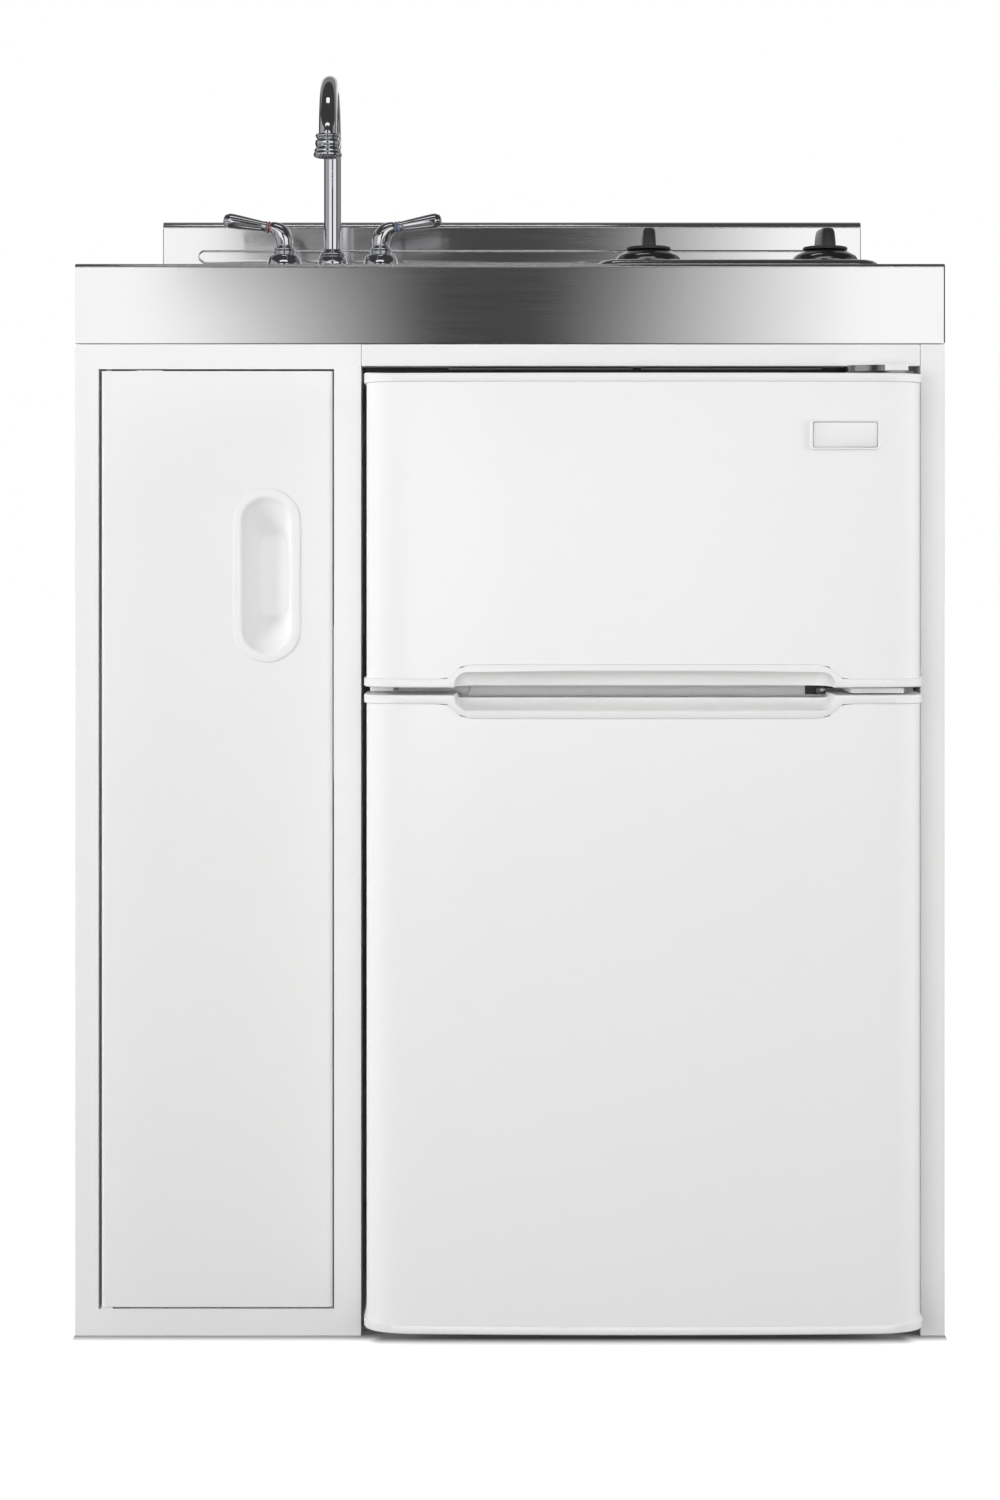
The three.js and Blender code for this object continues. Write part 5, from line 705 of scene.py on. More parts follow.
# ---------------------------------------------------------------------------------------------------------
# Levers: each is one casting, a round foot on the bell, a neck that leans over into the arm, and an arm that
# swells to a stepped button end. A coloured ring in the groove by the neck marks hot and cold.
red_mark = moulded("red_mark", (0.27, 0.075, 0.085), (0.31, 0.09, 0.10), (0.3, 0.4), 1200, 0.00003)
blue_mark = moulded("blue_mark", (0.065, 0.12, 0.22), (0.08, 0.14, 0.26), (0.3, 0.4), 1200, 0.00003)
LEVER_RISE = math.radians(9.5)
LEVER_ELBOW = DECK + 0.086
# distance from the elbow along the arm, radius
ARM = [(0.0125, 0.0066), (0.0150, 0.0060), (0.0153, 0.0049), (0.0187, 0.0049), (0.0190, 0.0058),
       (0.0205, 0.0060), (0.0222, 0.0055), (0.0245, 0.0056), (0.0330, 0.0063), (0.0430, 0.0071),
       (0.0520, 0.0078), (0.0580, 0.0080), (0.0600, 0.0078), (0.0608, 0.0070), (0.0618, 0.0068),
       (0.0640, 0.0056), (0.0650, 0.0034), (0.0653, 0.0)]

for side, name, ring_colour in ((-1, "hot", red_mark), (1, "cold", blue_mark)):
    centre = Vector((FAUCET_X + side * HANDLE_REACH, FAUCET_Y, DECK))
    foot = turned_piece(f"{name}_lever_foot", [(0.0, 0.0520)] + [(0.0038, 0.0520), (0.0038, 0.0638)]
                        + smooth_profile([
                            (0.0100, 0.0638), (0.0109, 0.0644), (0.0111, 0.0656), (0.0106, 0.0668),
                            (0.0094, 0.0678), (0.0088, 0.0690), (0.0090, 0.0705)], 3) + [(0.0, 0.0706)],
                        centre, chrome, f"{name}_lever", "chrome", sharp=50)
    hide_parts(f"{name}_lever")
    out = Vector((side * math.cos(LEVER_RISE), 0, math.sin(LEVER_RISE)))
    elbow = Vector((centre.x, centre.y, LEVER_ELBOW))
    start = Vector((centre.x, centre.y, DECK + 0.0700))
    bend_end = elbow + out * 0.0130
    neck_rings = []
    steps = 14
    for i in range(steps + 1):
        t = i / steps
        handle = Vector((centre.x, centre.y, DECK + 0.0850))
        neck_rings.append((start * (1 - t) ** 2 + handle * 2 * t * (1 - t) + bend_end * t * t,
                           0.0091 + (0.0066 - 0.0091) * t * t + 0.0008 * math.sin(math.pi * t)))
    route = [p for p, r in neck_rings] + [elbow + out * d for d, r in ARM[1:]]
    radii = [r for p, r in neck_rings] + [max(r, 0.0002) for d, r in ARM[1:]]
    points, faces = skin_rings(
        tube_through(route, 1, 32, taper=lambda t, radii=radii: radii[round(t * (len(radii) - 1))]), False,
        True)
    mesh_piece(f"{name}_lever_arm", points, faces, chrome, f"{name}_lever", "chrome", sharp=60)
    lay_out = Vector((0, 0, 1)).rotation_difference(out).to_matrix()
    band = turned_piece(f"{name}_ring", rounded([
        (0.0050, 0.0159), (0.0060, 0.0159), (0.0064, 0.0170), (0.0060, 0.0181), (0.0050, 0.0181)], 0.0004, 2),
        elbow, ring_colour, f"{name}_lever", "red_mark" if side < 0 else "blue_mark", segments=40,
        turn=lay_out)
    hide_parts(f"{name}_index_ring")

# ---------------------------------------------------------------------------------------------------------
# Hob plate: a shallow lid pressed from stainless with a rolled edge, brushed like the worktop it lies on,
# with two burner holes and small holes for the switches and lamps.
hob_low, hob_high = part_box("hob_plate")
HOB_CENTRE = ((hob_low.x + hob_high.x) / 2, (hob_low.y + hob_high.y) / 2)
HOB_SIZE = (hob_high.x - hob_low.x, hob_high.y - hob_low.y)
HOB_TOP = hob_high.z
HOB_CORNER = 0.022
PAN_RADIUS = 0.082
BURNERS = {"front": (0.205, -0.014), "rear": (0.205, 0.176)}
KNOBS = {"left": 0.126, "right": 0.287}
LAMPS = {"left": 0.168, "right": 0.245}
KNOB_Y = -0.164


def lid_ring(inset, height):
    return [(u, v, height) for u, v in oval_ring(*HOB_CENTRE, HOB_SIZE[0] - 2 * inset,
                                                 HOB_SIZE[1] - 2 * inset,
                                                 max(HOB_CORNER - inset, 0.004), 12)]


outside = [(0.0300, 0.0000), (0.0110, 0.0000), (0.0080, 0.0001), (0.0050, 0.0006), (0.0028, 0.0016),
           (0.0012, 0.0030), (0.0003, 0.0048), (0.0000, 0.0066), (0.0000, 0.0092)]
lid_rings = [lid_ring(inset, HOB_TOP - drop) for inset, drop in outside]
lid_rings += [lid_ring(inset + SHEET, HOB_TOP - drop - (SHEET if inset > 0.001 else 0))
              for inset, drop in reversed(outside)]
hob_steel = brushed("hob_steel", ((0.66, 0.66, 0.665), (0.78, 0.78, 0.785)), (0.12, 0.22), "x", 0.3)
hob = solid_piece("hob_lid", lid_rings, hob_steel, "cabinet", "stainless", sharp=50)
holes = [rod_cutter(x, y, HOB_TOP - 0.004, HOB_TOP + 0.004, PAN_RADIUS + 0.001, 96)
         for x, y in BURNERS.values()]
holes += [rod_cutter(x, KNOB_Y, HOB_TOP - 0.004, HOB_TOP + 0.004, 0.0059, 32) for x in KNOBS.values()]
holes += [rod_cutter(x, KNOB_Y, HOB_TOP - 0.004, HOB_TOP + 0.004, 0.0041, 32) for x in LAMPS.values()]
carve(hob, holes)
hob.data.set_sharp_from_angle(angle=math.radians(50))
flat_faces(hob)
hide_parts("hob_plate")

# ---------------------------------------------------------------------------------------------------------
# Drip pans: spun steel bowls, chrome plated, hung by a rolled rim, open in the middle and notched where the
# element's leads pass. They take a slight straw tint from the heat, in soft clouds.
pan_chrome = clouded("pan_chrome", (22, 4), ((0.70, 0.69, 0.67), (0.80, 0.80, 0.80)), (0.08, 0.2),
                     (30, 2, 0.12, 0.0003), {"Metallic": 1.0})

LEAD_SPACING = 0.010
NOTCH_REACH = 0.0160
for end, (x, y) in BURNERS.items():
    pan = turned_piece(f"{end}_pan", smooth_profile([
        (0.0220, -0.0200), (0.0330, -0.0197), (0.0500, -0.0190), (0.0640, -0.0165), (0.0725, -0.0110),
        (0.0768, -0.0040), (0.0786, 0.0002), (0.0800, 0.0014), (0.0830, 0.0015), (0.0868, 0.0006),
        (0.0880, 0.0003)], 4) + smooth_profile([
        (0.0879, 0.0010), (0.0850, 0.0022), (0.0820, 0.0026), (0.0792, 0.0024), (0.0772, 0.0010),
        (0.0756, -0.0032), (0.0712, -0.0103), (0.0632, -0.0153), (0.0495, -0.0177), (0.0330, -0.0184),
        (0.0224, -0.0186)], 4), (x, y, HOB_TOP), pan_chrome, "cabinet", "chrome", segments=96, sharp=50)
    corners = [(u, v) for u in (x + 0.056, x + 0.092) for v in (y - NOTCH_REACH, y + NOTCH_REACH)]
    notch = drawn_out([corners[i] for i in (0, 2, 3, 1)], "z", (HOB_TOP - 0.022, HOB_TOP - 0.003))
    carve(pan, [loose_solid(notch)])
    pan.data.set_sharp_from_angle(angle=math.radians(50))
    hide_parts(f"{end}_drip_pan")

# ---------------------------------------------------------------------------------------------------------
# Coil elements: a heating wire in a nickel-alloy tube, pressed flat on top and wound in a spiral, its two
# cold ends running under the turns to the terminal block. A three-armed steel spider carries each one.
sheath = clouded("sheath", (90, 4), ((0.050, 0.047, 0.046), (0.105, 0.098, 0.094)), (0.42, 0.68),
                 (700, 3, 0.3, 0.0001), {"Metallic": 0.75})

COIL_TUBE = 0.0039
COIL_INNER = 0.021
COIL_OUTER = 0.066
COIL_TURNS = 3.5
COIL_TOP = 0.0028
TERMINAL_X = 0.3012
for end, (x, y) in BURNERS.items():
    high = HOB_TOP + 0.009
    low = HOB_TOP - 0.011
    stops = [(TERMINAL_X, y - LEAD_SPACING, low), (TERMINAL_X - 0.010, y - LEAD_SPACING, low),
             (x + 0.042, y - LEAD_SPACING, low), (x + 0.016, y - LEAD_SPACING, low),
             (x - 0.002, y - LEAD_SPACING, low + 0.004)]
    count = int(COIL_TURNS * 12)
    for i in range(count + 1):
        angle = math.pi + 2 * math.pi * i / 12
        radius = COIL_INNER + (COIL_OUTER - COIL_INNER) * i / count
        stops.append((x + radius * math.cos(angle), y + radius * math.sin(angle),
                      high - (0.002 if i == 0 else 0)))
    stops += [(x + COIL_OUTER + 0.003, y + LEAD_SPACING, low + 0.008),
              (x + COIL_OUTER + 0.011, y + LEAD_SPACING, low),
              (TERMINAL_X - 0.010, y + LEAD_SPACING, low), (TERMINAL_X, y + LEAD_SPACING, low)]
    route = [Vector(p) for p in smooth_profile(stops, 6)]
    rings = tube_through(route, COIL_TUBE, 16)
    for middle, ring in zip(route, rings):
        for point in ring:
            point.z = min(point.z, middle.z + COIL_TOP)
    coil = solid_piece(f"{end}_coil", rings, sheath, "cabinet", "element", sharp=45)
    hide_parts(f"{end}_coil_element")
    for arm, angle in enumerate((math.pi / 3, math.pi, -math.pi / 3)):
        along = Vector((math.cos(angle), math.sin(angle), 0))
        across = Vector((-along.y, along.x, 0)) * 0.0011
        start, stop = Vector((x, y, 0)) + along * 0.006, Vector((x, y, 0)) + along * 0.0785
        blade = [[(p + across * k) + Vector((0, 0, HOB_TOP + z)) for k, z in
                  ((-1, base), (1, base), (1, 0.0056), (-1, 0.0056))]
                 for p, base in ((start, -0.0040), (start + along * 0.050, -0.0040),
                                 (start + along * 0.062, 0.0031),
                                 (stop, 0.0031))]
        solid_piece(f"{end}_spider_arm_{arm + 1}", blade, galvanised, "cabinet", "element")
    turned_piece(f"{end}_medallion", rounded([
        (0.0, 0.0032), (0.0118, 0.0032), (0.0122, 0.0090), (0.0106, 0.0106), (0.0, 0.0112)], 0.0012, 4),
        (x, y, HOB_TOP), polished, "cabinet", "element", segments=48)

# ---------------------------------------------------------------------------------------------------------
# Controls: chrome cone bezels pressed on the plate, black moulded knobs with a tall finger bar, switches
# hung under the plate, and two small dark red lamp lenses between the knobs.
# A dark chrome for the bezels. The top hinge's arm and the thin ring round the door plate take it too, as
# painted shade.
dark_chrome_and_shade = brushed("dark_chrome_and_shade", ((0.24, 0.24, 0.25), (0.34, 0.34, 0.35)), (0.12, 0.2), "z", 0.0)
for side, x in KNOBS.items():
    bezel = turned_piece(f"{side}_bezel", rounded([
        (0.0073, 0.0003), (0.0302, 0.0003), (0.0305, 0.0018), (0.0297, 0.0048), (0.0279, 0.0074),
        (0.0240, 0.0096), (0.0205, 0.0116), (0.0190, 0.0125), (0.0073, 0.0125)], 0.0012, 4),
        (x, KNOB_Y, HOB_TOP), dark_chrome_and_shade,
        "cabinet", "chrome", segments=80, sharp=50)
    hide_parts(f"{side}_knob_bezel")
    body = f"{side}_knob"
    centre = (x, KNOB_Y, HOB_TOP)
    skirt = turned_piece(f"{side}_knob_skirt", rounded([
        (0.0, 0.0128), (0.0203, 0.0128), (0.0205, 0.0135), (0.0203, 0.0149), (0.0192, 0.0155),
        (0.0160, 0.0157), (0.0135, 0.0158),
        (0.0, 0.0159)], 0.0010, 4), centre, black_moulding_and_shade, body, "black_plastic",
        segments=72)
    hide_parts(f"{side}_knob")
    turn = Matrix.Rotation(math.radians(8 if side == "right" else 0), 3, "Z")
    grip_rings = []
    for length, width, height in ((0.0396, 0.0124, 0.0150), (0.0392, 0.0122, 0.0185),
                                  (0.0372, 0.0117, 0.0240), (0.0348, 0.0112, 0.0275),
                                  (0.0322, 0.0106, 0.0298), (0.0286, 0.0094, 0.0313),
                                  (0.0240, 0.0074, 0.0321), (0.0180, 0.0040, 0.0323)):
        grip_rings.append([Vector(centre) + turn @ Vector((u, v, height)) for u, v in
                           oval_ring(0, 0, width, length, width * 0.42, 6)])
    solid_piece(f"{side}_finger_bar", grip_rings, black_moulding_and_shade, body, "black_plastic",
               sharp=50)
    turned_piece(f"{side}_knob_shaft", [(0.0, -0.0119), (0.0029, -0.0119), (0.0029, 0.0130), (0.0, 0.0130)],
                 centre, galvanised, body, "black_plastic", segments=24)
    finish_node(f"{side}_heat_switch", black_moulding_and_shade, fold=0.0005)

lens = clouded("lamp_lens", (500, 2), ((0.045, 0.020, 0.020), (0.070, 0.028, 0.028)), (0.08, 0.2), None,
               {"Coat Weight": 0.6})
for side, x in LAMPS.items():
    lamp = turned_piece(f"{side}_lamp",
                        [(0.0, -0.0219), (0.0038, -0.0219), (0.0038, 0.0003)] + smooth_profile([
        (0.0053, 0.0003), (0.0055, 0.0008), (0.0055, 0.0014), (0.0051, 0.0026), (0.0041, 0.0036),
        (0.0024, 0.0043), (0.0, 0.0046)], 4),
        (x, KNOB_Y, HOB_TOP), lens, "cabinet", "lamp_lens", segments=40, sharp=60)
    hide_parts(f"{side}_indicator_lamp")

# ---------------------------------------------------------------------------------------------------------
# Fridge body: an enamelled steel shell with a vacuum-formed liner, foamed together, on four black screw
# feet. The dark feet are told from the shell by their height in the piece itself.
enamel = moulded("enamel", (0.80, 0.80, 0.795), (0.82, 0.82, 0.815), (0.22, 0.32), 700, 0.00010, coat=0.2)
FOOT_TOP = 0.0245
tree = enamel.node_tree
shader = next(n for n in tree.nodes if n.type == "BSDF_PRINCIPLED")
paint = shader.inputs["Base Color"].links[0].from_socket
spot = tree.nodes.new("ShaderNodeTexCoord")
spot_parts = tree.nodes.new("ShaderNodeSeparateXYZ")
tree.links.new(spot.outputs["Object"], spot_parts.inputs[0])
is_foot = math_node(tree, "LESS_THAN", spot_parts.outputs["Z"], FOOT_TOP - 0.0002)
feet_or_paint = blend_colours(tree, is_foot, (0, 0, 0), (0.02, 0.02, 0.021))
tree.links.new(paint, feet_or_paint.node.inputs[6])
tree.links.new(feet_or_paint, shader.inputs["Base Color"])
finish_node("fridge_body", enamel, fold=0.0008)

# ---------------------------------------------------------------------------------------------------------
# Fridge doors: a bowed steel skin, painted, foamed between two moulded end caps and backed by a formed dike
# with bottle racks. The caps on either side of the gap swell in the middle and are scooped for the fingers.
SKIN_LEFT = -0.1228
SKIN_RIGHT = 0.3519
SKIN_FACE = -0.3452
DOOR_REAR = -0.278
DOOR_BOW = 0.004
CORNER_WIDTH = 0.042
CORNER_DEPTH = 0.030
CAP_SIDE = 0.0021
CAP_PROUD = 0.0004
CAP_HEIGHT = 0.0074
CAP_SWELL = 0.0124
CAP_SEAM = 0.0001
SWELL_INSET = 0.070
SWELL_RUN = 0.018
CAP_EDGE = 0.0015
CORNER_LIFT = 0.0018
HINGE_AXIS = (0.3335, -0.309)
DOOR_ENDS = {"freezer": (0.5714, 0.8384), "fridge": (0.0232, 0.5650)}


def bezier(stops, t):
    points = [Vector(p) for p in stops]
    while len(points) > 1:
        points = [a.lerp(b, t) for a, b in zip(points, points[1:])]
    return points[0]


def door_front(side, proud):
    """The door's front seen from above, from its left side to its right side."""
    left, right = SKIN_LEFT - side, SKIN_RIGHT + side
    face = SKIN_FACE - proud
    shoulder = face + DOOR_BOW
    third = CORNER_WIDTH / 3
    turn = [(left, shoulder + CORNER_DEPTH), (left, shoulder + CORNER_DEPTH / 3),
            (left + third, shoulder + 0.0015),
            (left + CORNER_WIDTH, shoulder - 0.0006)]
    bow = [turn[-1], ((left + right) / 2, 2 * face - shoulder + 0.0006),
           (right - CORNER_WIDTH, shoulder - 0.0006)]
    corner = [bezier(turn, i / 16) for i in range(16)]
    front = [bezier(bow, i / 40) for i in range(41)]
    return corner + front + [Vector((left + right - p.x, p.y)) for p in reversed(corner)]


def swell(x):
    """How much deeper the cap is at x than at its ends."""
    from_end = min(x - (SKIN_LEFT - CAP_SIDE + SWELL_INSET),
                   (SKIN_RIGHT + CAP_SIDE - SWELL_INSET) - x) / SWELL_RUN
    t = min(max(from_end, 0), 1)
    return CAP_SWELL * t * t * (3 - 2 * t)


def door_block(levels):
    """Rings round the door's outline from (side, proud, height at x); front and back ends are bridged."""
    rings = []
    for side, proud, height in levels:
        front = door_front(side, proud)
        back = DOOR_REAR - (max(0.0, -side) if side < 0 else 0)
        rings.append([(p.x, p.y, height(p.x)) for p in front]
                     + [(p.x, back, height(p.x)) for p in reversed(front)])
    points, faces = skin_rings(rings, closed_loop=False)
    count = len(rings[0])
    for base in (0, len(points) - count):
        faces += [(base + i, base + i + 1, base + count - 2 - i, base + count - 1 - i)
                  for i in range(count // 2 - 1)]
    return points, faces


cap_plastic = moulded("cap_plastic", (0.805, 0.805, 0.80), (0.825, 0.825, 0.82), (0.24, 0.34), 1400, 0.00005)


def corner_lift(x):
    """The outer edge rises a little where the cap turns back at its left corner."""
    from_end = x - (SKIN_LEFT - CAP_SIDE)
    return CORNER_LIFT * max(0.0, 1 - from_end / CORNER_WIDTH) ** 3


def end_cap(name, body, edge, direction, swells):
    """A cap with a rounded outer edge; direction points from the outer edge into the door."""
    lift = corner_lift if edge > 0.8 else lambda x: 0.0
    levels = []
    for i in range(7):
        t = i / 6 * math.pi / 2
        inset = CAP_EDGE * (1 - math.sin(t))
        rise = CAP_EDGE * (1 - math.cos(t))
        levels.append((CAP_SIDE - inset, CAP_PROUD - inset, lambda x, r=rise: edge + direction * r + lift(x)))
    for inset, short in ((0.0, 0.0004), (0.0002, 0.0001), (0.0006, 0.0)):
        levels.append((CAP_SIDE - inset, CAP_PROUD - inset,
                       lambda x, s=short: edge + direction * (CAP_HEIGHT - s + (swell(x) if swells else 0))))
    return mesh_piece(name, *door_block(levels), cap_plastic, body, "white_plastic", sharp=40)


# Painted light: a much lighter copy of the caps' white for the inside of the scoops, so that they read bright
# though they lie deep in the gap.
pocket_painted_light = moulded("pocket_painted_light", (0.94, 0.94, 0.935), (0.96, 0.96, 0.955), (0.40, 0.50), 1400,
                         0.00005)
POCKET_SHADE = SKIN_FACE - CAP_PROUD + 0.0032
POCKET_HEIGHT = 0.0129
POCKET_DEPTH = 0.043
POCKET_LEFT = SKIN_LEFT - CAP_SIDE + SWELL_INSET + 0.008
POCKET_RIGHT = SKIN_RIGHT + CAP_SIDE - SWELL_INSET - 0.008


def pocket_cutter(edge, back_height, reach, narrowing):
    """The scoop: a round-ended mouth whose roof curves down towards the back, its lip rolled in."""
    rows = [(-0.0010, POCKET_HEIGHT + 0.0022, -0.0022), (0.0004, POCKET_HEIGHT + 0.0017, -0.0017),
            (0.0013, POCKET_HEIGHT + 0.0009, -0.0009), (0.0022, POCKET_HEIGHT + 0.0003, -0.0003),
            (0.0034, POCKET_HEIGHT, 0.0)]
    for i in range(1, 15):
        t = i / 14
        rows.append((0.0034 + (POCKET_DEPTH - 0.0034) * (0.3 * t + 0.7 * (2 * t - t * t)),
                     POCKET_HEIGHT - (POCKET_HEIGHT - back_height) * t ** 2.4, narrowing * t ** 3))
    rows.append((reach, back_height, narrowing))
    rings = []
    middle = (POCKET_LEFT + POCKET_RIGHT) / 2
    for depth, half, inset in rows:
        width = POCKET_RIGHT - POCKET_LEFT - 2 * inset
        rings.append([(u, SKIN_FACE - CAP_PROUD + depth, v)
                      for u, v in oval_ring(middle, edge, width, 2 * half, min(0.0110, half * 0.86), 8)])
    return loose_solid(rings)


door_paint = moulded("door_paint", (0.83, 0.83, 0.825), (0.85, 0.85, 0.845), (0.25, 0.36), 800, 0.00010,
                     coat=0.15,
                     clouds=2.0)
# height at the back, depth of the cut, narrowing; the lower door's pocket is open at its back
SCOOPS = {"freezer": (0.0009, POCKET_DEPTH + 0.001, 0.016),
          "fridge": (0.0041, DOOR_REAR - SKIN_FACE + 0.002, 0.001)}
for door, (low, high) in DOOR_ENDS.items():
    body = f"{door}_door"
    pocket_below = door == "freezer"
    plain = high if pocket_below else low
    gap_edge = low if pocket_below else high
    inwards = 1 if pocket_below else -1
    seam = CAP_HEIGHT + CAP_SEAM
    skin = mesh_piece(f"{door}_door_skin", *door_block([
        (0, 0, lambda x: gap_edge + inwards * (seam + swell(x))),
        (0, 0, lambda x: plain - inwards * seam)]), door_paint, body, "white_door", sharp=40)
    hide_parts(body)
    plain_cap = end_cap(f"{door}_plain_cap", body, plain, -inwards, False)
    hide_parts("freezer_top_cap" if pocket_below else "fridge_bottom_cap")
    pocket_cap = end_cap(f"{door}_pocket_cap", body, gap_edge, inwards, True)
    for cap, edge in ((plain_cap, plain), (pocket_cap, gap_edge)):
        hole = [rod_cutter(*HINGE_AXIS, edge - 0.0066, edge + 0.0066, 0.0043, 24)]
        carve(cap, hole + ([pocket_cutter(edge, *SCOOPS[door])] if cap is pocket_cap else []))
        cap.data.shade_smooth()
        cap.data.set_sharp_from_angle(angle=math.radians(38))
    # The faces deep in each scoop take the lighter white, the painted light.
    pocket_cap.data.materials.append(pocket_painted_light)
    for face in pocket_cap.data.polygons:
        if (face.center.y > POCKET_SHADE and POCKET_LEFT < face.center.x < POCKET_RIGHT
                and abs(face.center.z - gap_edge) < POCKET_HEIGHT + 0.0001):
            face.material_index = 1
    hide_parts("freezer_bottom_cap" if pocket_below else "fridge_top_cap")

# ---------------------------------------------------------------------------------------------------------
# Inside of the doors: the liner's dike, formed in one with the door's back, two bottle racks with a sight
# slot, and a soft magnetic gasket with a folded lip.
LINER = {"freezer": (0.592, 0.798), "fridge": (0.062, 0.545)}
LINER_LEFT = -0.0815
LINER_RIGHT = 0.3106
LINER_MIDDLE = (LINER_LEFT + LINER_RIGHT) / 2
DIKE_TIP = -0.238
liner_plastic = moulded("liner_plastic", (0.78, 0.785, 0.785), (0.80, 0.805, 0.805), (0.2, 0.3), 300, 0.00015)

for door, (low, high) in LINER.items():
    rings = front_rings(LINER_MIDDLE, (low + high) / 2, LINER_RIGHT - LINER_LEFT, high - low, 0.0160, 8, (
        (0.0070, DOOR_REAR - 0.0005), (0.0072, DIKE_TIP - 0.0060), (0.0080, DIKE_TIP - 0.0022),
        (0.0100, DIKE_TIP - 0.0004), (0.0125, DIKE_TIP), (0.0155, DIKE_TIP - 0.0006),
        (0.0174, DIKE_TIP - 0.0026), (0.0184, DIKE_TIP - 0.0065), (0.0190, DOOR_REAR - 0.0005)), ease=0.4)
    mesh_piece(f"{door}_dike", *skin_rings(rings), liner_plastic, f"{door}_door", "white_door", sharp=50)

RACK_LEFT = -0.0635
RACK_RIGHT = 0.2926
RACK_FRONT = -0.206
RACK_HEIGHT = 0.055
for i, z in enumerate((0.255, 0.400)):
    middle = (RACK_LEFT + RACK_RIGHT) / 2
    depth = RACK_FRONT - DOOR_REAR + 0.0005
    rings = flat_rings(middle, RACK_FRONT - depth / 2, RACK_RIGHT - RACK_LEFT, depth, 0.0100, 6, [
        (inset, z + height) for inset, height in (
            (0.0020, 0.0), (0.0004, 0.0008), (0.0, 0.0026), (0.0, RACK_HEIGHT - 0.0008),
            (0.0006, RACK_HEIGHT),
            (0.0019, RACK_HEIGHT), (0.0025, RACK_HEIGHT - 0.0008), (0.0026, 0.0060), (0.0036, 0.0034),
            (0.0060, 0.0025))], ease=0.5)
    rack = solid_piece(f"bottle_rack_{i + 1}", rings, liner_plastic, "fridge_door",
                      "white_door", sharp=50)
    slot_rings = front_rings(middle, z + 0.0318, 0.330, 0.0260, 0.0090, 6, (
        (0, RACK_FRONT - 0.006), (0, RACK_FRONT + 0.002)))
    carve(rack, [loose_solid(slot_rings)])
    rack.data.set_sharp_from_angle(angle=math.radians(50))

gasket_vinyl = moulded("gasket_vinyl", (0.62, 0.63, 0.63), (0.66, 0.67, 0.67), (0.48, 0.62), 600, 0.00010)
for door in DOOR_ENDS:
    finish_node(f"{door}_gasket", gasket_vinyl, fold=0.0022, segments=3)

# ---------------------------------------------------------------------------------------------------------
# Hinges: pressed steel plates, zinc plated, screwed to the body, with a pin for each door. A white cover is
# clipped over the top one, a white band over the middle one's arm, and its lug is screwed to the mullion.
for name in ("top_hinge", "middle_hinge", "bottom_hinge"):
    finish_node(name, galvanised, fold=0.0003)
cover_low, cover_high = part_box("hinge_cover")
SLANT = min(0.014, 0.5 * (cover_high.y - cover_low.y))
BOSS_LEFT = 0.3215
cover_left = cover_low.x + 0.0005
cover_plan = [(cover_left, cover_high.y), (cover_left, cover_low.y + SLANT),
              (BOSS_LEFT - 0.0010, cover_low.y + 0.0050), (BOSS_LEFT, cover_low.y + 0.0005),
              (BOSS_LEFT + 0.0005, cover_low.y), (cover_high.x - 0.0010, cover_low.y),
              (cover_high.x, cover_low.y + 0.0010), (cover_high.x, cover_high.y)]
cover_shell = solid_piece("hinge_cover_shell", drawn_out(cover_plan, "z", (cover_low.z, cover_high.z)),
                          white_moulding, "cabinet", "white_plastic", sharp=30)
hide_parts("hinge_cover")
# The top hinge's arm, seen over the freezer door: a real steel arm whose dark tone is painted shade for the
# deep gap at its left.
arm_plan = []
ARM_RIGHT = BOSS_LEFT - 0.0003
for i in range(13):
    turn = i / 12 * math.pi / 2
    arm_plan.append((ARM_RIGHT - (ARM_RIGHT - cover_low.x) * math.cos(turn),
                     cover_low.y + 0.0004 + (SLANT - 0.0004) * (1 - math.sin(turn))))
arm_plan += [(ARM_RIGHT, cover_high.y), (cover_low.x, cover_high.y)]
solid_piece("top_hinge_arm_painted_shade", drawn_out(arm_plan, "z", (cover_low.z - 0.0003, cover_high.z - 0.0001)),
            dark_chrome_and_shade, "cabinet", "galvanised")

GAP_Z = 0.5682
BODY_FACE = -0.264
band_line = [(0.2920, -0.2650), (0.2920, -0.3230), (0.2926, -0.3255), (0.2945, -0.3270), (0.3330, -0.3270),
             (0.3348, -0.3255), (0.3354, -0.3230)]
inner_edge, outer_edge = [], []
for i, point in enumerate(band_line):
    along = (Vector(band_line[min(i + 1, len(band_line) - 1)]) - Vector(band_line[max(i - 1, 0)])).normalized()
    outwards = Vector((along.y, -along.x))
    inner_edge.append(Vector(point) + outwards * 0.0003)
    outer_edge.append(Vector(point) + outwards * 0.0015)
band_outline = inner_edge + list(reversed(outer_edge))
solid_piece("hinge_band", drawn_out(band_outline, "z", (GAP_Z - 0.0021, GAP_Z + 0.0021)), white_moulding,
            "cabinet", "white_plastic")

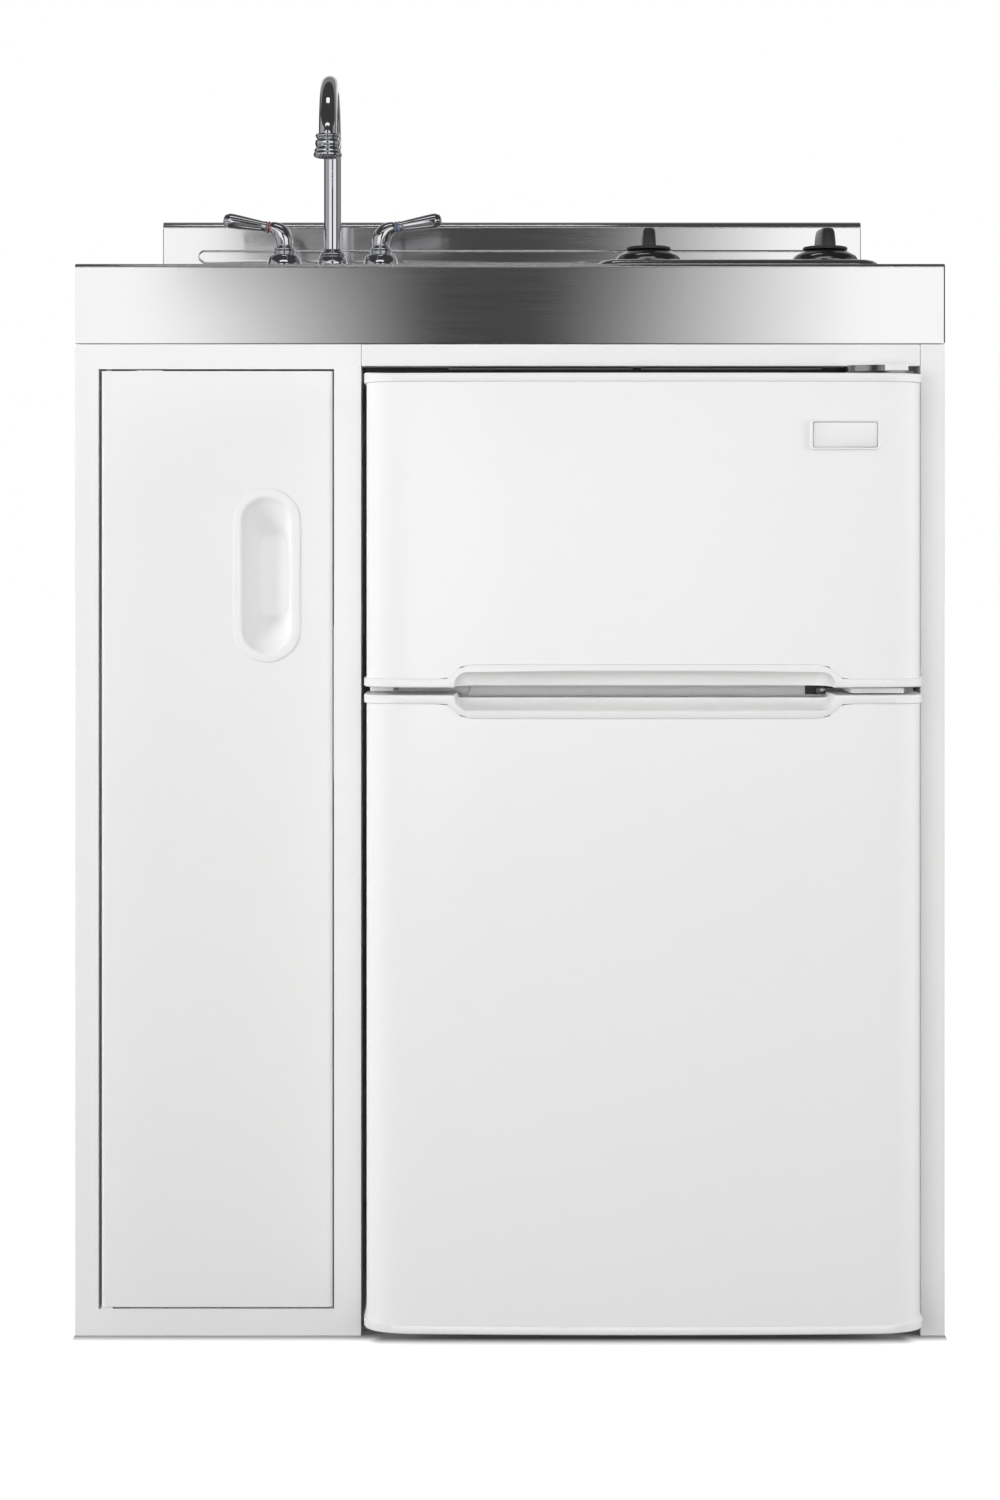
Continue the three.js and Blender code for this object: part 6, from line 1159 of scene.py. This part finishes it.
LUG_Z = 0.5649
SCREW_X = 0.2739
solid_piece("hinge_lug", front_rings(0.2790, LUG_Z, 0.0225, 0.0050, 0.0024, 6, (
    (0, BODY_FACE - 0.0006), (0, BODY_FACE - 0.0020))), galvanised, "cabinet", "galvanised")
forwards = Vector((0, 0, 1)).rotation_difference(Vector((0, -1, 0))).to_matrix()
screw = turned_piece("hinge_screw", smooth_profile([
    (0.0, 0.0004), (0.0031, 0.0004), (0.0033, 0.0012), (0.0030, 0.0022), (0.0020, 0.0028), (0.0, 0.0030)], 4),
    (SCREW_X, BODY_FACE - 0.0016, LUG_Z + 0.0006), polished, "cabinet", "galvanised", segments=40,
    turn=forwards)
cross = []
for width, height in ((0.0036, 0.0009), (0.0009, 0.0036)):
    corners = [(SCREW_X + u * width / 2, LUG_Z + 0.0006 + v * height / 2)
               for u, v in ((-1, -1), (1, -1), (1, 1), (-1, 1))]
    cross.append(loose_solid([[(x, y, z) for x, z in corners]
                              for y in (BODY_FACE - 0.0036, BODY_FACE - 0.0060)]))
carve(screw, cross)
# Painted shade: a thin black plate on the mullion stands for the dark punched recess by the middle hinge.
solid_piece("hinge_recess_shade", front_rings(0.2705, GAP_Z, 0.0245, 0.0130, 0.0008, 3, (
    (0, BODY_FACE - 0.0001), (0, BODY_FACE - 0.0005))), black_moulding_and_shade, "cabinet", "black_plastic")

# ---------------------------------------------------------------------------------------------------------
# Mullion trim in the gap between the doors: two round plugs in the holes of the other hand's hinge, a white
# spacer block at the left and a thin fin beside it.
for i, x in enumerate((-0.0761, -0.0411)):
    turned_piece(f"mullion_plug_{i + 1}", smooth_profile([
        (0.0, 0.0001), (0.0064, 0.0001), (0.0066, 0.0006), (0.0062, 0.0013), (0.0048, 0.0018),
        (0.0, 0.0020)], 3),
        (x, BODY_FACE, GAP_Z), white_moulding, "cabinet", "white_plastic", segments=48, turn=forwards)
for name, left, right, reach in (("spacer_block", -0.1208, -0.1004, 0.030),
                                 ("spacer_fin", -0.0986, -0.0972, 0.018)):
    solid_piece(name, front_rings((left + right) / 2, GAP_Z, right - left, 0.0046, 0.0006, 3, (
        (0.0, BODY_FACE - 0.0003), (0.0, BODY_FACE - reach + 0.0006), (0.0006, BODY_FACE - reach))),
        white_moulding, "cabinet", "white_plastic")

# ---------------------------------------------------------------------------------------------------------
# Rail lip: the top rail's folded return, in two lengths with a notch between, seen over the freezer door. Its
# dark grey is painted shade for the shadow under the rail. A near-black strip behind it is painted shade too,
# for the dark gap over the fridge.
painted_shade_grey = moulded("painted_shade_grey", (0.120, 0.120, 0.123), (0.160, 0.160, 0.164), (0.5, 0.65), 900, 0.0001)
LIP_Z = 0.8474
for i, (left, right) in enumerate(((-0.0540, 0.1077), (0.1151, 0.2742))):
    lip_rings = front_rings((left + right) / 2, LIP_Z, right - left, 0.0013, 0.0004, 3,
                            ((0, -0.2560), (0, -0.2440)))
    solid_piece(f"rail_lip_{i + 1}", lip_rings, painted_shade_grey, "cabinet", "white_steel")
gap_shade_rings = front_rings(0.1000, LIP_Z - 0.0004, 0.4600, 0.0080, 0.0010, 3, ((0, -0.2420), (0, -0.2380)))
solid_piece("rail_gap_shade", gap_shade_rings, seam_shade, "cabinet", "black_plastic")

# ---------------------------------------------------------------------------------------------------------
# Shelf, crisper cover and crisper drawer: clear moulded polystyrene, slightly blue in its edges.
clear_plastic = clouded("clear_plastic", (25, 2, (1, 6, 1)), ((0.86, 0.91, 0.92), (0.92, 0.95, 0.96)),
                        (0.06, 0.16), (160, 2, 0.1, 0.0001), {"Transmission Weight": 0.85, "IOR": 1.45})
for name in ("shelf", "crisper_cover", "crisper_drawer"):
    finish_node(name, clear_plastic, fold=0.0006)

# ---------------------------------------------------------------------------------------------------------
# Thermostat dial: a white scalloped knob with a finger rib, turning on the housing at the right of the liner.
DIAL_CENTRE = Vector((0.2926, -0.154, 0.505))
lay_left = Vector((0, 0, 1)).rotation_difference(Vector((-1, 0, 0))).to_matrix()
dial_rings = []
for radius, scallop, height in ((0.0166, 0.0000, 0.0003), (0.0170, 0.0000, 0.0010), (0.0169, 0.0000, 0.0026),
                                (0.0160, 0.0000, 0.0036), (0.0146, 0.0004, 0.0042), (0.0144, 0.0007, 0.0056),
                                (0.0142, 0.0007, 0.0078), (0.0136, 0.0005, 0.0087), (0.0124, 0.0000, 0.0090)):
    ring = []
    for k in range(96):
        angle = 2 * math.pi * k / 96
        reach = radius - scallop * (1 + math.cos(12 * angle))
        ring.append(DIAL_CENTRE + lay_left @ Vector((reach * math.cos(angle), reach * math.sin(angle),
                                                     height)))
    dial_rings.append(ring)
dial = solid_piece("dial", dial_rings, white_moulding, "thermostat_dial", "white_plastic",
                  sharp=50)
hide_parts("thermostat_dial")
rib_rings = [[DIAL_CENTRE + lay_left @ Vector((u, v, height)) for u, v in
              oval_ring(0, 0, width, length, width * 0.45, 5)]
             for width, length, height in ((0.0044, 0.0250, 0.0080), (0.0040, 0.0246, 0.0110),
                                           (0.0034, 0.0238, 0.0124), (0.0020, 0.0220, 0.0130))]
solid_piece("dial_rib", rib_rings, white_moulding, "thermostat_dial", "white_plastic",
           sharp=50)

# ---------------------------------------------------------------------------------------------------------
# Compressor: a black enamelled pot of two drawn steel domes welded round a belt, on a foot plate, with its
# relay box on the side. It stands in the step at the bottom of the fridge's back.
black_enamel = moulded("black_enamel", (0.020, 0.020, 0.021), (0.030, 0.030, 0.031), (0.28, 0.42), 250,
                       0.0003)
pot_low, pot_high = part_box("compressor")
POT_RADIUS = 0.055
pot_x = pot_high.x - POT_RADIUS - 0.012
pot_y = (pot_low.y + pot_high.y) / 2
pot = turned_piece("compressor_pot", smooth_profile([
    (0.0, 0.0060), (0.0200, 0.0060), (0.0341, 0.0064), (0.0440, 0.0095), (0.0500, 0.0165), (0.0536, 0.0250),
    (0.0550, 0.0350), (0.0550, 0.0560)], 4) + [(0.0556, 0.0588), (0.0578, 0.0600), (0.0580, 0.0628),
                                               (0.0558, 0.0640), (0.0550, 0.0655)] + smooth_profile([
    (0.0549, 0.0680), (0.0540, 0.0800), (0.0518, 0.0910), (0.0470, 0.1010), (0.0380, 0.1095),
    (0.0250, 0.1150), (0.0120, 0.1175), (0.0, 0.1180)], 4),
    (pot_x, pot_y, pot_low.z), black_enamel, "cabinet", "black_steel", sharp=55)
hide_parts("compressor")
foot_rings = flat_rings(pot_x, pot_y, 2 * (POT_RADIUS + 0.012), 2 * (POT_RADIUS - 0.006), 0.012, 8, [
    (inset, pot_low.z + height) for inset, height in (
        (0.0010, 0.0), (0.0, 0.0010), (0.0, 0.0060), (0.0010, 0.0070))])
solid_piece("compressor_foot", foot_rings, black_enamel, "cabinet", "black_steel", sharp=50)
relay_left, relay_right = pot_x - 1.33 * POT_RADIUS, pot_x - 0.8 * POT_RADIUS
relay_rings = flat_rings(
    (relay_left + relay_right) / 2, pot_y, relay_right - relay_left, 0.6 * POT_RADIUS, 0.004, 5, [
        (inset, pot_low.z + height) for inset, height in (
            (0.0012, 0.0437), (0.0, 0.0450), (0.0, 0.0865), (0.0012, 0.0880))])
solid_piece("relay_box", relay_rings, black_moulding_and_shade, "cabinet", "black_steel", sharp=50)

# ---------------------------------------------------------------------------------------------------------
# Condenser: one steel tube bent back and forth and painted black, clipped to two straps on the fridge's back.
coil_low, coil_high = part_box("condenser")
CONDENSER_TUBE = 0.0026
CONDENSER_RUNS = 5
CONDENSER_PITCH = 0.076
CONDENSER_LOW = 0.276
bend = CONDENSER_PITCH / 2
condenser_y = coil_high.y - CONDENSER_TUBE
half = 0.180 - bend
fridge_x = (coil_low.x + coil_high.x) / 2
route = []
for i in range(CONDENSER_RUNS):
    side = -1 if i % 2 else 1
    z = CONDENSER_LOW + i * CONDENSER_PITCH
    route += [Vector((fridge_x - side * half, condenser_y, z)),
              Vector((fridge_x + side * half, condenser_y, z))]
    if i < CONDENSER_RUNS - 1:
        route += [Vector((fridge_x + side * (half + bend * math.cos(a)), condenser_y,
                          z + bend + bend * math.sin(a)))
                  for a in (-math.pi / 2 + math.pi * k / 14 for k in range(1, 14))]
serpentine = solid_piece("condenser_tube", tube_through(route, CONDENSER_TUBE, 12),
                        black_enamel, "cabinet", "black_steel", sharp=60)
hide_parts("condenser")
STRAP_WIDTH = 0.012
for side in (-1, 1):
    x = fridge_x + side * (half - 2 * STRAP_WIDTH)
    z_range = (CONDENSER_LOW - STRAP_WIDTH,
               CONDENSER_LOW + (CONDENSER_RUNS - 1) * CONDENSER_PITCH + STRAP_WIDTH)
    strap_rings = front_rings(x, sum(z_range) / 2, STRAP_WIDTH, z_range[1] - z_range[0], 0.003, 4, (
        (0.0003, coil_low.y), (0.0, coil_low.y + 0.0003), (0.0, condenser_y - 0.0016),
        (0.0003, condenser_y - 0.0013)))
    solid_piece(f"condenser_strap_{'left' if side < 0 else 'right'}", strap_rings, black_enamel, "cabinet",
                "black_steel", sharp=50)

# ---------------------------------------------------------------------------------------------------------
# Plain plate on the freezer door: a thin stamped strip of bright metal, left bare, glued to the bowed skin
# in a white moulded rim. A thin dark ring along its edge is painted shade, as of a groove.
PLATE_LEFT = 0.2559
PLATE_RIGHT = 0.3130
PLATE_LOW = 0.7741
PLATE_HIGH = 0.7977
front = door_front(0, 0)


def skin_y(x):
    after = next(i for i, p in enumerate(front) if p.x >= x)
    a, b = front[after - 1], front[after]
    return a.y + (b.y - a.y) * (x - a.x) / (b.x - a.x)


def on_skin(rows, radius, ease=0.0):
    """Rings on the bowed skin, one for each (inset, height over the skin)."""
    return [[(u, skin_y(u) - proud, v) for u, proud, v in ring] for ring in front_rings(
        (PLATE_LEFT + PLATE_RIGHT) / 2, (PLATE_LOW + PLATE_HIGH) / 2, PLATE_RIGHT - PLATE_LEFT,
        PLATE_HIGH - PLATE_LOW, radius, 6, rows, ease)]


satin_metal = brushed("satin_metal", ((0.88, 0.88, 0.885), (0.95, 0.95, 0.95)), (0.24, 0.34), "x", 0.3)
silver = next(n for n in satin_metal.node_tree.nodes if n.type == "BSDF_PRINCIPLED")
silver.inputs["Metallic"].default_value = 0.5
plate = on_skin(((0.0000, -0.0002), (0.0000, 0.0006), (0.0004, 0.0010), (0.0012, 0.0012)), 0.0022)
solid_piece("plain_plate", plate, satin_metal, "freezer_door", "stainless", sharp=50)
rim = on_skin(((-0.0010, -0.0002), (-0.0010, 0.0012), (-0.0006, 0.0018), (0.0004, 0.0019), (0.0009, 0.0015),
               (0.0010, 0.0002)), 0.0022, ease=0.5)
mesh_piece("plate_rim", *skin_rings(rim), white_moulding, "freezer_door", "white_plastic", sharp=50)
# Painted shade: a flat ring in dark metal where a groove's shadow would fall.
groove = on_skin(((0.0010, 0.0011), (0.0010, 0.0014), (0.0014, 0.0014), (0.0014, 0.0011)), 0.0016)
mesh_piece("plate_edge_shade", *skin_rings(groove), dark_chrome_and_shade, "freezer_door", "stainless", sharp=50)

# ---------------------------------------------------------------------------------------------------------
# Studio: a white room, a soft lamp behind the camera that lights into the gaps, another in front a little
# above the worktop, and a tall strip on either side for the corners of the doors. No ray sees the
# lamps; metal mirrors the white room and the cards below.
world = bpy.data.worlds.new("studio")
bpy.context.scene.world = world
world.use_nodes = True
tree = world.node_tree
tree.nodes.clear()
FILL_FRONT = 0.30
FILL_BACK = 0.80
sky_out = tree.nodes.new("ShaderNodeOutputWorld")
sky = tree.nodes.new("ShaderNodeBackground")
rays = tree.nodes.new("ShaderNodeLightPath")
seen = math_node(tree, "ADD", rays.outputs["Is Camera Ray"], rays.outputs["Is Glossy Ray"])
seen = math_node(tree, "ADD", seen, rays.outputs["Is Transmission Ray"])
towards = tree.nodes.new("ShaderNodeTexCoord")
towards_parts = tree.nodes.new("ShaderNodeSeparateXYZ")
tree.links.new(towards.outputs["Generated"], towards_parts.inputs[0])
fill = ramp(tree, towards_parts.outputs["Y"], -0.1, 0.7, FILL_FRONT, FILL_BACK)
tree.links.new(ramp(tree, seen, 0.0, 1.0, fill, 1.0), sky.inputs["Strength"])
sky.inputs["Color"].default_value = (1, 1, 1, 1)
tree.links.new(sky.outputs[0], sky_out.inputs["Surface"])


def soft_lamp(name, place, aim, width, height, energy):
    lamp_data = bpy.data.lights.new(name, "AREA")
    lamp_data.shape = "RECTANGLE"
    lamp_data.size = width
    lamp_data.size_y = height
    lamp_data.energy = energy
    lamp = bpy.data.objects.new(name, lamp_data)
    lamp.location = place
    lamp.rotation_euler = (Vector(aim) - lamp.location).to_track_quat("-Z", "Y").to_euler()
    lamp.visible_camera = False
    lamp.visible_glossy = False
    bpy.context.collection.objects.link(lamp)


soft_lamp("main_softbox", (-0.3, -1.9, 1.6), (0.0, -0.3, 0.75), 1.8, 0.8, 6)
soft_lamp("front_softbox", (-0.1, -2.75, 0.66), (0.0, -0.3, 0.66), 1.2, 0.5, 20)
soft_lamp("left_strip", (-2.5, -1.05, 1.1), (-0.1, -0.3, 0.7), 0.5, 1.5, 38)
soft_lamp("right_strip", (2.6, -0.95, 1.2), (0.1, -0.3, 0.7), 0.6, 1.5, 36)

# ---------------------------------------------------------------------------------------------------------
# Floor: white paper. Its glow brings it to the white of the backdrop everywhere but close to the unit's
# footprint and under the fridge doors, where the glow fades out: a painted contact shadow over the rendered
# one. At the unit's sides the glow returns within millimetres and hides the shadow there.
FOOTPRINT = (0.0, 0.041, 0.381, 0.305)
DOOR_FOOTPRINT = (0.1146, 0.0, 0.225, 0.2715)
SHADOW_REACH = 0.026
FLOOR_GLOW = 1.0
floor_paper = bpy.data.materials.new("floor_paper")
tree, shader = shader_nodes(floor_paper)
shader.inputs["Base Color"].default_value = (0.35, 0.35, 0.35, 1)
shader.inputs["Roughness"].default_value = 0.9
shader.inputs["Specular IOR Level"].default_value = 0.0
shader.inputs["Emission Color"].default_value = (1, 1, 1, 1)
spot = tree.nodes.new("ShaderNodeTexCoord")
spot_parts = tree.nodes.new("ShaderNodeSeparateXYZ")
tree.links.new(spot.outputs["Object"], spot_parts.inputs[0])


def away_from(tree, footprint, side_steepness):
    """Distance outside a box on the floor, counted many times over at its sides."""
    outside_by = []
    for axis, centre, reach, steepness in (("X", footprint[0], footprint[2], side_steepness),
                                           ("Y", footprint[1], footprint[3], 1.0)):
        from_centre = math_node(tree, "ABSOLUTE",
                                math_node(tree, "SUBTRACT", spot_parts.outputs[axis], centre))
        beyond = math_node(tree, "MAXIMUM", math_node(tree, "SUBTRACT", from_centre, reach), 0.0)
        outside_by.append(math_node(tree, "POWER", math_node(tree, "MULTIPLY", beyond, steepness), 2.0))
    return math_node(tree, "SQRT", math_node(tree, "ADD", *outside_by))


away = math_node(tree, "MINIMUM", away_from(tree, FOOTPRINT, 30.0), away_from(tree, DOOR_FOOTPRINT, 1.0))
painted_shadow_fade = tree.nodes.new("ShaderNodeMapRange")
painted_shadow_fade.interpolation_type = "SMOOTHSTEP"
painted_shadow_fade.inputs["From Max"].default_value = SHADOW_REACH
painted_shadow_fade.inputs["To Max"].default_value = FLOOR_GLOW
tree.links.new(away, painted_shadow_fade.inputs["Value"])
rays = tree.nodes.new("ShaderNodeLightPath")
tree.links.new(math_node(tree, "MULTIPLY", painted_shadow_fade.outputs["Result"], rays.outputs["Is Camera Ray"]),
               shader.inputs["Emission Strength"])
floor_mesh = bpy.data.meshes.new("floor")
floor_mesh.from_pydata([(-30, -30, 0), (30, -30, 0), (30, 30, 0), (-30, 30, 0)], [], [(0, 1, 2, 3)])
floor_mesh.materials.append(floor_paper)
floor = bpy.data.objects.new("floor", floor_mesh)
bpy.context.collection.objects.link(floor)


# ---------------------------------------------------------------------------------------------------------
# Cards, seen only in the metal: a tall dark one behind the camera gives the fascia its dark middle. Curved
# flags round the unit and a ceiling of three tones, with two bright panels, give the chrome its greys.
def card(name, points, faces):
    material = bpy.data.materials.new(name)
    material.use_nodes = True
    tree = material.node_tree
    tree.nodes.clear()
    output = tree.nodes.new("ShaderNodeOutputMaterial")
    glow = tree.nodes.new("ShaderNodeEmission")
    tree.links.new(glow.outputs[0], output.inputs["Surface"])
    mesh = bpy.data.meshes.new(name)
    mesh.from_pydata(points, [], faces)
    mesh.materials.append(material)
    made = bpy.data.objects.new(name, mesh)
    made.visible_camera = False
    made.visible_diffuse = False
    made.visible_shadow = False
    made.visible_transmission = False
    bpy.context.collection.objects.link(made)
    return made, tree, glow


# the card is darkest in its middle; above the height that the fascia mirrors, the dark reaches further left
CARD_LEFT = -0.80
CARD_RIGHT = 0.80
CARD_LOW = 0.30
CARD_HIGH = 2.15
CARD_Y = -2.72
CARD_DARK = 0.045
UPPER_FROM = 1.19
middle_card, tree, glow = card("middle_card", [(CARD_LEFT, 0, CARD_LOW), (CARD_RIGHT, 0, CARD_LOW),
                                               (CARD_RIGHT, 0, CARD_HIGH), (CARD_LEFT, 0, CARD_HIGH)],
                                               [(0, 1, 2, 3)])
middle_card.location = (eye.x, CARD_Y, 0)
spot = tree.nodes.new("ShaderNodeTexCoord")
spot_parts = tree.nodes.new("ShaderNodeSeparateXYZ")
tree.links.new(spot.outputs["Object"], spot_parts.inputs[0])
across = spot_parts.outputs["X"]
upper = ramp(tree, spot_parts.outputs["Z"], UPPER_FROM, UPPER_FROM + 0.05, 0.0, 1.0)
left_start = ramp(tree, upper, 0.0, 1.0, -0.16, -0.565)
left_end = ramp(tree, upper, 0.0, 1.0, -0.56, -0.655)
right_start = ramp(tree, upper, 0.0, 1.0, 0.05, 0.18)
leftwards = ramp(tree, across, left_start, left_end, CARD_DARK, 1.0)
rightwards = ramp(tree, across, right_start, 0.60, CARD_DARK, 1.0)
tree.links.new(math_node(tree, "MAXIMUM", leftwards, rightwards), glow.inputs["Strength"])

# flags round the unit, each from one azimuth to another with its tone; a grey ceiling with one bright panel
FLAG_RADIUS = 3.2
FLAGS = {"left_grey": (-48, -110, 0.40), "left_dark": (-110, -152, 0.05), "right_dark": (52, 72, 0.05),
         "right_light": (72, 118, 0.30), "right_back": (118, 152, 0.20)}
for name, (start, end, tone) in FLAGS.items():
    arc = [(FLAG_RADIUS * math.sin(a), -FLAG_RADIUS * math.cos(a))
           for a in (math.radians(start + (end - start) * k / 10) for k in range(11))]
    points = [(x, y, z) for z in (0.3, 2.4) for x, y in arc]
    faces = [(i, i + 1, len(arc) + i + 1, len(arc) + i) for i in range(len(arc) - 1)]
    glow = card(f"flag_{name}", points, faces)[2]
    glow.inputs["Strength"].default_value = tone
for name, (left, right, front, back, height, tone) in {
        "ceiling_front": (-4.0, 4.0, -3.4, 0.95, 2.40, 0.05),
        "ceiling_middle": (-4.0, 4.0, 0.95, 2.2, 2.40, 0.24),
        "ceiling_rear": (-4.0, 4.0, 2.2, 4.0, 2.40, 0.60), "front_panel": (-1.5, 0.9, -2.3, -1.9, 2.38, 1.2),
        "top_panel": (-0.55, 0.15, -0.38, -0.12, 2.38, 1.3)}.items():
    glow = card(name, [(left, front, height), (right, front, height), (right, back, height),
                       (left, back, height)], [(0, 1, 2, 3)])[2]
    glow.inputs["Strength"].default_value = tone
